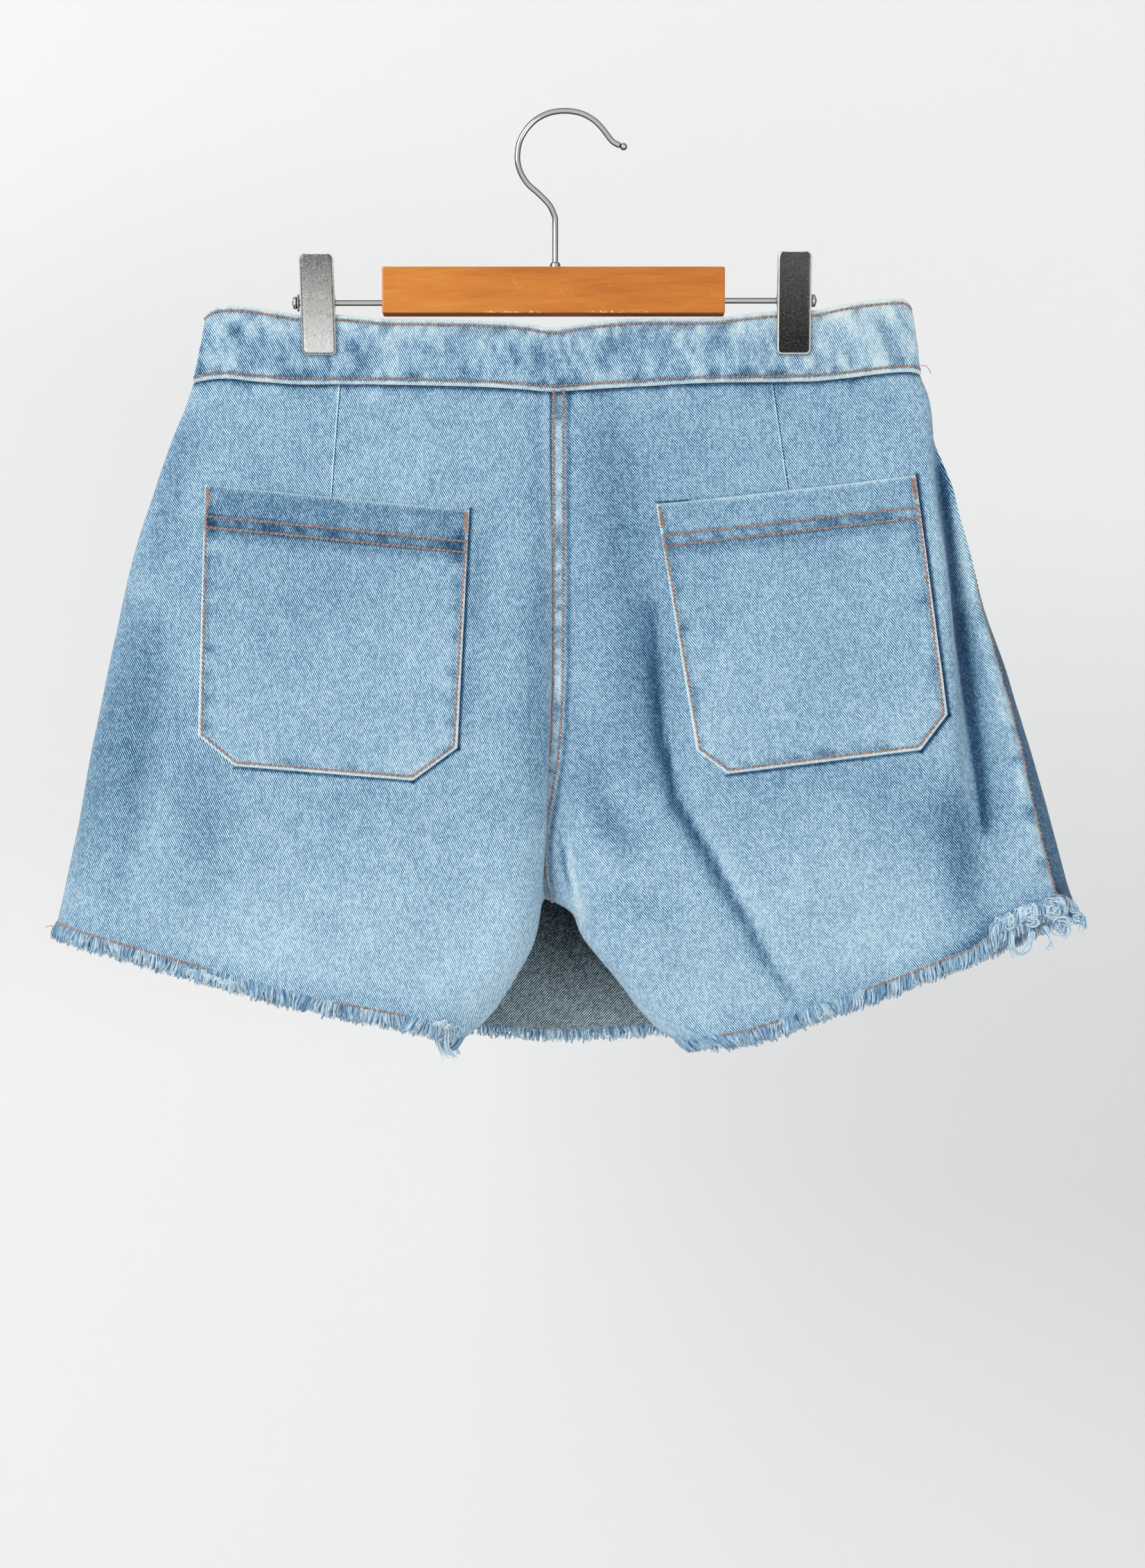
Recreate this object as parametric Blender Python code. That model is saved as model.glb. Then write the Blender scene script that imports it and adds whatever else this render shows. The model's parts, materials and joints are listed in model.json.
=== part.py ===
"""Denim skort hung by its waistband from a wooden clip hanger.

The garment hangs with its back towards -Y, which is the side that is seen, and its front
towards +Y.  X runs to the right as the back is seen and Z runs up.  The origin is the inside
top of the hook, where a rail would carry the hanger.

Cloth pieces are thin walls lofted between style lines.  A style line runs from the waist
seam down to the hem and is a short table of rows (height z, sideways x, depth y) in
millimetres.  Pieces that are sewn together share a line and stop a seam gap apart.
"""

import math

import bmesh
import bpy
from mathutils import Vector
from mathutils.bvhtree import BVHTree

MM = 0.001

# ---------------------------------------------------------------- driving sizes, millimetres

CLOTH = 1.5            # wall of a denim panel
BAND = 2.8             # folded waistband, three layers pressed
POCKET = 1.3           # patch pocket wall
SEAM_GAP = 0.36        # clear distance between two pieces that are sewn together
POCKET_LIFT = 0.35     # clear distance from a panel to the pocket on it

# Where the rows of every panel lie, as shares of a line's length from waist to hem.
ROW_SHARES = (0.0, 0.05, 0.11, 0.17, 0.24, 0.31, 0.38, 0.45, 0.52, 0.58, 0.64, 0.70,
              0.75, 0.79, 0.83, 0.87, 0.91, 0.95, 1.0)
CROTCH_SHARE = 0.75
TOP_EASE = (1.0, 0.45, 0.12)   # how far the first rows are drawn to the waistband's edge

# ---------------------------------------------------------------- style lines (z, x, y)

LEFT_SEAM = (
    (-138.6, -178.6, 3.2), (-170.0, -190.5, 4.2), (-210.0, -203.3, 4.6),
    (-260.0, -216.0, 5.0), (-320.0, -229.0, 5.0), (-380.0, -240.0, 4.6),
    (-421.0, -248.0, 4.2))
LEFT_EDGE = (
    (-138.8, -187.4, 0.0), (-150.0, -191.2, -0.6), (-170.0, -199.1, -1.5),
    (-195.0, -207.5, -2.2), (-230.0, -218.4, -3.0), (-270.0, -227.0, -3.8),
    (-320.0, -237.6, -4.5), (-370.0, -246.8, -5.0), (-417.6, -257.2, -5.0))
LEFT_SHOULDER = (
    (-138.0, -180.6, -3.0), (-150.0, -182.4, -4.6), (-170.0, -188.5, -6.6),
    (-195.0, -196.0, -8.6), (-230.0, -206.5, -11.0), (-270.0, -215.0, -13.2),
    (-320.0, -225.5, -15.6), (-370.0, -235.0, -17.2), (-420.8, -246.0, -18.0))
LEFT_OUTER = (
    (-139.4, -142.0, -2.4), (-170.0, -152.0, -7.5), (-210.0, -161.0, -12.0),
    (-260.0, -169.0, -16.0), (-320.0, -176.0, -19.5), (-380.0, -181.0, -22.5),
    (-438.2, -185.5, -24.0))
LEFT_MIDDLE = (
    (-139.6, -97.0, -3.0), (-170.0, -102.0, -7.5), (-210.0, -107.0, -12.0),
    (-260.0, -112.0, -16.0), (-320.0, -116.0, -20.0), (-380.0, -119.5, -23.5),
    (-455.0, -123.5, -26.0))
LEFT_INNER = (
    (-141.2, -50.0, -5.2), (-170.0, -54.0, -8.0), (-210.0, -58.0, -11.5),
    (-260.0, -61.0, -15.5), (-320.0, -64.0, -19.5), (-380.0, -69.0, -23.5),
    (-463.6, -79.0, -27.0))
LEFT_CREST = (
    (-143.0, -16.0, -5.8), (-170.0, -16.5, -8.2), (-210.0, -15.5, -11.5),
    (-260.0, -14.5, -15.0), (-320.0, -15.0, -18.5), (-360.0, -16.0, -21.0),
    (-400.0, -19.5, -23.0), (-435.0, -29.0, -24.0), (-468.6, -61.0, -25.5))
LEFT_FOLD = (
    (-143.5, -8.5, -5.8), (-170.0, -7.5, -7.6), (-210.0, -5.0, -9.2),
    (-260.0, -5.0, -10.8), (-312.0, -6.0, -12.2), (-345.0, -6.4, -13.0),
    (-367.0, -6.8, -13.5), (-385.0, -8.2, -13.5), (-401.0, -10.0, -13.0),
    (-418.0, -11.6, -12.5), (-430.0, -15.2, -12.0), (-444.0, -22.9, -12.0),
    (-457.0, -30.7, -12.0), (-467.0, -39.3, -12.0), (-475.6, -50.2, -12.0))
CENTRE_BACK = (
    (-143.7, -3.9, -5.8), (-170.0, -3.9, -7.2), (-210.0, -3.7, -7.6),
    (-260.0, -3.5, -7.6), (-300.0, -3.8, -7.0), (-326.0, -5.2, -6.0),
    (-345.0, -7.8, -5.0), (-362.0, -10.4, -3.8), (-378.0, -11.2, -2.4),
    (-392.0, -10.0, -0.2), (-404.0, -7.5, 4.0))
LEFT_INSEAM = (
    (-404.0, -7.5, 4.0), (-409.0, -10.5, 4.6), (-420.0, -15.0, 4.6),
    (-432.0, -20.5, 4.4), (-446.0, -29.5, 4.2), (-460.0, -39.5, 4.0),
    (-476.5, -55.0, 3.5))
RIGHT_INSEAM = (
    (-404.0, -7.5, 4.0), (-405.4, -1.0, 5.2), (-406.6, 6.0, 5.6),
    (-412.0, 13.5, 5.4), (-422.0, 17.0, 4.8), (-434.0, 25.0, 4.4),
    (-448.0, 37.0, 4.2), (-460.0, 47.0, 4.0), (-477.0, 66.0, 3.5))
RIGHT_FOLD = (
    (-143.6, 3.5, -5.8), (-170.0, 4.0, -7.6), (-210.0, 4.5, -8.4),
    (-260.0, 4.5, -9.2), (-300.0, 3.5, -9.0), (-335.0, 2.0, -8.0),
    (-358.0, 1.5, -8.5), (-373.6, 1.8, -10.5), (-382.0, 4.1, -12.0),
    (-394.6, 5.6, -13.0), (-404.0, 9.2, -13.5), (-415.0, 13.2, -13.0),
    (-421.8, 12.6, -12.5), (-433.0, 20.6, -12.5), (-446.0, 31.6, -12.5),
    (-457.5, 39.8, -12.5), (-468.0, 49.4, -12.5), (-477.0, 61.5, -12.5))
RIGHT_CREST = (
    (-143.0, 12.0, -5.7), (-170.0, 13.0, -8.0), (-210.0, 14.0, -9.8),
    (-260.0, 15.0, -11.0), (-300.0, 16.0, -11.5), (-335.0, 15.0, -12.5),
    (-360.0, 13.0, -15.5), (-380.0, 14.0, -18.5), (-400.0, 19.0, -20.5),
    (-420.0, 24.0, -22.0), (-440.0, 36.0, -23.0), (-475.0, 73.0, -25.0))
RIGHT_INNER = (
    (-141.8, 40.0, -5.2), (-170.0, 44.0, -8.2), (-210.0, 48.0, -11.5),
    (-260.0, 52.0, -14.5), (-320.0, 57.0, -17.5), (-380.0, 66.0, -22.0),
    (-420.0, 77.0, -24.5), (-470.8, 97.0, -26.5))
RIGHT_MIDDLE = (
    (-139.3, 92.0, -2.9), (-170.0, 96.0, -7.5), (-210.0, 100.0, -12.0),
    (-260.0, 105.0, -16.0), (-320.0, 112.0, -20.0), (-380.0, 122.0, -24.0),
    (-456.0, 140.5, -26.5))
RIGHT_OUTER = (
    (-138.0, 140.0, -2.3), (-170.0, 145.0, -8.0), (-210.0, 149.0, -12.5),
    (-260.0, 153.0, -16.5), (-320.0, 159.0, -20.5), (-380.0, 166.0, -23.5),
    (-445.0, 171.5, -25.5))
RIGHT_RIDGE = (
    (-134.4, 177.5, -2.6), (-147.0, 184.0, -5.5), (-165.0, 188.3, -9.5),
    (-192.0, 191.0, -13.0), (-223.0, 195.0, -16.0), (-254.0, 198.2, -18.5),
    (-302.0, 201.0, -21.0), (-350.0, 202.0, -23.0), (-400.0, 201.5, -24.5),
    (-433.4, 201.0, -25.5))
RIGHT_LIP = (
    (-135.0, 182.4, -1.2), (-147.0, 188.6, -2.6), (-165.0, 191.2, -5.5),
    (-192.0, 193.4, -9.0), (-223.0, 198.2, -11.5), (-254.0, 201.2, -13.5),
    (-302.0, 203.8, -16.5), (-350.0, 206.5, -21.0), (-400.0, 208.5, -23.8),
    (-430.6, 208.6, -25.0))
RIGHT_VALLEY = (
    (-135.8, 184.6, 0.2), (-147.0, 189.6, 0.2), (-165.0, 191.8, -2.0),
    (-192.0, 195.5, -4.0), (-223.0, 201.0, -5.5), (-254.0, 205.5, -7.5),
    (-302.0, 213.0, -11.5), (-350.0, 221.0, -17.0), (-390.0, 226.0, -21.5),
    (-418.0, 228.0, -24.0))
RIGHT_RIDGE_TWO = (
    (-136.5, 185.3, 1.8), (-150.0, 189.7, 1.5), (-165.0, 191.6, 0.0),
    (-181.0, 197.4, -2.0), (-192.0, 201.6, -3.2), (-206.0, 204.8, -4.6),
    (-227.0, 210.2, -6.8), (-254.0, 214.6, -10.0), (-302.0, 226.6, -15.0),
    (-350.0, 237.2, -19.0), (-385.0, 244.6, -20.5), (-407.0, 248.6, -21.0))
RIGHT_SEAM = (
    (-137.2, 183.6, 3.6), (-150.0, 188.0, 3.4), (-165.0, 190.5, 2.6),
    (-181.0, 196.4, 1.6), (-192.0, 200.7, 0.8), (-206.0, 204.4, -0.6),
    (-227.0, 210.4, -2.4), (-254.0, 216.6, -5.6), (-293.0, 227.4, -10.5),
    (-325.0, 235.7, -14.0), (-353.0, 241.4, -16.0), (-385.0, 249.2, -17.6),
    (-403.0, 254.4, -18.0))
SKIRT_RIGHT_EDGE = (
    (-137.6, 180.8, 4.4), (-150.0, 185.6, 5.0), (-165.0, 189.0, 4.8),
    (-192.0, 200.2, 3.8), (-227.0, 210.8, 1.6), (-256.0, 218.2, -1.0),
    (-285.0, 228.4, -3.5), (-313.0, 236.8, -5.0), (-342.0, 245.6, -6.0),
    (-370.0, 253.0, -6.5), (-399.0, 260.8, -7.0), (-409.0, 264.6, -7.0))
SKIRT_RIGHT_TURN = (
    (-138.0, 171.0, 4.6), (-165.0, 180.0, 7.2), (-192.0, 190.0, 8.2),
    (-227.0, 200.5, 8.2), (-256.0, 208.5, 7.8), (-300.0, 223.0, 7.4),
    (-350.0, 238.5, 7.6), (-415.0, 257.0, 8.0))
SKIRT_RIGHT = (
    (-138.0, 140.0, 3.3), (-170.0, 147.0, 8.5), (-210.0, 153.0, 11.5),
    (-260.0, 160.0, 14.0), (-320.0, 168.0, 16.0), (-380.0, 176.0, 17.5),
    (-444.0, 186.0, 19.0))
SKIRT_RIGHT_MIDDLE = (
    (-139.6, 75.0, 4.8), (-170.0, 78.0, 9.0), (-210.0, 81.0, 12.5),
    (-260.0, 84.0, 15.0), (-320.0, 88.0, 17.0), (-380.0, 92.0, 19.0),
    (-465.0, 98.0, 21.0))
SKIRT_CENTRE = (
    (-143.4, -2.5, 6.5), (-170.0, -2.5, 9.2), (-210.0, -2.5, 12.2),
    (-260.0, -2.5, 14.8), (-320.0, -2.5, 17.4), (-380.0, -2.5, 19.8),
    (-474.6, -2.5, 22.8))
SKIRT_LEFT_MIDDLE = (
    (-140.6, -80.0, 4.8), (-170.0, -83.0, 9.0), (-210.0, -86.0, 12.5),
    (-260.0, -90.0, 15.0), (-320.0, -94.0, 17.0), (-380.0, -98.0, 19.0),
    (-461.0, -104.0, 21.0))
SKIRT_LEFT = (
    (-139.4, -140.0, 3.3), (-170.0, -150.0, 8.5), (-210.0, -158.0, 11.5),
    (-260.0, -167.0, 13.5), (-320.0, -176.0, 15.5), (-380.0, -184.0, 17.0),
    (-439.5, -192.0, 18.5))
SKIRT_LEFT_TURN = (
    (-138.2, -168.5, 4.7), (-170.0, -179.0, 7.8), (-210.0, -191.0, 9.4),
    (-260.0, -203.0, 10.0), (-320.0, -215.0, 10.4), (-380.0, -226.0, 10.4),
    (-425.5, -234.0, 10.4))
FRONT_LEFT_SEAM = (
    (-138.6, -177.6, 1.4), (-170.0, -189.3, 2.3), (-210.0, -202.0, 2.7),
    (-260.0, -214.7, 3.1), (-320.0, -227.7, 3.1), (-380.0, -238.6, 2.7),
    (-421.0, -246.6, 2.3))
FRONT_LEFT_TURN = (
    (-138.2, -167.5, 2.8), (-170.0, -177.0, 5.2), (-210.0, -188.0, 6.2),
    (-260.0, -199.0, 6.4), (-320.0, -210.0, 6.2), (-380.0, -220.0, 5.8),
    (-426.5, -228.0, 5.4))
FRONT_LEFT = (
    (-139.4, -140.0, 1.5), (-170.0, -148.0, 5.8), (-210.0, -154.0, 7.8),
    (-260.0, -160.0, 9.0), (-320.0, -165.0, 9.8), (-380.0, -169.0, 10.2),
    (-439.0, -173.0, 10.2))
FRONT_LEFT_MIDDLE = (
    (-140.6, -80.0, 3.0), (-170.0, -82.0, 6.2), (-210.0, -84.0, 8.8),
    (-260.0, -86.0, 10.2), (-320.0, -88.0, 11.0), (-380.0, -92.0, 11.7),
    (-456.0, -100.0, 12.2))
FRONT_LEFT_INNER = (
    (-143.0, -25.0, 4.6), (-170.0, -25.0, 6.7), (-210.0, -24.0, 9.0),
    (-260.0, -24.0, 10.4), (-320.0, -25.0, 11.2), (-360.0, -27.0, 11.8),
    (-400.0, -33.0, 12.2), (-435.0, -44.0, 12.2), (-468.5, -72.0, 12.2))
FRONT_LEFT_CREST = (
    (-143.3, -12.0, 4.7), (-210.0, -12.0, 9.0), (-310.0, -12.5, 11.0),
    (-360.0, -14.5, 11.4), (-390.0, -17.0, 11.2), (-405.0, -19.5, 11.0),
    (-420.0, -24.0, 10.8), (-440.0, -34.0, 10.6), (-460.0, -49.0, 10.4),
    (-473.0, -63.0, 10.2))
CENTRE_FRONT = (
    (-143.5, -2.5, 4.7), (-170.0, -2.5, 6.7), (-210.0, -2.5, 8.8),
    (-260.0, -2.5, 10.2), (-310.0, -3.0, 10.8), (-350.0, -4.5, 10.6),
    (-380.0, -6.0, 9.8), (-396.0, -7.0, 7.8), (-404.0, -7.5, 4.0))
FRONT_RIGHT_CREST = (
    (-143.3, 7.0, 4.7), (-210.0, 7.0, 9.0), (-310.0, 7.0, 11.0),
    (-360.0, 8.0, 11.4), (-390.0, 11.5, 11.2), (-405.0, 18.0, 11.2),
    (-420.0, 25.0, 11.0), (-440.0, 40.0, 10.8), (-460.0, 57.0, 10.4),
    (-474.0, 74.0, 10.2))
FRONT_RIGHT_INNER = (
    (-142.6, 20.0, 4.6), (-170.0, 20.0, 6.7), (-210.0, 20.0, 9.0),
    (-260.0, 21.0, 10.4), (-320.0, 23.0, 11.2), (-360.0, 26.0, 11.8),
    (-400.0, 34.0, 12.2), (-435.0, 49.0, 12.2), (-470.0, 82.0, 12.2))
FRONT_RIGHT_MIDDLE = (
    (-139.6, 75.0, 3.0), (-170.0, 77.0, 6.2), (-210.0, 79.0, 8.8),
    (-260.0, 81.0, 10.2), (-320.0, 84.0, 11.0), (-380.0, 89.0, 11.7),
    (-458.0, 106.0, 12.2))
FRONT_RIGHT = (
    (-138.0, 140.0, 1.5), (-170.0, 146.0, 5.8), (-210.0, 150.0, 7.8),
    (-260.0, 155.0, 9.0), (-320.0, 161.0, 9.6), (-380.0, 167.0, 10.2),
    (-444.0, 176.0, 10.2))
FRONT_RIGHT_TURN = (
    (-138.0, 169.5, 2.7), (-165.0, 177.5, 4.8), (-192.0, 186.5, 5.4),
    (-227.0, 195.5, 5.0), (-256.0, 202.0, 4.4), (-300.0, 214.0, 3.4),
    (-350.0, 227.0, 2.6), (-420.0, 243.0, 2.0))
FRONT_RIGHT_SEAM = (
    (-137.4, 181.0, 2.2), (-150.0, 185.4, 2.4), (-165.0, 188.2, 2.0),
    (-181.0, 193.6, 1.4), (-192.0, 197.8, 1.0), (-206.0, 201.8, 0.4),
    (-227.0, 208.0, -0.8), (-254.0, 214.6, -3.4), (-293.0, 225.4, -8.0),
    (-325.0, 233.8, -11.4), (-353.0, 239.8, -13.4), (-385.0, 247.6, -15.2),
    (-403.0, 252.8, -15.8))

# Troughs that cross a panel between its style lines: (height z, sideways x) rows, and the
# depth and half width in millimetres.
RIGHT_LEG_TROUGH = ((-299.0, 49.0), (-334.0, 54.0), (-356.0, 64.0), (-381.0, 78.0),
                    (-409.0, 94.0), (-434.0, 108.0), (-456.0, 122.0))
RIGHT_LEG_TROUGH_DEPTH = 4.2
RIGHT_LEG_TROUGH_WIDTH = 8.5
LEFT_LEG_TROUGH = ((-262.0, -203.0), (-330.0, -214.0), (-418.0, -226.0))
LEFT_LEG_TROUGH_DEPTH = 2.0
LEFT_LEG_TROUGH_WIDTH = 8.0

# ---------------------------------------------------------------- waistband

# A station of the band: x and z at its top edge, x and z at its lower edge, and its depth.
BACK_BAND = (
    (-171.0, -100.6, -178.0, -137.4, 2.9), (-177.5, -101.4, -184.4, -138.2, 2.3),
    (-180.5, -103.2, -187.3, -138.8, 0.0), (-177.0, -100.4, -184.0, -138.0, -2.3),
    (-168.5, -99.2, -171.0, -136.8, -3.1), (-155.0, -100.4, -155.0, -138.4, -3.0),
    (-134.0, -103.6, -134.0, -139.6, -1.7), (-123.0, -103.6, -123.0, -139.6, -1.5),
    (-112.0, -103.8, -112.0, -139.6, -1.7), (-90.0, -106.0, -90.0, -140.0, -3.6),
    (-65.0, -106.6, -65.0, -140.6, -4.8), (-36.0, -107.5, -36.0, -141.6, -5.6),
    (-17.0, -109.0, -17.0, -142.9, -5.9), (-3.2, -111.0, -4.0, -143.9, -5.9),
    (9.0, -109.4, 9.0, -143.2, -5.9), (24.0, -107.4, 24.0, -142.2, -5.6),
    (44.0, -106.0, 44.0, -141.0, -5.0), (66.0, -106.0, 66.0, -139.6, -4.4),
    (83.0, -105.4, 84.0, -138.9, -3.4), (97.0, -103.4, 97.0, -138.6, -2.4),
    (111.0, -102.0, 111.0, -138.4, -1.7), (121.0, -101.8, 121.0, -138.2, -1.5),
    (131.0, -101.6, 131.0, -138.0, -1.7), (146.0, -98.6, 146.0, -136.8, -2.8),
    (159.0, -96.6, 160.5, -135.0, -3.1), (172.0, -95.4, 174.5, -133.6, -2.8),
    (177.6, -95.6, 183.0, -133.6, -1.6), (180.2, -98.0, 185.6, -134.6, 0.6),
    (178.6, -97.2, 183.6, -135.4, 2.9), (173.0, -96.6, 178.0, -135.8, 3.3))
FRONT_BAND = (
    (173.0, -96.6, 178.0, -135.8, 3.3), (160.0, -97.8, 162.0, -136.4, 3.2),
    (146.0, -99.6, 146.0, -137.2, 2.8), (131.0, -102.2, 131.0, -138.0, 1.7),
    (121.0, -102.6, 121.0, -138.2, 1.5), (111.0, -103.0, 111.0, -138.4, 1.7),
    (84.0, -106.6, 84.0, -139.2, 3.4), (44.0, -108.4, 44.0, -141.2, 4.9),
    (-3.0, -112.4, -3.0, -143.6, 5.5), (-50.0, -109.4, -50.0, -141.4, 4.9),
    (-90.0, -106.8, -90.0, -140.2, 3.5), (-112.0, -104.6, -112.0, -139.6, 1.7),
    (-123.0, -104.4, -123.0, -139.6, 1.5), (-134.0, -104.2, -134.0, -139.6, 1.7),
    (-152.0, -101.8, -153.0, -138.6, 2.9), (-171.0, -100.6, -178.0, -137.4, 2.9))
SKIRT_OVER_BAND = 0.95    # how far outside the band's middle the skirt meets it
FRONT_UNDER_SKIRT = 1.86  # depth of a shorts' front below the skirt at the band
SIDE_SEAM_EASE = 14.0     # distance from a side seam in which those layers come together
CROTCH_EASE = 0.45        # wider half gap where four panels meet at the crotch
FAIR_STEPS = 40           # steps that settle the rim direction which a seam's pieces share
FAIR_PULL = 0.05
CROSSING_SHARE = 0.8      # how far a rim turns to the shared direction where four pieces meet

# ---------------------------------------------------------------- patch pockets

# Corners (x, z): top left, top right, right side where the bottom corner is cut, the two ends
# of the bottom edge, and the left side where its corner is cut.
LEFT_POCKET = ((-181.0, -192.0), (-45.6, -205.2), (-51.4, -327.0), (-74.0, -343.6),
               (-164.6, -336.2), (-183.4, -320.6))
RIGHT_POCKET = ((54.2, -202.6), (182.2, -187.6), (197.4, -310.0), (184.0, -328.0),
                (86.0, -340.2), (70.2, -328.4))
POCKET_COLUMNS = 10
POCKET_ROWS = 7
POCKET_CORNER_ROWS = 2
MOUTH_GAPE = 0.7       # how far the middle of a pocket's top edge stands off the panel
SETTLE_PASSES = 2

# ---------------------------------------------------------------- frayed hems

HEM_GAP = 0.55         # clear distance from a hem to the fringe strip below it
FRINGE_STRIP = 3.4     # height of the woven strip that the locks grow from
FRINGE_WALL = 1.1
LOCK_DROP = 6.6        # length of a lock below its strip
LOCK_PINCH = 0.42      # width of a lock at its waist, as a share of its root
LOCK_PITCH = 7.2       # distance between locks along the hems that are seen
HIDDEN_LOCK_PITCH = 9.6

# ---------------------------------------------------------------- hanger

BAR_LEFT, BAR_RIGHT = -90.7, 85.4
BAR_TOP, BAR_BOTTOM = -79.5, -103.6
BAR_DEPTH = 13.0
BAR_ROUNDING = 0.9
WIRE = 3.0             # hook and rod wire
BORE = 3.7             # a hole that takes the wire
STEM_SOCKET = 14.0
ROD_SOCKET = 12.0
STEM_X = -1.8
LEFT_ROD_Z, RIGHT_ROD_Z = -97.4, -96.2
LEFT_ROD_END, RIGHT_ROD_END = -137.2, 132.8

# The hook's middle line (x, z) from its socket to its ball tip.
HOOK_PATH = (
    (-1.8, -93.1), (-1.8, -76.0), (-1.8, -60.0), (-1.8, -53.4), (-4.6, -47.2), (-10.2, -41.2),
    (-16.0, -35.9), (-19.4, -30.6), (-21.1, -25.0), (-21.2, -20.0), (-20.0, -13.9),
    (-16.8, -8.1), (-12.1, -3.2), (-6.1, 0.1), (0.0, 1.5), (6.1, 1.5), (12.3, 0.1),
    (17.8, -2.9), (21.4, -6.2), (24.6, -10.2), (27.6, -14.0), (30.6, -15.8), (33.4, -16.8))
TIP_RADIUS = 1.9

CLIP_WIDTH = 17.8
CLIP_SHEET = 1.0
BACK_LEAF_WIDTH = 15.0
EAR_RADIUS = 3.4
EAR_FOOT = 2.8         # depth of a flange where its ear begins and ends
# A leaf's side, from top to jaw: share of its height, distance of its outer face from the
# hanger's middle plane, and depth of its side flanges.  The ear rows are added at the rod.
LEAF_ROWS = ((0.0, 8.6, 1.6), (0.06, 8.5, 2.6), (0.34, 7.3, 3.2), (0.60, 6.3, 2.4),
             (0.82, 5.6, 2.0), (0.975, 5.3, 2.0), (1.0, 5.3, 2.0))
LEFT_CLIP = {"top": (-124.6, -73.6), "jaw": (-123.0, -124.5), "rod": LEFT_ROD_Z}
RIGHT_CLIP = {"top": (121.2, -72.3), "jaw": (120.8, -124.2), "rod": RIGHT_ROD_Z}

COLOURS = {
    "denim": ((0.30, 0.47, 0.66), 0.9, 0.0),
    "denim_band": ((0.36, 0.50, 0.66), 0.9, 0.0),
    "denim_light": ((0.36, 0.53, 0.71), 0.9, 0.0),
    "fringe": ((0.58, 0.70, 0.82), 0.95, 0.0),
    "varnished_wood": ((0.62, 0.29, 0.09), 0.4, 0.0),
    "chromed_steel": ((0.75, 0.75, 0.76), 0.12, 1.0),
    "nickel_plate": ((0.50, 0.50, 0.50), 0.35, 1.0),
}


# ---------------------------------------------------------------- scene and materials

def clear_scene():
    for item in list(bpy.data.objects):
        bpy.data.objects.remove(item, do_unlink=True)


def material(name):
    found = bpy.data.materials.get(name)
    if found:
        return found
    colour, roughness, metallic = COLOURS[name]
    made = bpy.data.materials.new(name)
    made.use_nodes = True
    shader = made.node_tree.nodes["Principled BSDF"]
    shader.inputs["Base Color"].default_value = (*colour, 1.0)
    shader.inputs["Roughness"].default_value = roughness
    shader.inputs["Metallic"].default_value = metallic
    made.diffuse_color = (*colour, 1.0)
    return made


def add_object(name, mesh, finish):
    mesh.materials.clear()
    mesh.materials.append(material(finish))
    made = bpy.data.objects.new(name, mesh)
    bpy.context.collection.objects.link(made)
    return made


def mesh_from(name, points, faces, smooth_angle=40.0):
    """A closed mesh from points in millimetres, with its faces turned outwards."""
    build = bmesh.new()
    corners = [build.verts.new(point * MM) for point in points]
    for face in faces:
        build.faces.new([corners[index] for index in face])
    bmesh.ops.recalc_face_normals(build, faces=build.faces)
    if build.calc_volume(signed=True) < 0.0:
        bmesh.ops.reverse_faces(build, faces=build.faces)
    mesh = bpy.data.meshes.new(name)
    build.to_mesh(mesh)
    build.free()
    mesh.shade_smooth()
    mesh.set_sharp_from_angle(angle=math.radians(smooth_angle))
    return mesh


# ---------------------------------------------------------------- curves

def span_point(before, start, end, after, share):
    """A point on the smooth curve from start to end, with its neighbours on either side."""
    def step(first, second):
        return max((second - first).length ** 0.5, 1e-4)

    knot_one = step(before, start)
    knot_two = knot_one + step(start, end)
    knot_three = knot_two + step(end, after)
    at = knot_one + (knot_two - knot_one) * share
    first = before.lerp(start, at / knot_one)
    second = start.lerp(end, share)
    third = end.lerp(after, (at - knot_two) / (knot_three - knot_two))
    left = first.lerp(second, at / knot_two)
    right = second.lerp(third, (at - knot_one) / (knot_three - knot_one))
    return left.lerp(right, share)


def smooth_point(points, index, share):
    """The point share of the way from points[index] to the next one."""
    start, end = points[index], points[index + 1]
    before = points[index - 1] if index > 0 else start * 2.0 - end
    after = points[index + 2] if index + 2 < len(points) else end * 2.0 - start
    return span_point(before, start, end, after, share)


def along(points, share):
    """The point at a share of the length of the smooth curve through the points."""
    lengths = [(points[i + 1] - points[i]).length for i in range(len(points) - 1)]
    wanted = share * sum(lengths)
    for index, length in enumerate(lengths):
        if wanted <= length or index == len(lengths) - 1:
            return smooth_point(points, index, min(wanted / length, 1.0))
        wanted -= length
    return points[-1]


def line_points(rows):
    return [Vector((x, y, z)) for z, x, y in rows]


def style_line(rows):
    """A side or panel line: its point for each row of the panels."""
    points = line_points(rows)
    return [along(points, share) for share in ROW_SHARES]


def crotch_line(rise, inseam):
    """The inner border of a leg panel: down the centre seam, then down the inseam."""
    upper, lower = line_points(rise), line_points(inseam)
    line = []
    for share in ROW_SHARES:
        if share <= CROTCH_SHARE:
            line.append(along(upper, share / CROTCH_SHARE))
        else:
            line.append(along(lower, (share - CROTCH_SHARE) / (1.0 - CROTCH_SHARE)))
    return line


def read_table(table, x):
    """Straight reading between the rows of a sorted (x, value) table."""
    if x <= table[0][0]:
        return table[0][1]
    for (x_one, value_one), (x_two, value_two) in zip(table, table[1:]):
        if x <= x_two:
            return value_one + (value_two - value_one) * (x - x_one) / (x_two - x_one)
    return table[-1][1]


# ---------------------------------------------------------------- cloth panels

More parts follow.
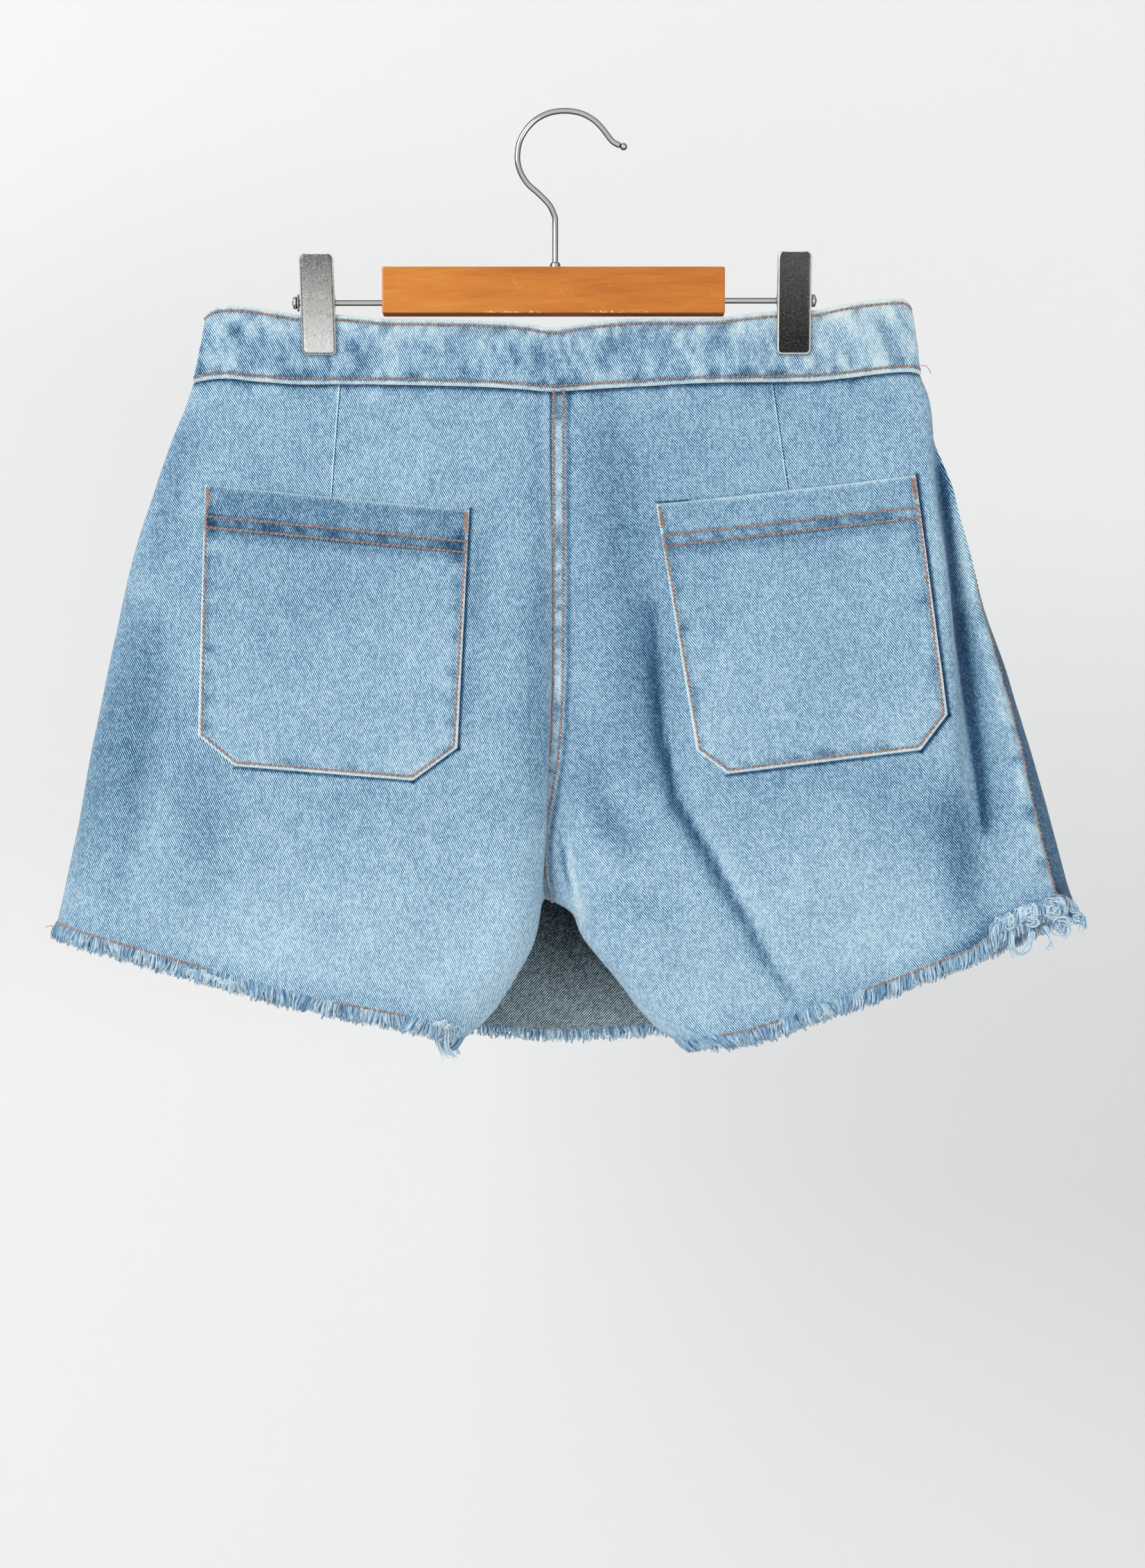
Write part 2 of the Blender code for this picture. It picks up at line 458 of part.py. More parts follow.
def lofted(lines, cells, before=None, after=None):
    """Grid of points across the lines; cells gives the columns between neighbours."""
    grid = []
    for row in range(len(lines[0])):
        controls = [line[row] for line in lines]
        lead = [before[row]] if before else []
        tail = [after[row]] if after else []
        chain = lead + controls + tail
        first = len(lead)
        points = []
        for span, count in enumerate(cells):
            for cell in range(count):
                points.append(smooth_point(chain, first + span, cell / count))
        points.append(controls[-1])
        grid.append(points)
    return grid


def press_trough(grid, rows, depth, width, side=1.0):
    """Sinks a soft trough into a panel along a line given as (z, x) rows."""
    table = sorted((z, x) for z, x in rows)
    low, high = table[0][0], table[-1][0]
    for points in grid:
        for point in points:
            if not low - width < point.z < high + width:
                continue
            middle = read_table(table, point.z)
            share = min(max((point.z - low) / (high - low), 0.0), 1.0)
            swell = math.sin(math.pi * (0.12 + 0.76 * share))
            away = (point.x - middle) / width
            point.y += side * depth * swell * math.exp(-away * away)


def nearest_on_loop(loop, point):
    """The nearest point of a closed loop in plan, and the way out of the loop there."""
    best = None
    for here, there in zip(loop, loop[1:] + loop[:1]):
        run = Vector((there.x - here.x, there.y - here.y))
        reach = Vector((point.x - here.x, point.y - here.y))
        if run.length < 1e-6:
            continue
        share = min(max(reach.dot(run) / run.length_squared, 0.0), 1.0)
        distance = (reach - run * share).length
        if best is None or distance < best[0]:
            outward = Vector((run.y, -run.x, 0.0)).normalized()
            best = (distance, here.lerp(there, share), outward)
    return best[1], best[2]


def meet_band(grid, loop, layer_at=None):
    """Draws a panel's first rows to the lower edge of the waistband."""
    shifts = []
    for column, point in enumerate(grid[0]):
        edge, outward = nearest_on_loop(loop, point)
        target = edge + outward * (layer_at(grid[0], column) if layer_at else 0.0)
        target.z -= SEAM_GAP
        shifts.append(target - point)
    for row, ease in enumerate(TOP_EASE):
        for column, shift in enumerate(shifts):
            grid[row][column] += shift * ease


def skirt_layer(top_row, column):
    """The skirt rises from the side seams to lie over the shorts' fronts."""
    from_seam = min((top_row[column] - top_row[0]).length, (top_row[column] - top_row[-1]).length)
    share = min(from_seam / SIDE_SEAM_EASE, 1.0)
    return SKIRT_OVER_BAND * share * share * (3.0 - 2.0 * share)


def front_layer(top_row, column):
    """A shorts' front lies one layer inside the skirt, also where that comes down."""
    outer = top_row[-1] if abs(top_row[-1].x) > abs(top_row[0].x) else top_row[0]
    share = min((top_row[column] - outer).length / SIDE_SEAM_EASE, 1.0)
    return SKIRT_OVER_BAND * share * share * (3.0 - 2.0 * share) - FRONT_UNDER_SKIRT


def grid_normals(grid, outward):
    """Unit normals of a grid of points, turned to the side that outward points to."""
    normals = []
    last_row, last_column = len(grid) - 1, len(grid[0]) - 1
    for row, points in enumerate(grid):
        line = []
        for column in range(len(points)):
            across = points[min(column + 1, last_column)] - points[max(column - 1, 0)]
            down = grid[min(row + 1, last_row)][column] - grid[max(row - 1, 0)][column]
            line.append(across.cross(down).normalized())
        normals.append(line)
    middle = normals[last_row // 2][last_column // 2]
    if middle.dot(outward) < 0.0:
        normals = [[-normal for normal in line] for line in normals]
    return normals


def fair_direction(facings):
    """The direction that none of the facings leans far away from."""
    shared = sum(facings, Vector()).normalized()
    for _ in range(FAIR_STEPS):
        shared = (shared + min(facings, key=shared.dot) * FAIR_PULL).normalized()
    return shared


def share_rims(normals, seams):
    """Gives the pieces at each seam the same rim direction, row by row."""
    for row, meeting in seams:
        shared = fair_direction([normals[name][row][column] for name, column in meeting])
        share = 1.0 if len(meeting) == 2 else CROSSING_SHARE
        for name, column in meeting:
            own = normals[name][row][column]
            normals[name][row][column] = own.lerp(shared, share).normalized()


def level_rim(line):
    """Turns a row's normals level, so that the wall's rim there is level too."""
    for normal in line:
        normal.z = 0.0
        normal.normalize()


def trim_border(grid, column, neighbour, amounts):
    """Moves a border column back from its seam by half the seam gap."""
    for points, amount in zip(grid, amounts):
        step = points[neighbour] - points[column]
        points[column] += step.normalized() * min(amount, step.length * 0.4)


def wall_mesh(name, grid, normals, thickness):
    """A closed wall of even thickness whose middle surface is the grid."""
    rows, columns = len(grid), len(grid[0])
    points = []
    for side in (0.5, -0.5):
        for row in range(rows):
            for column in range(columns):
                points.append(grid[row][column] + normals[row][column] * thickness * side)
    inner = rows * columns

    def at(row, column):
        return row * columns + column

    faces = []
    for row in range(rows - 1):
        for column in range(columns - 1):
            quad = (at(row, column), at(row, column + 1),
                    at(row + 1, column + 1), at(row + 1, column))
            faces.append(quad)
            faces.append(tuple(index + inner for index in reversed(quad)))
    rim = [at(0, column) for column in range(columns)]
    rim += [at(row, columns - 1) for row in range(1, rows)]
    rim += [at(rows - 1, column) for column in range(columns - 2, -1, -1)]
    rim += [at(row, 0) for row in range(rows - 2, 0, -1)]
    for here, there in zip(rim, rim[1:] + rim[:1]):
        faces.append((there, here, here + inner, there + inner))
    return mesh_from(name, points, faces)


# ---------------------------------------------------------------- garment

def band_grid(stations):
    """Three rows of points for a length of waistband: top edge, middle and lower edge."""
    lines = []
    for top_x, top_z, low_x, low_z, depth in stations:
        top, low = Vector((top_x, depth, top_z)), Vector((low_x, depth, low_z))
        lines.append([top, top.lerp(low, 0.5), low])
    return lofted(lines, (1,) * (len(lines) - 1))


def panel_grids(loop):
    """Middle surfaces of the five large panels, drawn to the waistband's lower edge."""
    left_seam, right_seam = style_line(LEFT_SEAM), style_line(RIGHT_SEAM)
    left_edge, left_turn = style_line(LEFT_EDGE), style_line(SKIRT_LEFT_TURN)
    right_edge, second_ridge = style_line(SKIRT_RIGHT_EDGE), style_line(RIGHT_RIDGE_TWO)
    grids = {
        "back_left": lofted(
            [left_seam, left_edge]
            + [style_line(rows) for rows in (LEFT_SHOULDER, LEFT_OUTER, LEFT_MIDDLE,
                                             LEFT_INNER, LEFT_CREST, LEFT_FOLD)]
            + [crotch_line(CENTRE_BACK, LEFT_INSEAM)],
            (2, 2, 3, 3, 3, 3, 2, 2), before=left_turn),
        "back_right": lofted(
            [crotch_line(CENTRE_BACK, RIGHT_INSEAM)]
            + [style_line(rows) for rows in (RIGHT_FOLD, RIGHT_CREST, RIGHT_INNER,
                                             RIGHT_MIDDLE, RIGHT_OUTER, RIGHT_RIDGE,
                                             RIGHT_LIP, RIGHT_VALLEY)]
            + [second_ridge, right_seam],
            (2, 2, 3, 3, 3, 3, 1, 2, 2, 2), after=right_edge),
        "skirt_front": lofted(
            [right_seam, right_edge]
            + [style_line(rows) for rows in (SKIRT_RIGHT_TURN, SKIRT_RIGHT,
                                             SKIRT_RIGHT_MIDDLE, SKIRT_CENTRE,
                                             SKIRT_LEFT_MIDDLE, SKIRT_LEFT)]
            + [left_turn, left_seam],
            (2, 2, 3, 3, 3, 3, 3, 3, 2), before=second_ridge, after=left_edge),
        "front_left": lofted(
            [style_line(rows) for rows in (FRONT_LEFT_SEAM, FRONT_LEFT_TURN, FRONT_LEFT,
                                           FRONT_LEFT_MIDDLE, FRONT_LEFT_INNER,
                                           FRONT_LEFT_CREST)]
            + [crotch_line(CENTRE_FRONT, LEFT_INSEAM)],
            (2, 3, 3, 3, 2, 2)),
        "front_right": lofted(
            [crotch_line(CENTRE_FRONT, RIGHT_INSEAM)]
            + [style_line(rows) for rows in (FRONT_RIGHT_CREST, FRONT_RIGHT_INNER,
                                             FRONT_RIGHT_MIDDLE, FRONT_RIGHT,
                                             FRONT_RIGHT_TURN, FRONT_RIGHT_SEAM)],
            (2, 2, 3, 3, 3, 2)),
    }
    press_trough(grids["back_right"], RIGHT_LEG_TROUGH, RIGHT_LEG_TROUGH_DEPTH,
                 RIGHT_LEG_TROUGH_WIDTH)
    press_trough(grids["back_left"], LEFT_LEG_TROUGH, LEFT_LEG_TROUGH_DEPTH,
                 LEFT_LEG_TROUGH_WIDTH)
    layers = {"skirt_front": skirt_layer, "front_left": front_layer,
              "front_right": front_layer}
    for name, grid in grids.items():
        meet_band(grid, loop, layers.get(name))
    return grids


def trim_seams(grids):
    """Parts the panels at the seams that they share."""
    plain = [SEAM_GAP * 0.5] * len(ROW_SHARES)
    inner = [SEAM_GAP * 0.5 + CROTCH_EASE * math.exp(-((share - CROTCH_SHARE) / 0.04) ** 2)
             for share in ROW_SHARES]
    trim_border(grids["back_left"], 0, 1, plain)
    trim_border(grids["back_left"], -1, -2, inner)
    trim_border(grids["back_right"], 0, 1, inner)
    trim_border(grids["back_right"], -1, -2, plain)
    trim_border(grids["skirt_front"], 0, 1, plain)
    trim_border(grids["skirt_front"], -1, -2, plain)
    trim_border(grids["front_left"], -1, -2, inner)
    trim_border(grids["front_right"], 0, 1, inner)


def seam_meetings():
    """For each seam and row, the panels' border columns that meet there."""
    crotch_row = ROW_SHARES.index(CROTCH_SHARE)
    meetings = []
    for row in range(len(ROW_SHARES)):
        meetings.append((row, (("back_left", 0), ("skirt_front", -1))))
        meetings.append((row, (("back_right", -1), ("skirt_front", 0))))
        if row < crotch_row:
            meetings.append((row, (("back_left", -1), ("back_right", 0))))
            meetings.append((row, (("front_left", -1), ("front_right", 0))))
        elif row == crotch_row:
            meetings.append((row, (("back_left", -1), ("back_right", 0),
                                   ("front_left", -1), ("front_right", 0))))
        else:
            meetings.append((row, (("back_left", -1), ("front_left", -1))))
            meetings.append((row, (("back_right", 0), ("front_right", 0))))
    return meetings


def build_garment():
    """Waistband, panels and frayed hems; returns the back panels' surfaces."""
    back_band, front_band = band_grid(BACK_BAND), band_grid(FRONT_BAND)
    loop = [point.copy() for point in back_band[-1]] + [point.copy() for point in front_band[-1]]
    for grid in (back_band, front_band):
        trim_border(grid, 0, 1, [SEAM_GAP * 0.5] * len(grid))
        trim_border(grid, -1, -2, [SEAM_GAP * 0.5] * len(grid))
    band_normals = {"back": grid_normals(back_band, Vector((0.0, -1.0, 0.0))),
                    "front": grid_normals(front_band, Vector((0.0, 1.0, 0.0)))}
    share_rims(band_normals, [(row, (("back", end), ("front", -1 - end)))
                              for row in range(3) for end in (0, -1)])
    for lines in band_normals.values():
        level_rim(lines[-1])
    add_object("waistband_back",
               wall_mesh("waistband_back", back_band, band_normals["back"], BAND),
               "denim_band")
    add_object("waistband_front",
               wall_mesh("waistband_front", front_band, band_normals["front"], BAND),
               "denim_band")

    grids = panel_grids(loop)
    outward = {name: Vector((0.0, -1.0 if name.startswith("back") else 1.0, 0.0))
               for name in grids}
    normals = {name: grid_normals(grid, outward[name]) for name, grid in grids.items()}
    share_rims(normals, seam_meetings())
    for lines in normals.values():
        level_rim(lines[0])
    trim_seams(grids)
    panels = {}
    for name, grid in grids.items():
        mesh = wall_mesh(name, grid, normals[name], CLOTH)
        panels[name] = add_object(name, mesh, "denim")
    for name in ("back_left", "back_right"):
        build_fringe("fringe_" + name, grids[name], normals[name], LOCK_PITCH)
    for name in ("front_left", "front_right"):
        build_fringe("fringe_" + name, grids[name], normals[name], HIDDEN_LOCK_PITCH)
    build_fringe("fringe_skirt", grids["skirt_front"], normals["skirt_front"], LOCK_PITCH)
    return panels


def hem_stations(hem, pitch):
    """Places along a hem, all its corners among them: the index of a span and its share."""
    stations = []
    for index, (here, there) in enumerate(zip(hem, hem[1:])):
        count = max(round((there - here).length / pitch), 1)
        stations += [(index, step / count) for step in range(count)]
    return stations + [(len(hem) - 2, 1.0)]


def build_fringe(name, grid, normals, pitch):
    """A narrow strip just below a raw hem, with a lock growing from each of its cells."""
    stations = hem_stations(grid[-1], pitch)
    count = len(stations) - 1
    hem, above, facing = [[line[index].lerp(line[index + 1], share) for index, share in stations]
                          for line in (grid[-1], grid[-2], normals[-1])]
    points, faces = [], []
    for edge, upper, normal in zip(hem, above, facing):
        down = (edge - upper).normalized()
        out = normal.normalized() * FRINGE_WALL * 0.5
        top, low = edge + down * HEM_GAP, edge + down * (HEM_GAP + FRINGE_STRIP)
        points += [top + out, low + out, low - out, top - out]
    for cell in range(count):
        here, there = cell * 4, cell * 4 + 4
        faces.append((here, there, there + 1, here + 1))
        faces.append((here + 2, there + 2, there + 3, here + 3))
        faces.append((here + 3, there + 3, there, here))
        add_lock(points, faces, (here + 1, there + 1, there + 2, here + 2),
                 (hem[cell] - above[cell]).normalized(), cell)
    faces.append((0, 1, 2, 3))
    faces.append(tuple(count * 4 + corner for corner in (3, 2, 1, 0)))
    add_object(name, mesh_from(name, points, faces), "fringe")


def add_lock(points, faces, root, down, number):
    """A tapering lock of threads below a root quad, swung a little by its number."""
    corners = [points[index] for index in root]
    middle = sum(corners, Vector()) / 4.0
    across = (corners[1] - corners[0])
    swing = math.sin(number * 2.4) * 0.16 + math.sin(number * 0.7 + 1.0) * 0.08
    length = LOCK_DROP * (0.82 + 0.18 * math.sin(number * 1.7))
    waist = middle + down * length * 0.5 + across * swing
    tip = middle + down * length + across * swing * 1.6
    first = len(points)
    for corner in corners:
        points.append(waist + (corner - middle) * LOCK_PINCH)
    points.append(tip)
    for side in range(4):
        other = (side + 1) % 4
        faces.append((root[side], root[other], first + other, first + side))
        faces.append((first + side, first + other, first + 4))


# ---------------------------------------------------------------- patch pockets

def build_pocket(name, corners, panel):
    """A patch pocket whose points are read from the panel below it and moved out."""
    top_left, top_right, right_cut, low_right, low_left, left_cut = corners
    surface = BVHTree.FromPolygons([vertex.co for vertex in panel.data.vertices],
                                   [polygon.vertices for polygon in panel.data.polygons])
    shares = [(row / POCKET_ROWS, 0.0) for row in range(POCKET_ROWS + 1)]
    shares += [(1.0, (row + 1) / POCKET_CORNER_ROWS) for row in range(POCKET_CORNER_ROWS)]
    grid, normals = [], []
    for straight, cut in shares:
        left = Vector(top_left).lerp(Vector(left_cut), straight).lerp(Vector(low_left), cut)
        right = Vector(top_right).lerp(Vector(right_cut), straight).lerp(Vector(low_right), cut)
        points, line = [], []
        for column in range(POCKET_COLUMNS + 1):
            spot = left.lerp(right, column / POCKET_COLUMNS)
            hit, normal, _, _ = surface.ray_cast(Vector((spot.x, -100.0, spot.y)) * MM,
                                                 Vector((0.0, 1.0, 0.0)))
            gape = MOUTH_GAPE * math.sin(math.pi * column / POCKET_COLUMNS)
            gape *= max(1.0 - straight * 3.0, 0.0)
            points.append(hit / MM + normal * (POCKET_LIFT + POCKET * 0.5 + gape))
            line.append(normal)
        grid.append(points)
        normals.append(line)
    for _ in range(SETTLE_PASSES):
        settle(grid, normals, surface)
    add_object(name, wall_mesh(name, grid, grid_normals(grid, Vector((0.0, -1.0, 0.0))), POCKET),
               "denim_light")


def settle(grid, normals, surface):
    """Moves a patch out where the middle of a cell or an edge comes too near the panel."""
    rows, columns = len(grid), len(grid[0])
    for row in range(rows):
        for column in range(columns):
            for down, across in ((0, 1), (1, 0), (1, 1)):
                if row + down >= rows or column + across >= columns:
                    continue
                ends = {(row, column), (row + down, column), (row, column + across),
                        (row + down, column + across)}
                middle = sum((grid[r][c] for r, c in ends), Vector()) / len(ends)
                spot, facing, _, _ = surface.find_nearest(middle * MM)
                clear = (middle - spot / MM).dot(facing) - POCKET * 0.5
                for r, c in ends:
                    grid[r][c] += normals[r][c] * max(POCKET_LIFT - clear, 0.0)


# ---------------------------------------------------------------- hanger

def box_mesh(name, low, high, rounding):
    build = bmesh.new()
    bmesh.ops.create_cube(build, size=1.0)
    for corner in build.verts:
        corner.co = Vector(((low[axis] + high[axis]) * 0.5 + corner.co[axis]
                            * (high[axis] - low[axis])) * MM for axis in range(3))
    bmesh.ops.bevel(build, geom=build.edges[:], offset=rounding * MM, segments=2,
                    affect="EDGES", profile=0.5)
    mesh = bpy.data.meshes.new(name)
    build.to_mesh(mesh)
    build.free()
    return mesh


def turned_mesh(name, centre, axis, rings, sides):
    """Rings of (distance along the axis, radius), joined and closed; radius may repeat."""
    across = Vector((0.0, 1.0, 0.0))
    third = axis.cross(across)
    points, faces = [], []
    for distance, radius in rings:
        for side in range(sides):
            angle = 2.0 * math.pi * side / sides
            points.append(centre + axis * distance
                          + (across * math.cos(angle) + third * math.sin(angle)) * radius)
    loops = [range(start, start + sides) for start in range(0, len(points), sides)]
    closed = rings[0] == rings[-1]
    for first, second in zip(loops, loops[1:]):
        for side in range(sides):
            other = (side + 1) % sides
            faces.append((first[side], first[other], second[other], second[side]))
    if not closed:
        faces.append(tuple(loops[0]))
        faces.append(tuple(reversed(loops[-1])))
        return mesh_from(name, points, faces)
    last = len(points) - sides
    faces = [tuple(index - last if index >= last else index for index in face)
             for face in faces]
    return mesh_from(name, points[:last], faces)


def swept_mesh(name, path, radii, sides):
    """A round wire along a path in the XZ plane."""
    points, faces = [], []
    for index, point in enumerate(path):
        ahead = path[min(index + 1, len(path) - 1)] - path[max(index - 1, 0)]
        outward = Vector((ahead.z, 0.0, -ahead.x)).normalized()
        for side in range(sides):
            angle = 2.0 * math.pi * side / sides
            points.append(point + (outward * math.cos(angle)
                                   + Vector((0.0, 1.0, 0.0)) * math.sin(angle)) * radii[index])
    for ring in range(len(path) - 1):
        for side in range(sides):
            other = (side + 1) % sides
            here, there = ring * sides, (ring + 1) * sides
            faces.append((here + side, here + other, there + other, there + side))
    faces.append(tuple(range(sides)))
    faces.append(tuple(range(len(points) - 1, len(points) - 1 - sides, -1)))
    return mesh_from(name, points, faces)


def cut_with(target, cutter_mesh):
    cutter = add_object(cutter_mesh.name, cutter_mesh, "nickel_plate")
    cutter.hide_render = True
    cutter.display_type = "WIRE"
    cut = target.modifiers.new(cutter_mesh.name, "BOOLEAN")
    cut.operation = "DIFFERENCE"
    cut.solver = "EXACT"
    cut.object = cutter


def build_bar():
    half = BAR_DEPTH * 0.5
    bar = add_object("hanger_bar", box_mesh("hanger_bar", (BAR_LEFT, -half, BAR_BOTTOM),
                                            (BAR_RIGHT, half, BAR_TOP), BAR_ROUNDING),
                     "varnished_wood")
    radius = BORE * 0.5
    right, up = Vector((1.0, 0.0, 0.0)), Vector((0.0, 0.0, 1.0))
    cut_with(bar, turned_mesh("cut_stem_socket", Vector((STEM_X, 0.0, BAR_TOP)), up,
                              ((-STEM_SOCKET, radius), (2.0, radius)), 16))
    cut_with(bar, turned_mesh("cut_left_rod_socket", Vector((BAR_LEFT, 0.0, LEFT_ROD_Z)), right,
                              ((-2.0, radius), (ROD_SOCKET, radius)), 16))
    cut_with(bar, turned_mesh("cut_right_rod_socket", Vector((BAR_RIGHT, 0.0, RIGHT_ROD_Z)),
                              right, ((-ROD_SOCKET, radius), (2.0, radius)), 16))


def build_hook():
    controls = [Vector((x, 0.0, z)) for x, z in HOOK_PATH]
    path = []
    for index in range(len(controls) - 1):
        path.append(controls[index])
        if index >= 3:
            path.append(smooth_point(controls, index, 0.5))
    radii = [WIRE * 0.5] * len(path)
    run = (controls[-1] - controls[-2]).normalized()
    for angle in (-60.0, -30.0, 0.0, 30.0, 60.0, 84.0):
        path.append(controls[-1] + run * TIP_RADIUS * math.sin(math.radians(angle)))
        radii.append(TIP_RADIUS * math.cos(math.radians(angle)))
    add_object("hook", swept_mesh("hook", path, radii, 10), "chromed_steel")
    inner = BORE * 0.5
    add_object("hook_ferrule",
               turned_mesh("hook_ferrule", Vector((STEM_X, 0.0, BAR_TOP + 0.3)),
                           Vector((0.0, 0.0, 1.0)),
                           ((0.0, inner), (0.0, 2.7), (1.6, 2.7), (2.5, 2.3), (2.8, inner),
                            (0.0, inner)), 16),
               "chromed_steel")


def build_rods():
    right = Vector((1.0, 0.0, 0.0))
    spans = {"left": (LEFT_ROD_END, BAR_LEFT + ROD_SOCKET - 0.3, LEFT_ROD_Z),
             "right": (BAR_RIGHT - ROD_SOCKET + 0.3, RIGHT_ROD_END, RIGHT_ROD_Z)}
    for side, (start, end, height) in spans.items():
        name = "rod_" + side
        add_object(name, turned_mesh(name, Vector((start, 0.0, height)), right,
                                     ((0.0, WIRE * 0.5), (end - start, WIRE * 0.5)), 10),
                   "chromed_steel")
    inner = BORE * 0.5
    add_object("rod_cap_left",
               turned_mesh("rod_cap_left", Vector((LEFT_ROD_END + 0.4, 0.0, LEFT_ROD_Z)), right,
                           ((0.0, inner), (0.0, 2.9), (1.5, 3.3), (2.2, 2.6), (2.3, 4.5),
                            (3.1, 4.5), (3.1, inner), (0.0, inner)), 16),
               "nickel_plate")
    add_object("rod_cap_right",
               turned_mesh("rod_cap_right", Vector((RIGHT_ROD_END - 2.4, 0.0, RIGHT_ROD_Z)),
                           right, ((0.0, inner), (0.0, 3.3), (1.4, 3.2), (2.0, 2.6),
                                   (2.0, inner), (0.0, inner)), 16),
               "nickel_plate")


def leaf_depths(clip):
    """Rows of a leaf: height, sideways middle, outer face and flange depth."""
    (top_x, top_z), (jaw_x, jaw_z) = clip["top"], clip["jaw"]
    rows = []
    for share, face, flange in LEAF_ROWS:
        height = top_z + (jaw_z - top_z) * share
        rows.append((height, top_x + (jaw_x - top_x) * share, face, flange))
    faces = [(-row[0], row[2]) for row in rows]
    for step in range(-2, 3):
        offset = EAR_RADIUS * step * 0.5
        height = clip["rod"] + offset
        share = (height - top_z) / (jaw_z - top_z)
        face = read_table(faces, -height)
        reach = face + math.sqrt(max(EAR_RADIUS ** 2 - offset ** 2, 0.0))
        if abs(step) == 2:
            reach = EAR_FOOT
        rows.append((height, top_x + (jaw_x - top_x) * share, face, reach))
    return sorted(rows, key=lambda row: -row[0])


def build_leaf(name, clip, width, side):
    """One leaf of a clip: a pressed tray with side flanges, ears and a folded lip."""
    rows = leaf_depths(clip)
    half, sheet = width * 0.5, CLIP_SHEET
    points, faces = [], []
    sections = [(height, middle, face, flange, sheet) for height, middle, face, flange in rows]
    height, middle, face, flange = rows[-1]
    sections[-1] = (height + sheet, middle, face, flange, sheet)
    sections.append((height + sheet * 0.9, middle, face, flange, flange - 0.15))
    sections.append((height, middle, face, flange, flange - 0.15))
    for height, middle, face, flange, floor in sections:
        profile = ((-half, 0.0), (half, 0.0), (half, flange), (half - sheet, flange),
                   (half - sheet, floor), (sheet - half, floor), (sheet - half, flange),
                   (-half, flange))
        for x, depth in profile:
            points.append(Vector((middle + x, side * (face - depth), height)))
    for ring in range(len(sections) - 1):
        for corner in range(8):
            other = (corner + 1) % 8
            here, there = ring * 8, ring * 8 + 8
            faces.append((here + corner, here + other, there + other, there + corner))
    last = (len(sections) - 1) * 8
    for start, turn in ((0, 1), (last, -1)):
        faces.append(tuple(start + corner for corner in (0, 1, 4, 5))[::turn])
        faces.append(tuple(start + corner for corner in (1, 2, 3, 4))[::turn])
        faces.append(tuple(start + corner for corner in (0, 5, 6, 7))[::turn])
    leaf = add_object(name, mesh_from(name, points, faces, 25.0), "nickel_plate")
    middle = clip["top"][0]
    cut_with(leaf, turned_mesh("cut_" + name, Vector((middle, 0.0, clip["rod"])),
                               Vector((1.0, 0.0, 0.0)),
                               ((-width, BORE * 0.5), (width, BORE * 0.5)), 16))


def build_hanger():
    build_bar()
    build_hook()
    build_rods()
    for side, clip in (("left", LEFT_CLIP), ("right", RIGHT_CLIP)):
        build_leaf("clip_" + side + "_outer", clip, CLIP_WIDTH, -1.0)
        build_leaf("clip_" + side + "_inner", clip, BACK_LEAF_WIDTH, 1.0)


def main():
    clear_scene()
    panels = build_garment()
    build_pocket("pocket_left", LEFT_POCKET, panels["back_left"])
    build_pocket("pocket_right", RIGHT_POCKET, panels["back_right"])
    build_hanger()


main()
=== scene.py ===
"""Looks for a denim skort that hangs by its waistband from a wooden clip hanger.

The tables are in millimetres and in the part's own frame: the origin is the inside top of the
hook, X runs to the right as the back is seen, +Y points to the wall and Z runs up. Each cut
piece is lofted finely between the same style lines as its solid, creased, and given its
seams, stitches and frayed edges.
"""

from __future__ import annotations

import json
import logging
import math
from dataclasses import dataclass, field
from enum import Enum
from typing import Iterable, Optional, Sequence

import bmesh
import bpy
import numpy as np
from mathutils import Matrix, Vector
from mathutils.bvhtree import BVHTree

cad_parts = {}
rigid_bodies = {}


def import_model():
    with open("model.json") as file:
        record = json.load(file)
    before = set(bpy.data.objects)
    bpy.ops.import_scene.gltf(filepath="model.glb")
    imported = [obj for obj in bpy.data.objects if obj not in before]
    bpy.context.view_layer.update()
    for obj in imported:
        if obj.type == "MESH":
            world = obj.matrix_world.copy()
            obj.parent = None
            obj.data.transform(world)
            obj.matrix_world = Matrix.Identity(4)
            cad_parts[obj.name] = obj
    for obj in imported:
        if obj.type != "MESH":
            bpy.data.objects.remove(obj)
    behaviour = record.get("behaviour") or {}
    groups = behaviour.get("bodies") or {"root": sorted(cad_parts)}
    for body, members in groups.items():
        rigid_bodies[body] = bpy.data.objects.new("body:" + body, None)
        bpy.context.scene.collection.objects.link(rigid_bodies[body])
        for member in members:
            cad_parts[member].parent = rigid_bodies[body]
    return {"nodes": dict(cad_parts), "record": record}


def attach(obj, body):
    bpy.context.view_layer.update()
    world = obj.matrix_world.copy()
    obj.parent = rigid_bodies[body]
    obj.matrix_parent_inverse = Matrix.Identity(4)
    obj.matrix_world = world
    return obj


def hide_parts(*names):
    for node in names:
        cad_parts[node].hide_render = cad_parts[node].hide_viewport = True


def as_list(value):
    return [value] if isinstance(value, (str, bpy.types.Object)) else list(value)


Array = np.ndarray
Material, Mesh, Object = bpy.types.Material, bpy.types.Mesh, bpy.types.Object
Node, Socket, Tree = bpy.types.Node, bpy.types.NodeSocket, bpy.types.NodeTree
Rows = tuple[tuple[float, float, float], ...]
Path = Sequence[tuple[float, float]]

LOG = logging.getLogger("skort")
MM = 0.001

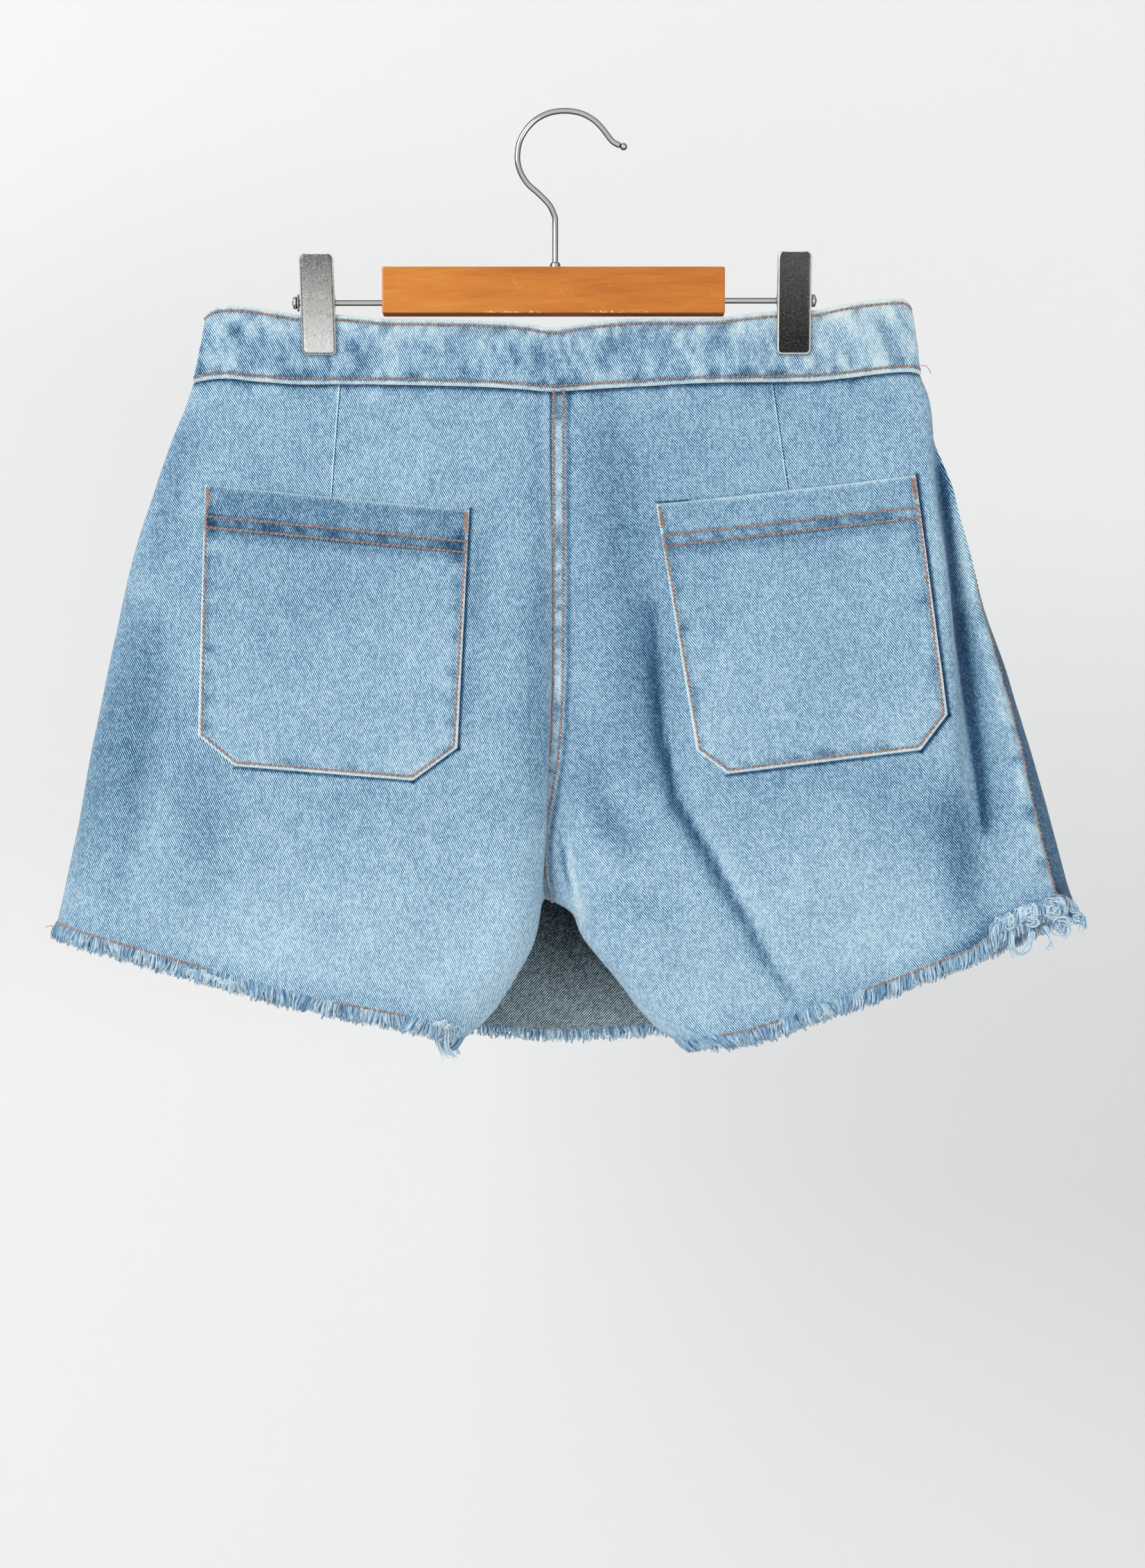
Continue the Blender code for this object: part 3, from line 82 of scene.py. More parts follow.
# Rows (height z, sideways x, depth y) of each style line, from the waist seam to the hem.
STYLE_LINES: dict[str, Rows] = {
    "left_seam": (
        (-138.6, -178.6, 3.2), (-170, -190.5, 4.2), (-210, -203.3, 4.6),
        (-260, -216, 5), (-320, -229, 5), (-380, -240, 4.6),
        (-421, -248, 4.2)),
    "left_edge": (
        (-138.8, -187.4, 0), (-150, -191.2, -0.6), (-170, -199.1, -1.5),
        (-195, -207.5, -2.2), (-230, -218.4, -3), (-270, -227, -3.8),
        (-320, -237.6, -4.5), (-370, -246.8, -5), (-417.6, -257.2, -5)),
    "left_shoulder": (
        (-138, -180.6, -3), (-150, -182.4, -4.6), (-170, -188.5, -6.6),
        (-195, -196, -8.6), (-230, -206.5, -11), (-270, -215, -13.2),
        (-320, -225.5, -15.6), (-370, -235, -17.2), (-420.8, -246, -18)),
    "left_outer": (
        (-139.4, -142, -2.4), (-170, -152, -7.5), (-210, -161, -12),
        (-260, -169, -16), (-320, -176, -19.5), (-380, -181, -22.5),
        (-438.2, -185.5, -24)),
    "left_middle": (
        (-139.6, -97, -3), (-170, -102, -7.5), (-210, -107, -12),
        (-260, -112, -16), (-320, -116, -20), (-380, -119.5, -23.5),
        (-455, -123.5, -26)),
    "left_inner": (
        (-141.2, -50, -5.2), (-170, -54, -8), (-210, -58, -11.5),
        (-260, -61, -15.5), (-320, -64, -19.5), (-380, -69, -23.5),
        (-463.6, -79, -27)),
    "left_crest": (
        (-143, -16, -5.8), (-170, -16.5, -8.2), (-210, -15.5, -11.5),
        (-260, -14.5, -15), (-320, -15, -18.5), (-360, -16, -21),
        (-400, -19.5, -23), (-435, -29, -24), (-468.6, -61, -25.5)),
    "left_fold": (
        (-143.5, -8.5, -5.8), (-170, -7.5, -7.6), (-210, -5, -9.2),
        (-260, -5, -10.8), (-312, -6, -12.2), (-345, -6.4, -13),
        (-367, -6.8, -13.5), (-385, -8.2, -13.5), (-401, -10, -13),
        (-418, -11.6, -12.5), (-430, -15.2, -12), (-444, -22.9, -12),
        (-457, -30.7, -12), (-467, -39.3, -12), (-475.6, -50.2, -12)),
    "centre_back": (
        (-143.7, -3.9, -5.8), (-170, -3.9, -7.2), (-210, -3.7, -7.6),
        (-260, -3.5, -7.6), (-300, -3.8, -7), (-326, -5.2, -6),
        (-345, -7.8, -5), (-362, -10.4, -3.8), (-378, -11.2, -2.4),
        (-392, -10, -0.2), (-404, -7.5, 4)),
    "left_inseam": (
        (-404, -7.5, 4), (-409, -10.5, 4.6), (-420, -15, 4.6),
        (-432, -20.5, 4.4), (-446, -29.5, 4.2), (-460, -39.5, 4),
        (-476.5, -55, 3.5)),
    "right_inseam": (
        (-404, -7.5, 4), (-405.4, -1, 5.2), (-406.6, 6, 5.6),
        (-412, 13.5, 5.4), (-422, 17, 4.8), (-434, 25, 4.4),
        (-448, 37, 4.2), (-460, 47, 4), (-477, 66, 3.5)),
    "right_fold": (
        (-143.6, 3.5, -5.8), (-170, 4, -7.6), (-210, 4.5, -8.4),
        (-260, 4.5, -9.2), (-300, 3.5, -9), (-335, 2, -8),
        (-358, 1.5, -8.5), (-373.6, 1.8, -10.5), (-382, 4.1, -12),
        (-394.6, 5.6, -13), (-404, 9.2, -13.5), (-415, 13.2, -13),
        (-421.8, 12.6, -12.5), (-433, 20.6, -12.5), (-446, 31.6, -12.5),
        (-457.5, 39.8, -12.5), (-468, 49.4, -12.5), (-477, 61.5, -12.5)),
    "right_crest": (
        (-143, 12, -5.7), (-170, 13, -8), (-210, 14, -9.8),
        (-260, 15, -11), (-300, 16, -11.5), (-335, 15, -12.5),
        (-360, 13, -15.5), (-380, 14, -18.5), (-400, 19, -20.5),
        (-420, 24, -22), (-440, 36, -23), (-475, 73, -25)),
    "right_inner": (
        (-141.8, 40, -5.2), (-170, 44, -8.2), (-210, 48, -11.5),
        (-260, 52, -14.5), (-320, 57, -17.5), (-380, 66, -22),
        (-420, 77, -24.5), (-470.8, 97, -26.5)),
    "right_middle": (
        (-139.3, 92, -2.9), (-170, 96, -7.5), (-210, 100, -12),
        (-260, 105, -16), (-320, 112, -20), (-380, 122, -24),
        (-456, 140.5, -26.5)),
    "right_outer": (
        (-138, 140, -2.3), (-170, 145, -8), (-210, 149, -12.5),
        (-260, 153, -16.5), (-320, 159, -20.5), (-380, 166, -23.5),
        (-445, 171.5, -25.5)),
    "right_ridge": (
        (-134.4, 177.5, -2.6), (-147, 184, -5.5), (-165, 188.3, -9.5),
        (-192, 191, -13), (-223, 195, -16), (-254, 198.2, -18.5),
        (-302, 201, -21), (-350, 202, -23), (-400, 201.5, -24.5),
        (-433.4, 201, -25.5)),
    "right_lip": (
        (-135, 182.4, -1.2), (-147, 188.6, -2.6), (-165, 191.2, -5.5),
        (-192, 193.4, -9), (-223, 198.2, -11.5), (-254, 201.2, -13.5),
        (-302, 203.8, -16.5), (-350, 206.5, -21), (-400, 208.5, -23.8),
        (-430.6, 208.6, -25)),
    "right_valley": (
        (-135.8, 184.6, 0.2), (-147, 189.6, 0.2), (-165, 191.8, -2),
        (-192, 195.5, -4), (-223, 201, -5.5), (-254, 205.5, -7.5),
        (-302, 213, -11.5), (-350, 221, -17), (-390, 226, -21.5),
        (-418, 228, -24)),
    "right_ridge_two": (
        (-136.5, 185.3, 1.8), (-150, 189.7, 1.5), (-165, 191.6, 0),
        (-181, 197.4, -2), (-192, 201.6, -3.2), (-206, 204.8, -4.6),
        (-227, 210.2, -6.8), (-254, 214.6, -10), (-302, 226.6, -15),
        (-350, 237.2, -19), (-385, 244.6, -20.5), (-407, 248.6, -21)),
    "right_seam": (
        (-137.2, 183.6, 3.6), (-150, 188, 3.4), (-165, 190.5, 2.6),
        (-181, 196.4, 1.6), (-192, 200.7, 0.8), (-206, 204.4, -0.6),
        (-227, 210.4, -2.4), (-254, 216.6, -5.6), (-293, 227.4, -10.5),
        (-325, 235.7, -14), (-353, 241.4, -16), (-385, 249.2, -17.6),
        (-403, 254.4, -18)),
    "skirt_right_edge": (
        (-137.6, 180.8, 4.4), (-150, 185.6, 5), (-165, 189, 4.8),
        (-192, 200.2, 3.8), (-227, 210.8, 1.6), (-256, 218.2, -1),
        (-285, 228.4, -3.5), (-313, 236.8, -5), (-342, 245.6, -6),
        (-370, 253, -6.5), (-399, 260.8, -7), (-409, 264.6, -7)),
    "skirt_right_turn": (
        (-138, 171, 4.6), (-165, 180, 7.2), (-192, 190, 8.2),
        (-227, 200.5, 8.2), (-256, 208.5, 7.8), (-300, 223, 7.4),
        (-350, 238.5, 7.6), (-415, 257, 8)),
    "skirt_right": (
        (-138, 140, 3.3), (-170, 147, 8.5), (-210, 153, 11.5),
        (-260, 160, 14), (-320, 168, 16), (-380, 176, 17.5),
        (-444, 186, 19)),
    "skirt_right_middle": (
        (-139.6, 75, 4.8), (-170, 78, 9), (-210, 81, 12.5),
        (-260, 84, 15), (-320, 88, 17), (-380, 92, 19),
        (-465, 98, 21)),
    "skirt_centre": (
        (-143.4, -2.5, 6.5), (-170, -2.5, 9.2), (-210, -2.5, 12.2),
        (-260, -2.5, 14.8), (-320, -2.5, 17.4), (-380, -2.5, 19.8),
        (-474.6, -2.5, 22.8)),
    "skirt_left_middle": (
        (-140.6, -80, 4.8), (-170, -83, 9), (-210, -86, 12.5),
        (-260, -90, 15), (-320, -94, 17), (-380, -98, 19),
        (-461, -104, 21)),
    "skirt_left": (
        (-139.4, -140, 3.3), (-170, -150, 8.5), (-210, -158, 11.5),
        (-260, -167, 13.5), (-320, -176, 15.5), (-380, -184, 17),
        (-439.5, -192, 18.5)),
    "skirt_left_turn": (
        (-138.2, -168.5, 4.7), (-170, -179, 7.8), (-210, -191, 9.4),
        (-260, -203, 10), (-320, -215, 10.4), (-380, -226, 10.4),
        (-425.5, -234, 10.4)),
    "front_left_seam": (
        (-138.6, -177.6, 1.4), (-170, -189.3, 2.3), (-210, -202, 2.7),
        (-260, -214.7, 3.1), (-320, -227.7, 3.1), (-380, -238.6, 2.7),
        (-421, -246.6, 2.3)),
    "front_left_turn": (
        (-138.2, -167.5, 2.8), (-170, -177, 5.2), (-210, -188, 6.2),
        (-260, -199, 6.4), (-320, -210, 6.2), (-380, -220, 5.8),
        (-426.5, -228, 5.4)),
    "front_left": (
        (-139.4, -140, 1.5), (-170, -148, 5.8), (-210, -154, 7.8),
        (-260, -160, 9), (-320, -165, 9.8), (-380, -169, 10.2),
        (-439, -173, 10.2)),
    "front_left_middle": (
        (-140.6, -80, 3), (-170, -82, 6.2), (-210, -84, 8.8),
        (-260, -86, 10.2), (-320, -88, 11), (-380, -92, 11.7),
        (-456, -100, 12.2)),
    "front_left_inner": (
        (-143, -25, 4.6), (-170, -25, 6.7), (-210, -24, 9),
        (-260, -24, 10.4), (-320, -25, 11.2), (-360, -27, 11.8),
        (-400, -33, 12.2), (-435, -44, 12.2), (-468.5, -72, 12.2)),
    "front_left_crest": (
        (-143.3, -12, 4.7), (-210, -12, 9), (-310, -12.5, 11),
        (-360, -14.5, 11.4), (-390, -17, 11.2), (-405, -19.5, 11),
        (-420, -24, 10.8), (-440, -34, 10.6), (-460, -49, 10.4),
        (-473, -63, 10.2)),
    "centre_front": (
        (-143.5, -2.5, 4.7), (-170, -2.5, 6.7), (-210, -2.5, 8.8),
        (-260, -2.5, 10.2), (-310, -3, 10.8), (-350, -4.5, 10.6),
        (-380, -6, 9.8), (-396, -7, 7.8), (-404, -7.5, 4)),
    "front_right_crest": (
        (-143.3, 7, 4.7), (-210, 7, 9), (-310, 7, 11),
        (-360, 8, 11.4), (-390, 11.5, 11.2), (-405, 18, 11.2),
        (-420, 25, 11), (-440, 40, 10.8), (-460, 57, 10.4),
        (-474, 74, 10.2)),
    "front_right_inner": (
        (-142.6, 20, 4.6), (-170, 20, 6.7), (-210, 20, 9),
        (-260, 21, 10.4), (-320, 23, 11.2), (-360, 26, 11.8),
        (-400, 34, 12.2), (-435, 49, 12.2), (-470, 82, 12.2)),
    "front_right_middle": (
        (-139.6, 75, 3), (-170, 77, 6.2), (-210, 79, 8.8),
        (-260, 81, 10.2), (-320, 84, 11), (-380, 89, 11.7),
        (-458, 106, 12.2)),
    "front_right": (
        (-138, 140, 1.5), (-170, 146, 5.8), (-210, 150, 7.8),
        (-260, 155, 9), (-320, 161, 9.6), (-380, 167, 10.2),
        (-444, 176, 10.2)),
    "front_right_turn": (
        (-138, 169.5, 2.7), (-165, 177.5, 4.8), (-192, 186.5, 5.4),
        (-227, 195.5, 5), (-256, 202, 4.4), (-300, 214, 3.4),
        (-350, 227, 2.6), (-420, 243, 2)),
    "front_right_seam": (
        (-137.4, 181, 2.2), (-150, 185.4, 2.4), (-165, 188.2, 2),
        (-181, 193.6, 1.4), (-192, 197.8, 1), (-206, 201.8, 0.4),
        (-227, 208, -0.8), (-254, 214.6, -3.4), (-293, 225.4, -8),
        (-325, 233.8, -11.4), (-353, 239.8, -13.4), (-385, 247.6, -15.2),
        (-403, 252.8, -15.8)),
}

# Stations of the waistband: x and z at its top edge, x and z at its lower edge, depth.
BACK_BAND: tuple[tuple[float, ...], ...] = (
    (-171, -100.6, -178, -137.4, 2.9), (-177.5, -101.4, -184.4, -138.2, 2.3),
    (-180.5, -103.2, -187.3, -138.8, 0), (-177, -100.4, -184, -138, -2.3),
    (-168.5, -99.2, -171, -136.8, -3.1), (-155, -100.4, -155, -138.4, -3),
    (-134, -103.6, -134, -139.6, -1.7), (-123, -103.6, -123, -139.6, -1.5),
    (-112, -103.8, -112, -139.6, -1.7), (-90, -106, -90, -140, -3.6),
    (-65, -106.6, -65, -140.6, -4.8), (-36, -107.5, -36, -141.6, -5.6),
    (-17, -109, -17, -142.9, -5.9), (-3.2, -111, -4, -143.9, -5.9),
    (9, -109.4, 9, -143.2, -5.9), (24, -107.4, 24, -142.2, -5.6),
    (44, -106, 44, -141, -5), (66, -106, 66, -139.6, -4.4),
    (83, -105.4, 84, -138.9, -3.4), (97, -103.4, 97, -138.6, -2.4),
    (111, -102, 111, -138.4, -1.7), (121, -101.8, 121, -138.2, -1.5),
    (131, -101.6, 131, -138, -1.7), (146, -98.6, 146, -136.8, -2.8),
    (159, -96.6, 160.5, -135, -3.1), (172, -95.4, 174.5, -133.6, -2.8),
    (177.6, -95.6, 183, -133.6, -1.6), (180.2, -98, 185.6, -134.6, 0.6),
    (178.6, -97.2, 183.6, -135.4, 2.9), (173, -96.6, 178, -135.8, 3.3))
FRONT_BAND: tuple[tuple[float, ...], ...] = (
    (173, -96.6, 178, -135.8, 3.3), (160, -97.8, 162, -136.4, 3.2),
    (146, -99.6, 146, -137.2, 2.8), (131, -102.2, 131, -138, 1.7),
    (121, -102.6, 121, -138.2, 1.5), (111, -103, 111, -138.4, 1.7),
    (84, -106.6, 84, -139.2, 3.4), (44, -108.4, 44, -141.2, 4.9),
    (-3, -112.4, -3, -143.6, 5.5), (-50, -109.4, -50, -141.4, 4.9),
    (-90, -106.8, -90, -140.2, 3.5), (-112, -104.6, -112, -139.6, 1.7),
    (-123, -104.4, -123, -139.6, 1.5), (-134, -104.2, -134, -139.6, 1.7),
    (-152, -101.8, -153, -138.6, 2.9), (-171, -100.6, -178, -137.4, 2.9))
# The hook's middle line (x, z) from its socket to its ball tip.
HOOK_PATH: Path = (
    (-1.8, -93.1), (-1.8, -76), (-1.8, -60), (-1.8, -53.4), (-4.6, -47.2), (-10.2, -41.2),
    (-16, -35.9), (-19.4, -30.6), (-21.1, -25), (-21.2, -20), (-20, -13.9),
    (-16.8, -8.1), (-12.1, -3.2), (-6.1, 0.1), (0, 1.5), (6.1, 1.5), (12.3, 0.1),
    (17.8, -2.9), (21.4, -6.2), (24.6, -10.2), (27.6, -14), (30.6, -15.8), (33.4, -16.8))

# Lengths are in mm.
ROWS = 169                 # rows of a fine panel; the crotch falls on row 126
CROTCH_SHARE = 0.75        # and at this share of its rows
# How strongly a panel's first rows (shares of its height) are drawn to the waistband.
TOP_EASE = ((0.0, 0.05, 0.11, 0.17), (1.0, 0.45, 0.12, 0.0))
SEAM_GAP = 0.1             # clear distance of two sewn pieces
BAND_DROP = 0.36           # a panel's top edge lies this far below the waistband
CLOTH_FACE = 0.75          # from a panel's middle surface to its right side
CLOTH_BACK = 0.45          # and to its wrong side
BAND_FACE = 1.4            # from the waistband's middle surface to its right side
BAND_BACK = 1.0            # and to its wrong side
SKIRT_OVER_BAND = 0.95     # the skirt lies this far out from the band's middle surface
FRONT_UNDER_SKIRT = 1.86   # and the shorts' fronts this far in from the skirt
SIDE_SEAM_EASE = 14.0      # both reach that place at this distance from the side seams
BAND_ROWS = (2.8, 2.9)     # the band's stitches, from its top and its lower edge
POCKET_ROWS = (16.4, 22.0)  # the stitches of a pocket's hem, from its top edge
POCKET_HEM = 22.6          # width of that hem
HEM_INSET = 1.0            # the stitches along a raw edge, from the edge
FELL = 7.0                 # width of the felled centre back seam
FELL_MIDDLE = 3.8          # the middle between its stitches, from the seam
FELL_ROWS = (1.4, 6.3)     # its stitches, from the seam
SIDE_ROW = 1.1             # the stitches beside the right side seam, from the seam
CLIP_PLACES = (-123.0, 121.0)  # x of the clips
FAR_BACK = -120.0          # y that rays towards the cloth start from
# Heights of the garment's parts, z.
HIP, LEG, ABOVE_HEM = -225.0, -330.0, -440.0
KNOTS = 509                # random values that a chance wave repeats after
PUCKER_SEED, SIDE_SEED = 5, 8  # the puckers of the felled seam, and of the right side seam


# ---------------------------------------------------------------- numbers

def smooth(share: Array) -> Array:
    """Eases a share from 0 to 1, flat at both ends."""
    held = np.clip(share, 0.0, 1.0)
    return held * held * (3.0 - 2.0 * held)


def bell(off: Array, width: float, power: int = 2) -> Array:
    """A hump of height 1 where off is nought, that falls away over the width.

    Args:
        off: distances from its middle, mm.
        width: how far it reaches, mm.
        power: 2 for a round hump, 4 for a flat one with steeper sides.

    Returns:
        Its height at each place.
    """
    return np.exp(-(off / width) ** power)


def rough_line(places: Array, pitch: float, seed: int) -> Array:
    """Smooth chance wave between -1 and 1.

    Args:
        places: where it is read, mm.
        pitch: distance between its turns, mm.
        seed: fixed seed.

    Returns:
        One value for each place.
    """
    knots = np.random.default_rng(seed).uniform(-1.0, 1.0, KNOTS)
    at = np.asarray(places, float) / pitch + 173.0
    whole = np.floor(at).astype(int)
    share = smooth(at - whole)
    return knots[whole % KNOTS] * (1.0 - share) + knots[(whole + 1) % KNOTS] * share


def rough_sheet(x: Array, z: Array, pitch_x: float, pitch_z: float, seed: int) -> Array:
    """Smooth chance relief between -1 and 1 over a sheet.

    Args:
        x: places across, mm.
        z: places along, mm.
        pitch_x: size of its lumps across, mm.
        pitch_z: size of its lumps along, mm.
        seed: fixed seed.

    Returns:
        One value for each place.
    """
    wide, high = 127, 131
    knots = np.random.default_rng(seed).uniform(-1.0, 1.0, (wide, high))
    across, down = x / pitch_x + 64.0, z / pitch_z + 264.0
    i, j = np.floor(across).astype(int), np.floor(down).astype(int)
    u, v = smooth(across - i), smooth(down - j)
    top, low = (knots[i % wide, row % high] * (1 - u) + knots[(i + 1) % wide, row % high] * u
                for row in (j, j + 1))
    return top * (1 - v) + low * v


def lengths_of(steps: Array) -> Array:
    """Lengths of vectors along the last axis, which is kept."""
    return np.linalg.norm(steps, axis=-1, keepdims=True)


def unit(vectors: Array) -> Array:
    """Vectors of length one."""
    return vectors / np.maximum(lengths_of(vectors), 1e-9)


# ---------------------------------------------------------------- curves and lofts

def curve_point(before: Array, start: Array, end: Array, after: Array, share: Array) -> Array:
    """Points on the smooth curve from start to end.

    Args:
        before: the control point before the span.
        start: first point of the span.
        end: last point of the span.
        after: the control point after it.
        share: how far along, broadcast against the points.

    Returns:
        The points.
    """
    def knot(first: Array, second: Array) -> Array:
        """How far the curve's own measure grows between two points."""
        return np.maximum(lengths_of(second - first) ** 0.5, 1e-4)

    one = knot(before, start)
    two = one + knot(start, end)
    three = two + knot(end, after)
    at = one + (two - one) * share
    first = before + (start - before) * (at / one)
    second = start + (end - start) * share
    third = end + (after - end) * ((at - two) / (three - two))
    left = first + (second - first) * (at / two)
    right = second + (third - second) * ((at - one) / (three - one))
    return left + (right - left) * share


def along(points: Array, shares: Array) -> Array:
    """Points at shares of the length of the smooth curve through the given points."""
    sizes = np.linalg.norm(np.diff(points, axis=0), axis=1)
    ends = np.cumsum(sizes)
    wanted = shares * ends[-1]
    index = np.minimum(np.searchsorted(ends, wanted), len(sizes) - 1)
    share = np.clip((wanted - ends[index] + sizes[index]) / sizes[index], 0.0, 1.0)[:, None]
    wide = np.vstack([points[:1] * 2 - points[1:2], points, points[-1:] * 2 - points[-2:-1]])
    return curve_point(wide[index], wide[index + 1], wide[index + 2], wide[index + 3], share)


def line_points(name: str) -> Array:
    """A style line's rows as points (x, y, z)."""
    return np.array([(x, y, z) for z, x, y in STYLE_LINES[name]])


def style_line(name: str, shares: Array) -> Array:
    """Reads a style line at row shares; "rise/inseam" joins two lines at the crotch."""
    if "/" not in name:
        return along(line_points(name), shares)
    upper, lower = (line_points(part) for part in name.split("/"))
    rise = along(upper, np.minimum(shares / CROTCH_SHARE, 1.0))
    inseam = along(lower, np.clip((shares - CROTCH_SHARE) / (1.0 - CROTCH_SHARE), 0.0, 1.0))
    return np.where((shares <= CROTCH_SHARE)[:, None], rise, inseam)


def lofted(lines: Sequence[Array], cells: Sequence[int],
           before: Optional[Array] = None, after: Optional[Array] = None) -> Array:
    """A grid of points across lines.

    Args:
        lines: the lines, each one point a row.
        cells: columns between neighbouring lines.
        before: a line outside the first one that leads the curve in.
        after: a line outside the last one that leads it out.

    Returns:
        Array of rows, columns and coordinates.
    """
    lead = lines[0] * 2 - lines[1] if before is None else before
    tail = lines[-1] * 2 - lines[-2] if after is None else after
    chain = [line[:, None, :] for line in (lead, *lines, tail)]
    parts = [curve_point(*chain[span:span + 4], np.arange(count)[None, :, None] / count)
             for span, count in enumerate(cells)]
    return np.concatenate(parts + [chain[-2]], axis=1)


def grid_normals(grid: Array, outward: float) -> Array:
    """Unit normals of a grid whose middle faces +Y or -Y, as outward says."""
    rows, columns = grid.shape[:2]
    wide = np.pad(grid, ((1, 1), (1, 1), (0, 0)), mode="edge")
    normals = unit(np.cross(wide[1:-1, 2:] - wide[1:-1, :-2], wide[2:, 1:-1] - wide[:-2, 1:-1]))
    return normals * np.sign(normals[rows // 2, columns // 2, 1] * outward)


def fair_direction(facings: Array) -> Array:
    """The direction that none of the facings leans far away from."""
    shared = unit(facings.sum(axis=0))
    for _ in range(40):
        shared = unit(shared + facings[np.argmin(facings @ shared)] * 0.05)
    return shared


def edge_columns(grid: Array) -> Array:
    """Adds columns close to both side borders, so that a wall's edge can be rounded there."""
    first, last = grid[:, :1], grid[:, -1:]
    lead = [first + (grid[:, 1:2] - first) * share for share in (0.12, 0.4)]
    tail = [last + (grid[:, -2:-1] - last) * share for share in (0.4, 0.12)]
    return np.concatenate([first, *lead, grid[:, 1:-1], *tail, last], axis=1)


def edge_rows(grid: Array) -> Array:
    """Adds rows close to the first and last row."""
    return edge_columns(grid.transpose(1, 0, 2)).transpose(1, 0, 2)


def border_distances(grid: Array) -> tuple[Array, ...]:
    """Distances along the cloth to its left, right, top and lower border, mm."""
    across = np.linalg.norm(np.diff(grid, axis=1), axis=2)
    down = np.linalg.norm(np.diff(grid, axis=0), axis=2)
    left = np.pad(np.cumsum(across, axis=1), ((0, 0), (1, 0)))
    top = np.pad(np.cumsum(down, axis=0), ((1, 0), (0, 0)))
    return left, left[:, -1:] - left, top, top[-1:] - top


@dataclass(frozen=True)
class Crease:
    """A soft trough pressed into cloth along a line; a negative depth raises a ridge.

    Attributes:
        path: its line as seen from the back, (x, z) from its top, mm.
        depth: depth at its middle, mm.
        left: reach on its left side, mm.
        right: reach on its right side, mm.
        tail: how sharply it fades at its ends; 0 keeps its full depth there.
    """

    path: Path
    depth: float
    left: float
    right: float
    tail: float = 0.7

    def relief(self, x: Array, z: Array) -> Array:
        """Depth of the crease at places given in mm."""
        nearest, side, at = np.full(x.shape, 1e9), np.zeros(x.shape), np.zeros(x.shape)
        travelled = 0.0
        for (x_one, z_one), (x_two, z_two) in zip(self.path, self.path[1:]):
            run_x, run_z = x_two - x_one, z_two - z_one
            size = math.hypot(run_x, run_z)
            share = np.clip(((x - x_one) * run_x + (z - z_one) * run_z) / size ** 2, 0.0, 1.0)
            off_x, off_z = x - x_one - run_x * share, z - z_one - run_z * share
            distance = np.hypot(off_x, off_z)
            near = distance < nearest
            nearest = np.where(near, distance, nearest)
            side = np.where(near, run_x * off_z - run_z * off_x, side)
            at = np.where(near, travelled + share * size, at)
            travelled += size
        reach = np.where(side > 0.0, self.right, self.left)
        swell = np.sin(math.pi * np.clip(at / travelled, 0.0, 1.0)) ** self.tail
        return self.depth * swell * bell(nearest, reach)


def pressed(creases: Iterable[Crease], x: Array, z: Array) -> Array:
    """Depth of several creases together at places given in mm."""
    return sum((crease.relief(x, z) for crease in creases), np.zeros(x.shape))


# ---------------------------------------------------------------- meshes

def keep_marks(mesh: Mesh, marks: dict[str, object]) -> None:
    """Keeps one number for each point of a mesh under each name."""
    for label, values in marks.items():
        layer = mesh.attributes.new(label, "FLOAT", "POINT")
        layer.data.foreach_set("value", np.array(values, np.float32).ravel())


def wall_mesh(name: str, grid: Array, normals: Array, face: Array,
              back: Array, weave: Array, marks: dict[str, Array]) -> Mesh:
    """A closed wall of cloth about a grid, in metres.

    Args:
        name: name of the mesh.
        grid: points of its middle surface, mm.
        normals: unit normals towards the right side.
        face: distance to the right side at each point, mm.
        back: distance to the wrong side at each point, mm.
        weave: two coordinates in the cloth at each point, mm.
        marks: further values at each point of both sides, or of each side, kept as attributes.

    Returns:
        The mesh: material 0 on its right side and rim, 1 on its wrong side.
    """
    rows, columns = grid.shape[:2]
    points = np.concatenate([(grid + normals * face[..., None]).reshape(-1, 3),
                             (grid - normals * back[..., None]).reshape(-1, 3)]) * MM
    index = np.arange(rows * columns).reshape(rows, columns)
    quads = np.stack([index[:-1, :-1], index[:-1, 1:], index[1:, 1:], index[1:, :-1]], axis=-1)
    quads = quads.reshape(-1, 4)
    rim = np.concatenate([index[0], index[1:, -1], index[-1, -2::-1], index[-2:0:-1, 0]])
    turned = np.roll(rim, -1)
    edge = np.stack([turned, rim, rim + rows * columns, turned + rows * columns], axis=-1)
    first = points[quads[:, 1]] - points[quads[:, 0]]
    second = points[quads[:, 3]] - points[quads[:, 0]]
    facing = np.einsum("ij,ij->", np.cross(first, second), normals.reshape(-1, 3)[quads[:, 0]])
    faces = np.concatenate([quads, quads[:, ::-1] + rows * columns, edge])
    if facing < 0.0:
        faces = faces[:, ::-1]
    mesh = bpy.data.meshes.new(name)
    mesh.from_pydata(points.tolist(), [], faces.tolist())
    slots = np.zeros(len(faces), np.int32)
    slots[len(quads):2 * len(quads)] = 1
    mesh.polygons.foreach_set("material_index", slots)
    corners = np.zeros(len(mesh.loops), np.int32)
    mesh.loops.foreach_get("vertex_index", corners)
    flat = np.concatenate([weave.reshape(-1, 2)] * 2)[corners] * MM
    mesh.uv_layers.new(name="weave").data.foreach_set("uv", flat.ravel().astype(np.float32))
    keep_marks(mesh, {label: values if values.ndim == 3 else np.stack([values, values])
                      for label, values in marks.items()})
    mesh.shade_smooth()
    mesh.set_sharp_from_angle(angle=math.radians(55.0))
    return mesh


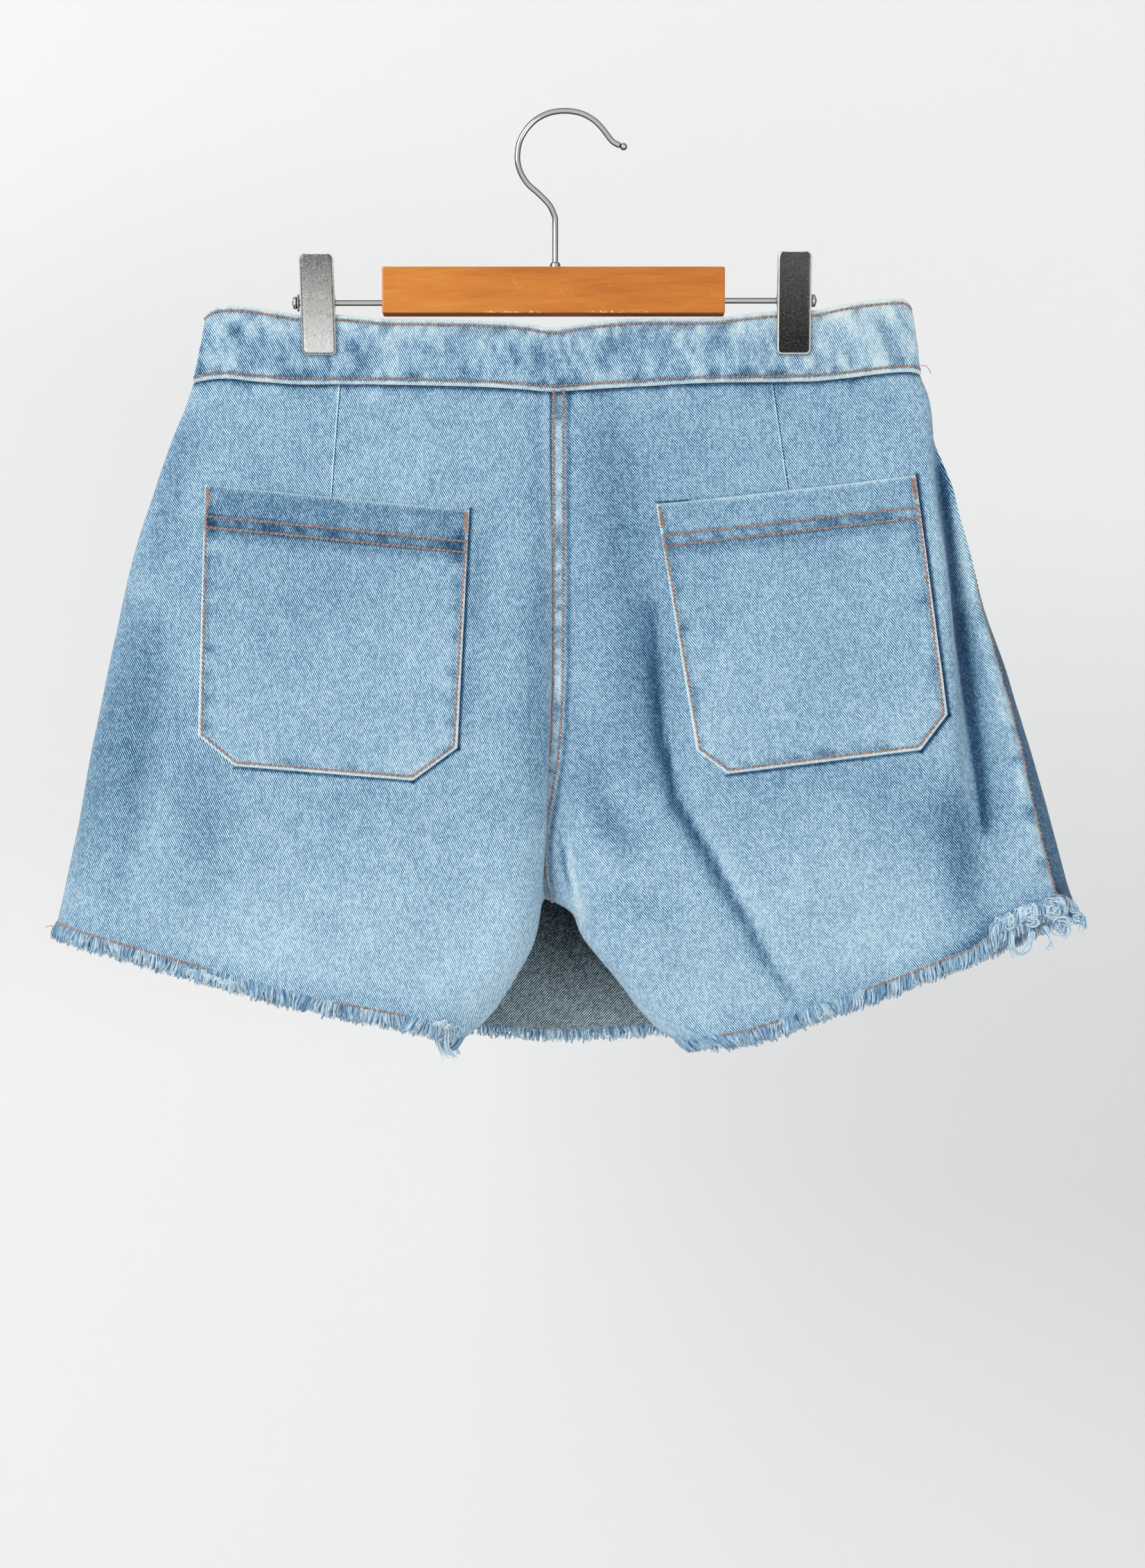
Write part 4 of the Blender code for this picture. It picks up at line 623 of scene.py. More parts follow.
def plain_mesh(name: str, points: Iterable[Sequence[float]], faces: Iterable[Sequence[int]],
               sharp: float = 35.0) -> Mesh:
    """A closed mesh from points in mm, its faces turned outwards."""
    mesh = bpy.data.meshes.new(name)
    mesh.from_pydata([tuple(float(value) * MM for value in point) for point in points], [],
                     [tuple(int(index) for index in face) for face in faces])
    mesh.validate()
    turn_outwards(mesh)
    mesh.shade_smooth()
    mesh.set_sharp_from_angle(angle=math.radians(sharp))
    return mesh


def turn_outwards(mesh: Mesh) -> None:
    """Recalculates a closed mesh's normals."""
    build = bmesh.new()
    build.from_mesh(mesh)
    bmesh.ops.remove_doubles(build, verts=build.verts, dist=1e-7)
    bmesh.ops.recalc_face_normals(build, faces=build.faces)
    build.to_mesh(mesh)
    build.free()


# The CAD model's solids by node, and the finish that each has in the record; main() fills both.
NODES: dict[str, Object] = {}
SLOTS: dict[str, str] = {}


def settle(made: Object, node: Optional[str] = None, slot: Optional[str] = None) -> None:
    """Lets a piece ride on the one body, and hides the solid that it stands for.

    Args:
        made: the piece.
        node: the solid that it stands for.
        slot: its finish in the record, where it stands for no solid.
    """
    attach(made, "root")
    if node:
        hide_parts(node)
    if slot or node:
        slot or SLOTS[node]
    LOG.info("%s: %d faces", made.name, len(made.data.polygons))


def show(mesh: Mesh, materials: Sequence[Material]) -> Object:
    """Puts a mesh into the scene with its materials."""
    for material in materials:
        mesh.materials.append(material)
    made = bpy.data.objects.new(mesh.name, mesh)
    bpy.context.scene.collection.objects.link(made)
    return made


def surface_of(made: Object) -> BVHTree:
    """A tree of an object's faces for casting rays at it."""
    mesh = made.data
    return BVHTree.FromPolygons([vertex.co for vertex in mesh.vertices],
                                [polygon.vertices for polygon in mesh.polygons])


def cast(surface: BVHTree, x: float, z: float) -> Optional[tuple[Array, Array]]:
    """Where the surface is seen from the back at x and z, in mm, and its normal there."""
    hit, normal, _, _ = surface.ray_cast(Vector((x, FAR_BACK, z)) * MM, Vector((0.0, 1.0, 0.0)))
    return None if hit is None else (np.array(hit) / MM, np.array(normal))


def cast_path(surface: BVHTree, path: Path, step: float) -> tuple[Array, Array]:
    """Lays a line given as seen from the back on a surface.

    Args:
        surface: the surface.
        path: the line's points (x, z), mm.
        step: distance between its new points, mm.

    Returns:
        Points in mm and the surface's normals there.
    """
    points, normals = [], []
    flat = np.array(path, float)
    sizes = np.linalg.norm(np.diff(flat, axis=0), axis=1)
    ends = np.concatenate([[0.0], np.cumsum(sizes)])
    for at in np.linspace(0.0, ends[-1], max(int(ends[-1] / step), 2) + 1):
        x, z = np.interp(at, ends, flat[:, 0]), np.interp(at, ends, flat[:, 1])
        found = cast(surface, x, z)
        if found:
            points.append(found[0])
            normals.append(found[1])
    return np.array(points), np.array(normals)


# ---------------------------------------------------------------- shader nodes

def paint(red: float, green: float, blue: float) -> tuple[float, float, float, float]:
    """A colour for a socket from its values between 0 and 255 as a screen shows them."""
    def linear(value: float) -> float:
        """One value as light."""
        share = value / 255.0
        return share / 12.92 if share <= 0.04045 else ((share + 0.055) / 1.055) ** 2.4

    return linear(red), linear(green), linear(blue), 1.0


@dataclass
class Bench:
    """Adds nodes, values and links to one node tree in a few words."""

    tree: Tree

    def fill(self, node: Node, values: dict) -> None:
        """Links a node's inputs, given by name or number, or sets their values."""
        for name, value in values.items():
            if isinstance(value, Socket):
                self.tree.links.new(value, node.inputs[name])
            else:
                node.inputs[name].default_value = value

    def add(self, kind: str, inputs: Optional[dict] = None, **settings: object) -> Node:
        """Adds a node.

        Args:
            kind: the node's type.
            inputs: values or links of its inputs by name or number.
            settings: its own properties.

        Returns:
            The node.
        """
        node = self.tree.nodes.new(kind)
        for name, value in settings.items():
            setattr(node, name, value)
        self.fill(node, inputs or {})
        return node

    def math(self, operation: str, *values: object, clamp: bool = False) -> Socket:
        """A math node of numbers or sockets; returns its result."""
        return self.add("ShaderNodeMath", dict(enumerate(values)), operation=operation,
                        use_clamp=clamp).outputs[0]

    def plus(self, one: object, two: object) -> Socket:
        """One number and another."""
        return self.math("ADD", one, two)

    def minus(self, one: object, two: object, clamp: bool = False) -> Socket:
        """One number less another."""
        return self.math("SUBTRACT", one, two, clamp=clamp)

    def times(self, one: object, two: object, clamp: bool = False) -> Socket:
        """One number times another."""
        return self.math("MULTIPLY", one, two, clamp=clamp)

    def over(self, one: object, two: object, clamp: bool = False) -> Socket:
        """One number divided by another."""
        return self.math("DIVIDE", one, two, clamp=clamp)

    def parts(self, vector: object) -> bpy.types.bpy_prop_collection:
        """The three numbers of a vector."""
        return self.add("ShaderNodeSeparateXYZ", {0: vector}).outputs

    def total(self, *terms: object) -> Socket:
        """Sum of sockets and numbers; a pair stands for its product."""
        made = None
        for term in terms:
            value = self.times(*term) if isinstance(term, tuple) else term
            made = value if made is None else self.plus(made, value)
        return made

    def blend(self, factor: object, first: object, second: object) -> Socket:
        """Mixes two colours; returns the result."""
        return self.add("ShaderNodeMix", {0: factor, 6: first, 7: second},
                        data_type="RGBA").outputs[2]

    def ramp(self, factor: object, stops: Sequence[tuple[float, tuple]]) -> Socket:
        """A colour ramp with the given stops; returns its colour."""
        node = self.add("ShaderNodeValToRGB", {0: factor})
        band = node.color_ramp
        while len(band.elements) < len(stops):
            band.elements.new(0.5)
        for element, (place, colour) in zip(band.elements, stops):
            element.position, element.color = place, colour
        return node.outputs[0]

    def noise(self, place: object, scale: float, detail: float = 2.0,
              rough: float = 0.5) -> Socket:
        """Noise in lumps of 1/scale metres; returns its value from 0 to 1."""
        return self.add("ShaderNodeTexNoise", {"Vector": place, "Scale": scale,
                                               "Detail": detail, "Roughness": rough}).outputs[0]

    def stretch(self, place: object, scale: Sequence[float], turn: float = 0.0) -> Socket:
        """Coordinates turned about Y by degrees and then scaled along each axis."""
        if turn:
            place = self.add("ShaderNodeMapping", {
                "Vector": place, "Rotation": (0.0, math.radians(turn), 0.0)}).outputs[0]
        return self.add("ShaderNodeMapping", {"Vector": place, "Scale": tuple(scale)}).outputs[0]

    def mark(self, name: str) -> Socket:
        """Reads one of the piece's own attributes."""
        return self.add("ShaderNodeAttribute", attribute_name=name).outputs["Fac"]

    def bump(self, height: object, strength: float, distance: float) -> Socket:
        """A bump whose height is in units of distance, in metres."""
        return self.add("ShaderNodeBump", {"Height": height, "Strength": strength,
                                           "Distance": distance}).outputs[0]


def name_inputs(tree: Tree, inputs: dict[str, tuple[str, object]]) -> None:
    """Gives a tree its inputs, each with its socket type and its value."""
    for label, (kind, value) in inputs.items():
        socket = tree.interface.new_socket(name=label, in_out="INPUT", socket_type=kind)
        if value is not None:
            socket.default_value = value


def effect(name: str, inputs: dict[str, tuple[str, object]],
           outputs: dict[str, str]) -> tuple[Tree, Bench, dict, Node]:
    """Starts a shader node group with named sockets.

    Args:
        name: the group's name.
        inputs: for each input its socket type and value.
        outputs: for each output its socket type.

    Returns:
        The group, a bench on it, its input sockets by name, and its output node.
    """
    tree = bpy.data.node_groups.new(name, "ShaderNodeTree")
    name_inputs(tree, inputs)
    for label, kind in outputs.items():
        tree.interface.new_socket(name=label, in_out="OUTPUT", socket_type=kind)
    bench = Bench(tree)
    entry, leave = bench.add("NodeGroupInput"), bench.add("NodeGroupOutput")
    return tree, bench, {label: entry.outputs[label] for label in inputs}, leave


NUMBER, VECTOR = "NodeSocketFloat", "NodeSocketVector"


@dataclass
class Effects:
    """Shader node groups that several finishes share, each built once."""

    made: dict[str, Tree] = field(default_factory=dict)

    def place(self, bench: Bench, name: str, inputs: dict) -> Node:
        """Puts a group into a material.

        Args:
            bench: bench on the material's tree.
            name: which effect.
            inputs: its values and links.

        Returns:
            The group's node.
        """
        if name not in self.made:
            self.made[name] = getattr(self, name)()
        node = bench.add("ShaderNodeGroup")
        node.node_tree = self.made[name]
        bench.fill(node, inputs)
        return node

    @staticmethod
    def twill() -> Tree:
        """Diagonal twill lines broken into short floats of thread."""
        tree, bench, inputs, leave = effect(
            "twill", {"Place": (VECTOR, None), "Pitch": (NUMBER, 0.00115),
                      "Wander": (NUMBER, 0.34)},
            {"Lines": NUMBER, "Threads": NUMBER, "Height": NUMBER})
        split = bench.parts(inputs["Place"])
        slow = bench.minus(bench.noise(inputs["Place"], 260.0, 1.0), 0.5)
        quick = bench.minus(bench.noise(inputs["Place"], 1100.0, 1.0), 0.5)
        drift = bench.times(bench.total(slow, (quick, 0.6)), inputs["Wander"])
        across = bench.plus(bench.over(split[0], inputs["Pitch"]), drift)
        line = bench.math("FLOOR", bench.plus(across, 0.5))
        wave = bench.math("COSINE", bench.times(across, 2.0 * math.pi))
        lines = bench.total((wave, 0.5), 0.5)
        offset = bench.add("ShaderNodeTexWhiteNoise", {"W": line}, noise_dimensions="1D")
        down = bench.over(split[1], bench.times(inputs["Pitch"], 1.15))
        down = bench.total(down, (across, 0.5), (offset.outputs[0], 0.3))
        cell = bench.add("ShaderNodeCombineXYZ", {0: line, 1: bench.math("FLOOR", down)})
        chance = bench.add("ShaderNodeTexWhiteNoise", {"Vector": cell.outputs[0]},
                           noise_dimensions="2D")
        pieces = bench.total((bench.math("COSINE", bench.times(down, 2.0 * math.pi)), -0.5), 0.5)
        bench.fill(leave, {"Lines": lines, "Threads": chance.outputs[0],
                           "Height": bench.times(lines, bench.total((pieces, 0.45), 0.55))})
        return tree

    @staticmethod
    def wash() -> Tree:
        """Uneven fading of washed indigo: broad patches, mottling and yarn streaks."""
        tree, bench, inputs, leave = effect(
            "wash", {"Place": (VECTOR, None)},
            {"Patches": NUMBER, "Mottle": NUMBER, "Streaks": NUMBER})
        place = inputs["Place"]
        patches = bench.minus(bench.noise(place, 19.0, 2.0), 0.5)
        lumps = bench.noise(bench.stretch(place, (1.0, 1.0, 0.7)), 95.0, 3.0, 0.62)
        mottle = bench.minus(lumps, 0.5)
        warp = bench.noise(bench.stretch(place, (1.0, 1.0, 0.06)), 900.0, 2.0)
        weft = bench.noise(bench.stretch(place, (0.07, 0.07, 1.0)), 800.0, 2.0)
        bench.fill(leave, {"Patches": patches, "Mottle": mottle,
                           "Streaks": bench.total((warp, 0.65), (weft, 0.35), -0.5)})
        return tree

    @staticmethod
    def scuffs() -> Tree:
        """Fine scratches in two directions and small specks."""
        tree, bench, inputs, leave = effect(
            "scuffs", {"Place": (VECTOR, None), "Scale": (NUMBER, 300.0)},
            {"Scratches": NUMBER, "Specks": NUMBER})
        made = None
        for turn in (34.0, -52.0):
            lane = bench.stretch(inputs["Place"], (1.0, 1.0, 0.035), turn)
            noise = bench.add("ShaderNodeTexNoise", {"Vector": lane, "Scale": inputs["Scale"],
                                                     "Detail": 1.0}).outputs[0]
            off = bench.math("ABSOLUTE", bench.minus(noise, 0.62))
            thin = bench.minus(1.0, bench.times(off, 90.0), clamp=True)
            made = thin if made is None else bench.math("MAXIMUM", made, thin)
        some = bench.math("GREATER_THAN", bench.noise(inputs["Place"], 60.0), 0.56)
        bench.fill(leave, {"Scratches": bench.times(made, some),
                           "Specks": bench.noise(inputs["Place"], 1500.0, 2.0)})
        return tree

    @staticmethod
    def groove() -> Tree:
        """A soft line between two points as seen from the back, from 0 to 1."""
        tree, bench, inputs, leave = effect(
            "groove", {"Place": (VECTOR, None), "From": (VECTOR, None), "To": (VECTOR, None),
                       "Width": (NUMBER, 0.001)}, {"Mask": NUMBER})

        def vector(operation: str, *values: object) -> Node:
            """A vector math node of vectors or sockets."""
            return bench.add("ShaderNodeVectorMath", dict(enumerate(values)), operation=operation)

        flat = vector("MULTIPLY", inputs["Place"], (1.0, 0.0, 1.0)).outputs[0]
        run = vector("SUBTRACT", inputs["To"], inputs["From"]).outputs[0]
        reach = vector("SUBTRACT", flat, inputs["From"]).outputs[0]
        share = bench.over(vector("DOT_PRODUCT", reach, run).outputs["Value"],
                           vector("DOT_PRODUCT", run, run).outputs["Value"], clamp=True)
        nearest = bench.add("ShaderNodeVectorMath", {0: run, 3: share}, operation="SCALE")
        off = vector("DISTANCE", reach, nearest.outputs[0]).outputs["Value"]
        bench.fill(leave, {"Mask": bench.minus(1.0, bench.over(off, inputs["Width"]), clamp=True)})
        return tree


EFFECTS = Effects()


def new_material(name: str) -> tuple[Material, Bench, Node, Socket]:
    """A material with little but its shader.

    Args:
        name: the material's name.

    Returns:
        The material, a bench on its tree, its Principled node, and its Object coordinates.
    """
    made = bpy.data.materials.new(name)
    made.use_nodes = True
    made.node_tree.nodes.clear()
    bench = Bench(made.node_tree)
    shader = bench.add("ShaderNodeBsdfPrincipled")
    bench.add("ShaderNodeOutputMaterial", {"Surface": shader.outputs[0]})
    return made, bench, shader, bench.add("ShaderNodeTexCoord").outputs["Object"]


# ---------------------------------------------------------------- finishes

INDIGO = ((0.0, paint(10, 42, 70)), (0.24, paint(45, 92, 132)), (0.45, paint(99, 151, 188)),
          (0.62, paint(152, 198, 226)), (0.8, paint(202, 234, 250)), (1.0, paint(238, 252, 255)))
VIOLET = ((0.0, paint(20, 44, 86)), (0.3, paint(66, 110, 160)), (0.5, paint(122, 165, 209)),
          (0.75, paint(186, 219, 243)), (1.0, paint(240, 250, 255)))
INSIDE = ((0.0, paint(3, 10, 16)), (0.3, paint(28, 43, 52)), (0.5, paint(76, 96, 107)),
          (0.74, paint(146, 168, 178)), (1.0, paint(208, 226, 232)))


@dataclass(frozen=True)
class DenimFinish:
    """Washed denim: blue warp lines over pale weft, faded where it is worn, with the painted shade
    and highlights that its marks and grooves carry.

    Attributes:
        name: the material's name.
        ramp: colours from the deepest to the most faded.
        dye: the same where the dye has run purer.
        tone: mean place in the ramp.
        lines: contrast of the twill lines.
        speckle: contrast between single floats.
        pitch: distance between twill lines, m.
        relief: height of the weave, m.
        cream: how far worn edges turn from pale blue to cream.
        grooves: painted shade along darts and pocket edges, and painted highlights beside the
            darts
        where the strength is negative: x and z of both ends, width, mm, and strength.
        dart: x and z of its upper and lower end, mm, which side of it is turned, and degrees.
        below: depth below the origin under which a dart turns nothing, m.
        within: height over which its turn grows to the full angle, m.
    """

    name: str
    ramp: tuple = INDIGO
    dye: tuple = VIOLET
    tone: float = 0.50
    lines: float = 0.72
    speckle: float = 0.24
    pitch: float = 0.00098
    relief: float = 0.00026
    cream: float = 0.35
    grooves: tuple[tuple[float, ...], ...] = ()
    dart: Optional[tuple[float, ...]] = None
    below: float = 0.335
    within: float = 0.125

    def cut_on(self, bench: Bench, place: Socket, weave: Socket) -> Socket:
        """Turns the twill lines on the outer side of a dart."""
        if not self.dart:
            return weave
        x_top, z_top, x_low, z_low, side, degrees = self.dart
        slope = (x_top - x_low) / (z_top - z_low)
        split = bench.parts(place)
        off = bench.minus(split[0], bench.total((split[2], slope), (x_low - slope * z_low) * MM))
        beside = bench.math("GREATER_THAN", bench.times(off, side), 0.0)
        fade = bench.over(bench.total((split[2], 1.0), self.below), self.within, clamp=True)
        angle = bench.times(bench.times(beside, fade), math.radians(degrees))
        return bench.add("ShaderNodeVectorRotate", {"Vector": weave, "Angle": angle},
                         rotation_type="Z_AXIS").outputs[0]

    def make(self) -> Material:
        """Builds the material."""
        made, bench, shader, place = new_material(self.name)
        weave = self.cut_on(bench, place, bench.add("ShaderNodeUVMap", uv_map="weave").outputs[0])
        twill = EFFECTS.place(bench, "twill", {"Place": weave, "Pitch": self.pitch})
        wash = EFFECTS.place(bench, "wash", {"Place": place})
        pale, deep = bench.mark("pale"), bench.mark("deep")
        lines = bench.minus(bench.total((twill.outputs["Lines"], 0.55),
                                        (twill.outputs["Height"], 0.6)), 0.5)
        threads = bench.minus(twill.outputs["Threads"], 0.5)
        flat = bench.minus(1.0, bench.times(pale, 0.35))
        # Marks: pale adds fading and painted highlights, the other mark deeper dye and painted
        # shade.
        tone = bench.total(
            self.tone, (bench.times(lines, flat), self.lines),
            (threads, self.speckle), (wash.outputs["Patches"], 0.20),
            (wash.outputs["Mottle"], 0.17), (wash.outputs["Streaks"], 0.20),
            (pale, 0.34), (deep, -0.5))
        height = bench.total((twill.outputs["Height"], 1.0), (wash.outputs["Streaks"], 0.5))
        # Painted shade along the darts and pocket edges; a negative strength paints a highlight.
        for x_one, z_one, x_two, z_two, width, strength in self.grooves:
            mask = EFFECTS.place(bench, "groove", {
                "Place": place, "From": (x_one * MM, 0.0, z_one * MM),
                "To": (x_two * MM, 0.0, z_two * MM), "Width": width * MM}).outputs[0]
            tone = bench.total(tone, (mask, -strength))
            height = bench.total(height, (mask, -2.0 * strength))
        colour = bench.ramp(tone, self.ramp)
        dye = bench.noise(place, 330.0, 3.0, 0.7)
        purer = bench.minus(bench.times(dye, 1.2), 0.5, clamp=True)
        colour = bench.blend(purer, colour, bench.ramp(tone, self.dye))
        # Cream where the pale mark is strong: on worn edges, and on ridges with painted
        # highlights.
        worn = bench.times(bench.math("POWER", pale, 1.5), self.cream, clamp=True)
        colour = bench.blend(worn, colour, paint(226, 229, 214))
        bench.fill(shader, {
            "Base Color": colour, "Roughness": bench.total((twill.outputs["Threads"], 0.08), 0.86),
            "Normal": bench.bump(height, 0.8, self.relief), "Specular IOR Level": 0.22,
            "Sheen Weight": 0.18, "Sheen Roughness": 0.55, "Sheen Tint": (0.9, 0.95, 1.0, 1.0)})
        return made


@dataclass(frozen=True)
class ThreadFinish:
    """Twisted sewing thread, between two colours given as a screen shows them."""

    name: str
    colour: tuple[float, float, float] = (96, 68, 62)
    light: tuple[float, float, float] = (202, 168, 154)

    def make(self) -> Material:
        """Builds the material."""
        made, bench, shader, place = new_material(self.name)
        chance = bench.noise(place, 420.0, 2.0)
        twist = bench.add("ShaderNodeTexWave", {"Vector": place, "Scale": 900.0,
                                                "Distortion": 1.0}, bands_direction="DIAGONAL")
        mix = bench.total((chance, 1.3), (twist.outputs["Fac"], 0.3), -0.35)
        bench.fill(shader, {
            "Base Color": bench.ramp(mix, ((0.0, paint(*self.colour)), (1.0, paint(*self.light)))),
            "Roughness": bench.total((chance, 0.2), 0.6),
            "Normal": bench.bump(twist.outputs["Fac"], 0.5, 0.0001), "Sheen Weight": 0.2})
        return made


@dataclass(frozen=True)
class FrayFinish:
    """Loose yarns of a raw edge: pale weft with some blue warp among it."""

    name: str

    def make(self) -> Material:
        """Builds the material."""
        made, bench, shader, place = new_material(self.name)
        tone, reach = bench.mark("tone"), bench.mark("reach")
        chance = bench.noise(place, 300.0, 2.0)
        mix = bench.total((tone, 0.72), (chance, 0.5), (reach, 0.14), -0.21)
        colour = bench.ramp(mix, ((0.0, paint(28, 72, 116)), (0.22, paint(88, 138, 180)),
                                  (0.45, paint(152, 192, 220)), (0.7, paint(208, 230, 243)),
                                  (1.0, paint(246, 251, 252))))
        bench.fill(shader, {
            "Base Color": colour, "Roughness": bench.total((chance, 0.15), 0.8),
            "Normal": bench.bump(chance, 0.4, 0.0002), "Sheen Weight": 0.25,
            "Specular IOR Level": 0.25})
        return made


@dataclass(frozen=True)
class WoodFinish:
    """Orange varnish on a pale, close-grained hardwood, chipped along its lower front edge, with
    painted shade towards its right end and on its underside.

    Attributes:
        name: the material's name.
        chips: spans (from x, to x) of the chipped edge, m.
        edge: height z of that edge, m.
    """

    name: str
    chips: tuple[tuple[float, float], ...]
    edge: float

    def make(self) -> Material:
        """Builds the material."""
        made, bench, shader, place = new_material(self.name)
        rings = bench.noise(bench.stretch(place, (0.12, 1.0, 1.0), 4.0), 150.0, 4.0, 0.6)
        pores = bench.noise(bench.stretch(place, (0.05, 1.0, 1.0)), 1900.0, 2.0)
        broad = bench.noise(bench.stretch(place, (0.3, 1.0, 1.0), -8.0), 30.0, 2.0)
        split = bench.parts(place)
        # The grain, with painted shade that darkens the bar towards its right end.
        grain_and_side_shade = bench.total((rings, 0.7), (pores, 0.34), (broad, 0.5), (split[0], -0.9), -0.28)
        colour = bench.ramp(grain_and_side_shade, ((0.0, paint(150, 82, 26)), (0.36, paint(190, 111, 42)),
                                    (0.62, paint(207, 129, 52)), (1.0, paint(231, 160, 80))))
        scuffs = EFFECTS.place(bench, "scuffs", {"Place": place, "Scale": 520.0})
        colour = bench.blend(bench.times(scuffs.outputs["Scratches"], 0.22),
                             colour, paint(238, 192, 138))
        worn = None
        for start, end in self.chips:
            middle, half = (start + end) * 0.5, (end - start) * 0.5
            far = bench.math("ABSOLUTE", bench.minus(split[0], middle))
            inside = bench.over(bench.minus(far, half * 0.6), half * 0.5)
            inside = bench.minus(1.0, inside, clamp=True)
            worn = inside if worn is None else bench.math("MAXIMUM", worn, inside)
        rough = bench.noise(place, 420.0, 3.0, 0.65)
        high = bench.minus(split[2], self.edge)
        reach = bench.total((rough, 0.0046), -0.0016)
        low = bench.over(bench.minus(reach, high), 0.0003, clamp=True)
        bare = bench.times(low, worn, clamp=True)
        colour = bench.blend(bare, colour, paint(235, 205, 160))
        # The underside has no coat and is coloured a darker brown, which paints its shade.
        under = bench.math("LESS_THAN", high, 0.0004)
        colour = bench.blend(under, colour, paint(148, 80, 28))
        rough = bench.total((scuffs.outputs["Scratches"], 0.2), (bare, 0.35), (rings, 0.12),
                            (under, 0.5), 0.28)
        height = bench.total((pores, 0.25), (bare, -2.0), (scuffs.outputs["Scratches"], -0.6))
        bench.fill(shader, {
            "Base Color": colour, "Roughness": rough,
            "Normal": bench.bump(height, 0.35, 0.00015), "Coat Roughness": 0.2,
            "Coat Weight": bench.minus(0.3, bench.times(bench.math("MAXIMUM", bare, under), 0.3)),
            "Specular IOR Level": 0.2})
        return made


class Metal(Enum):
    """The metals of the hanger.

    Painted reflections as values from the flat face to the sides, then roughness, specks,
    brushing, and the painted reflection value that the flat face turns to towards the top of the
    clip, with how far.
    """

    CHROME = (((0.0, 222), (0.16, 170), (0.34, 76), (0.6, 40), (0.85, 70), (1.0, 120)),
              0.1, 0.02, 0.0, (200, 0.0))
    # One nickel in two painted reflections: bright with a painted dark top on the left clip, dark
    # with bright sides and a lighter top on the right clip.
    NICKEL = (((0.0, 238), (0.02, 226), (0.05, 70), (0.14, 120), (0.3, 236), (0.55, 246),
               (0.8, 120), (1.0, 90)), 0.3, 0.34, 0.5, (44, 0.8))
    DARK_NICKEL = (((0.0, 46), (0.03, 48), (0.06, 34), (0.12, 226), (0.5, 244), (0.75, 80),
                    (1.0, 60)), 0.24, 0.1, 0.9, (116, 0.5))
    ZINC = (((0.0, 190), (0.3, 150), (0.6, 80), (1.0, 110)), 0.35, 0.2, 0.3, (200, 0.0))


@dataclass(frozen=True)
class MetalFinish:
    """A plated or bare metal with fine scratches and specks, and painted reflections that follow
    the way its surface faces.

    Attributes:
        name: the material's name.
        metal: which metal.
        low: depth below the origin where the painted reflection on a clip's flat face starts to
            change, m.
        rise: height over which it changes, m.
    """

    name: str
    metal: Metal
    low: float = 0.117
    rise: float = 0.044

    def make(self) -> Material:
        """Builds the material."""
        reflection_greys, roughness, specks, brushed, (top_reflection_grey, share) = self.metal.value
        made, bench, shader, place = new_material(self.name)
        scuffs = EFFECTS.place(bench, "scuffs", {"Place": place, "Scale": 420.0})
        fine = bench.minus(scuffs.outputs["Specks"], 0.5)
        cloud = bench.noise(place, 70.0, 3.0)
        # Painted reflections: the colour follows the way the surface faces.
        facing = bench.parts(bench.add("ShaderNodeTexCoord").outputs["Normal"])[1]
        turned = bench.minus(1.0, bench.math("ABSOLUTE", facing), clamp=True)
        colour = bench.ramp(turned, [(at, paint(one, one, one * 0.995)) for at, one in reflection_greys])
        # A painted reflection changes a clip's flat face towards another value near its top.
        high = bench.over(bench.plus(bench.parts(place)[2], self.low), self.rise, clamp=True)
        flat = bench.math("LESS_THAN", turned, 0.06)
        upper = bench.times(bench.times(high, flat), share)
        colour = bench.blend(upper, colour, paint(top_reflection_grey, top_reflection_grey, top_reflection_grey))
        lighter = bench.times(fine, specks * 5.0, clamp=True)
        colour = bench.blend(lighter, colour, paint(242, 242, 240))
        darker = bench.times(fine, specks * -5.0, clamp=True)
        colour = bench.blend(darker, colour, paint(52, 52, 52))
        rough = bench.total(roughness, (fine, specks * 0.8), (cloud, 0.08),
                            (scuffs.outputs["Scratches"], 0.2))
        lanes = bench.noise(bench.stretch(place, (1.0, 1.0, 0.04)), 2600.0, 2.0)
        height = bench.total((fine, specks * 2.0), (lanes, brushed),
                             (scuffs.outputs["Scratches"], -0.5))
        bench.fill(shader, {"Base Color": colour, "Metallic": 1.0, "Roughness": rough,
                            "Normal": bench.bump(height, 0.3, 0.00012)})
        return made


@dataclass(frozen=True)
class StudioFinish:
    """Matt pale paint of the wall and floor; its far side lets light and sight through."""

    name: str
    colour: tuple[float, float, float] = (238, 238, 238)

    def make(self) -> Material:
        """Builds the material."""
        made, bench, shader, place = new_material(self.name)
        cloud = bench.noise(place, 2.0, 2.0)
        darker = paint(*(value - 3 for value in self.colour))
        bench.fill(shader, {
            "Base Color": bench.ramp(cloud, ((0.0, darker), (1.0, paint(*self.colour)))),
            "Roughness": 0.9, "Specular IOR Level": 0.1})
        behind = bench.add("ShaderNodeNewGeometry").outputs["Backfacing"]
        clear = bench.add("ShaderNodeBsdfTransparent")
        mixed = bench.add("ShaderNodeMixShader", {0: behind, 1: shader.outputs[0],
                                                  2: clear.outputs[0]})
        output = next(node for node in made.node_tree.nodes
                      if node.bl_idname == "ShaderNodeOutputMaterial")
        bench.fill(output, {"Surface": mixed.outputs[0]})
        return made


# ---------------------------------------------------------------- what repeats along a line

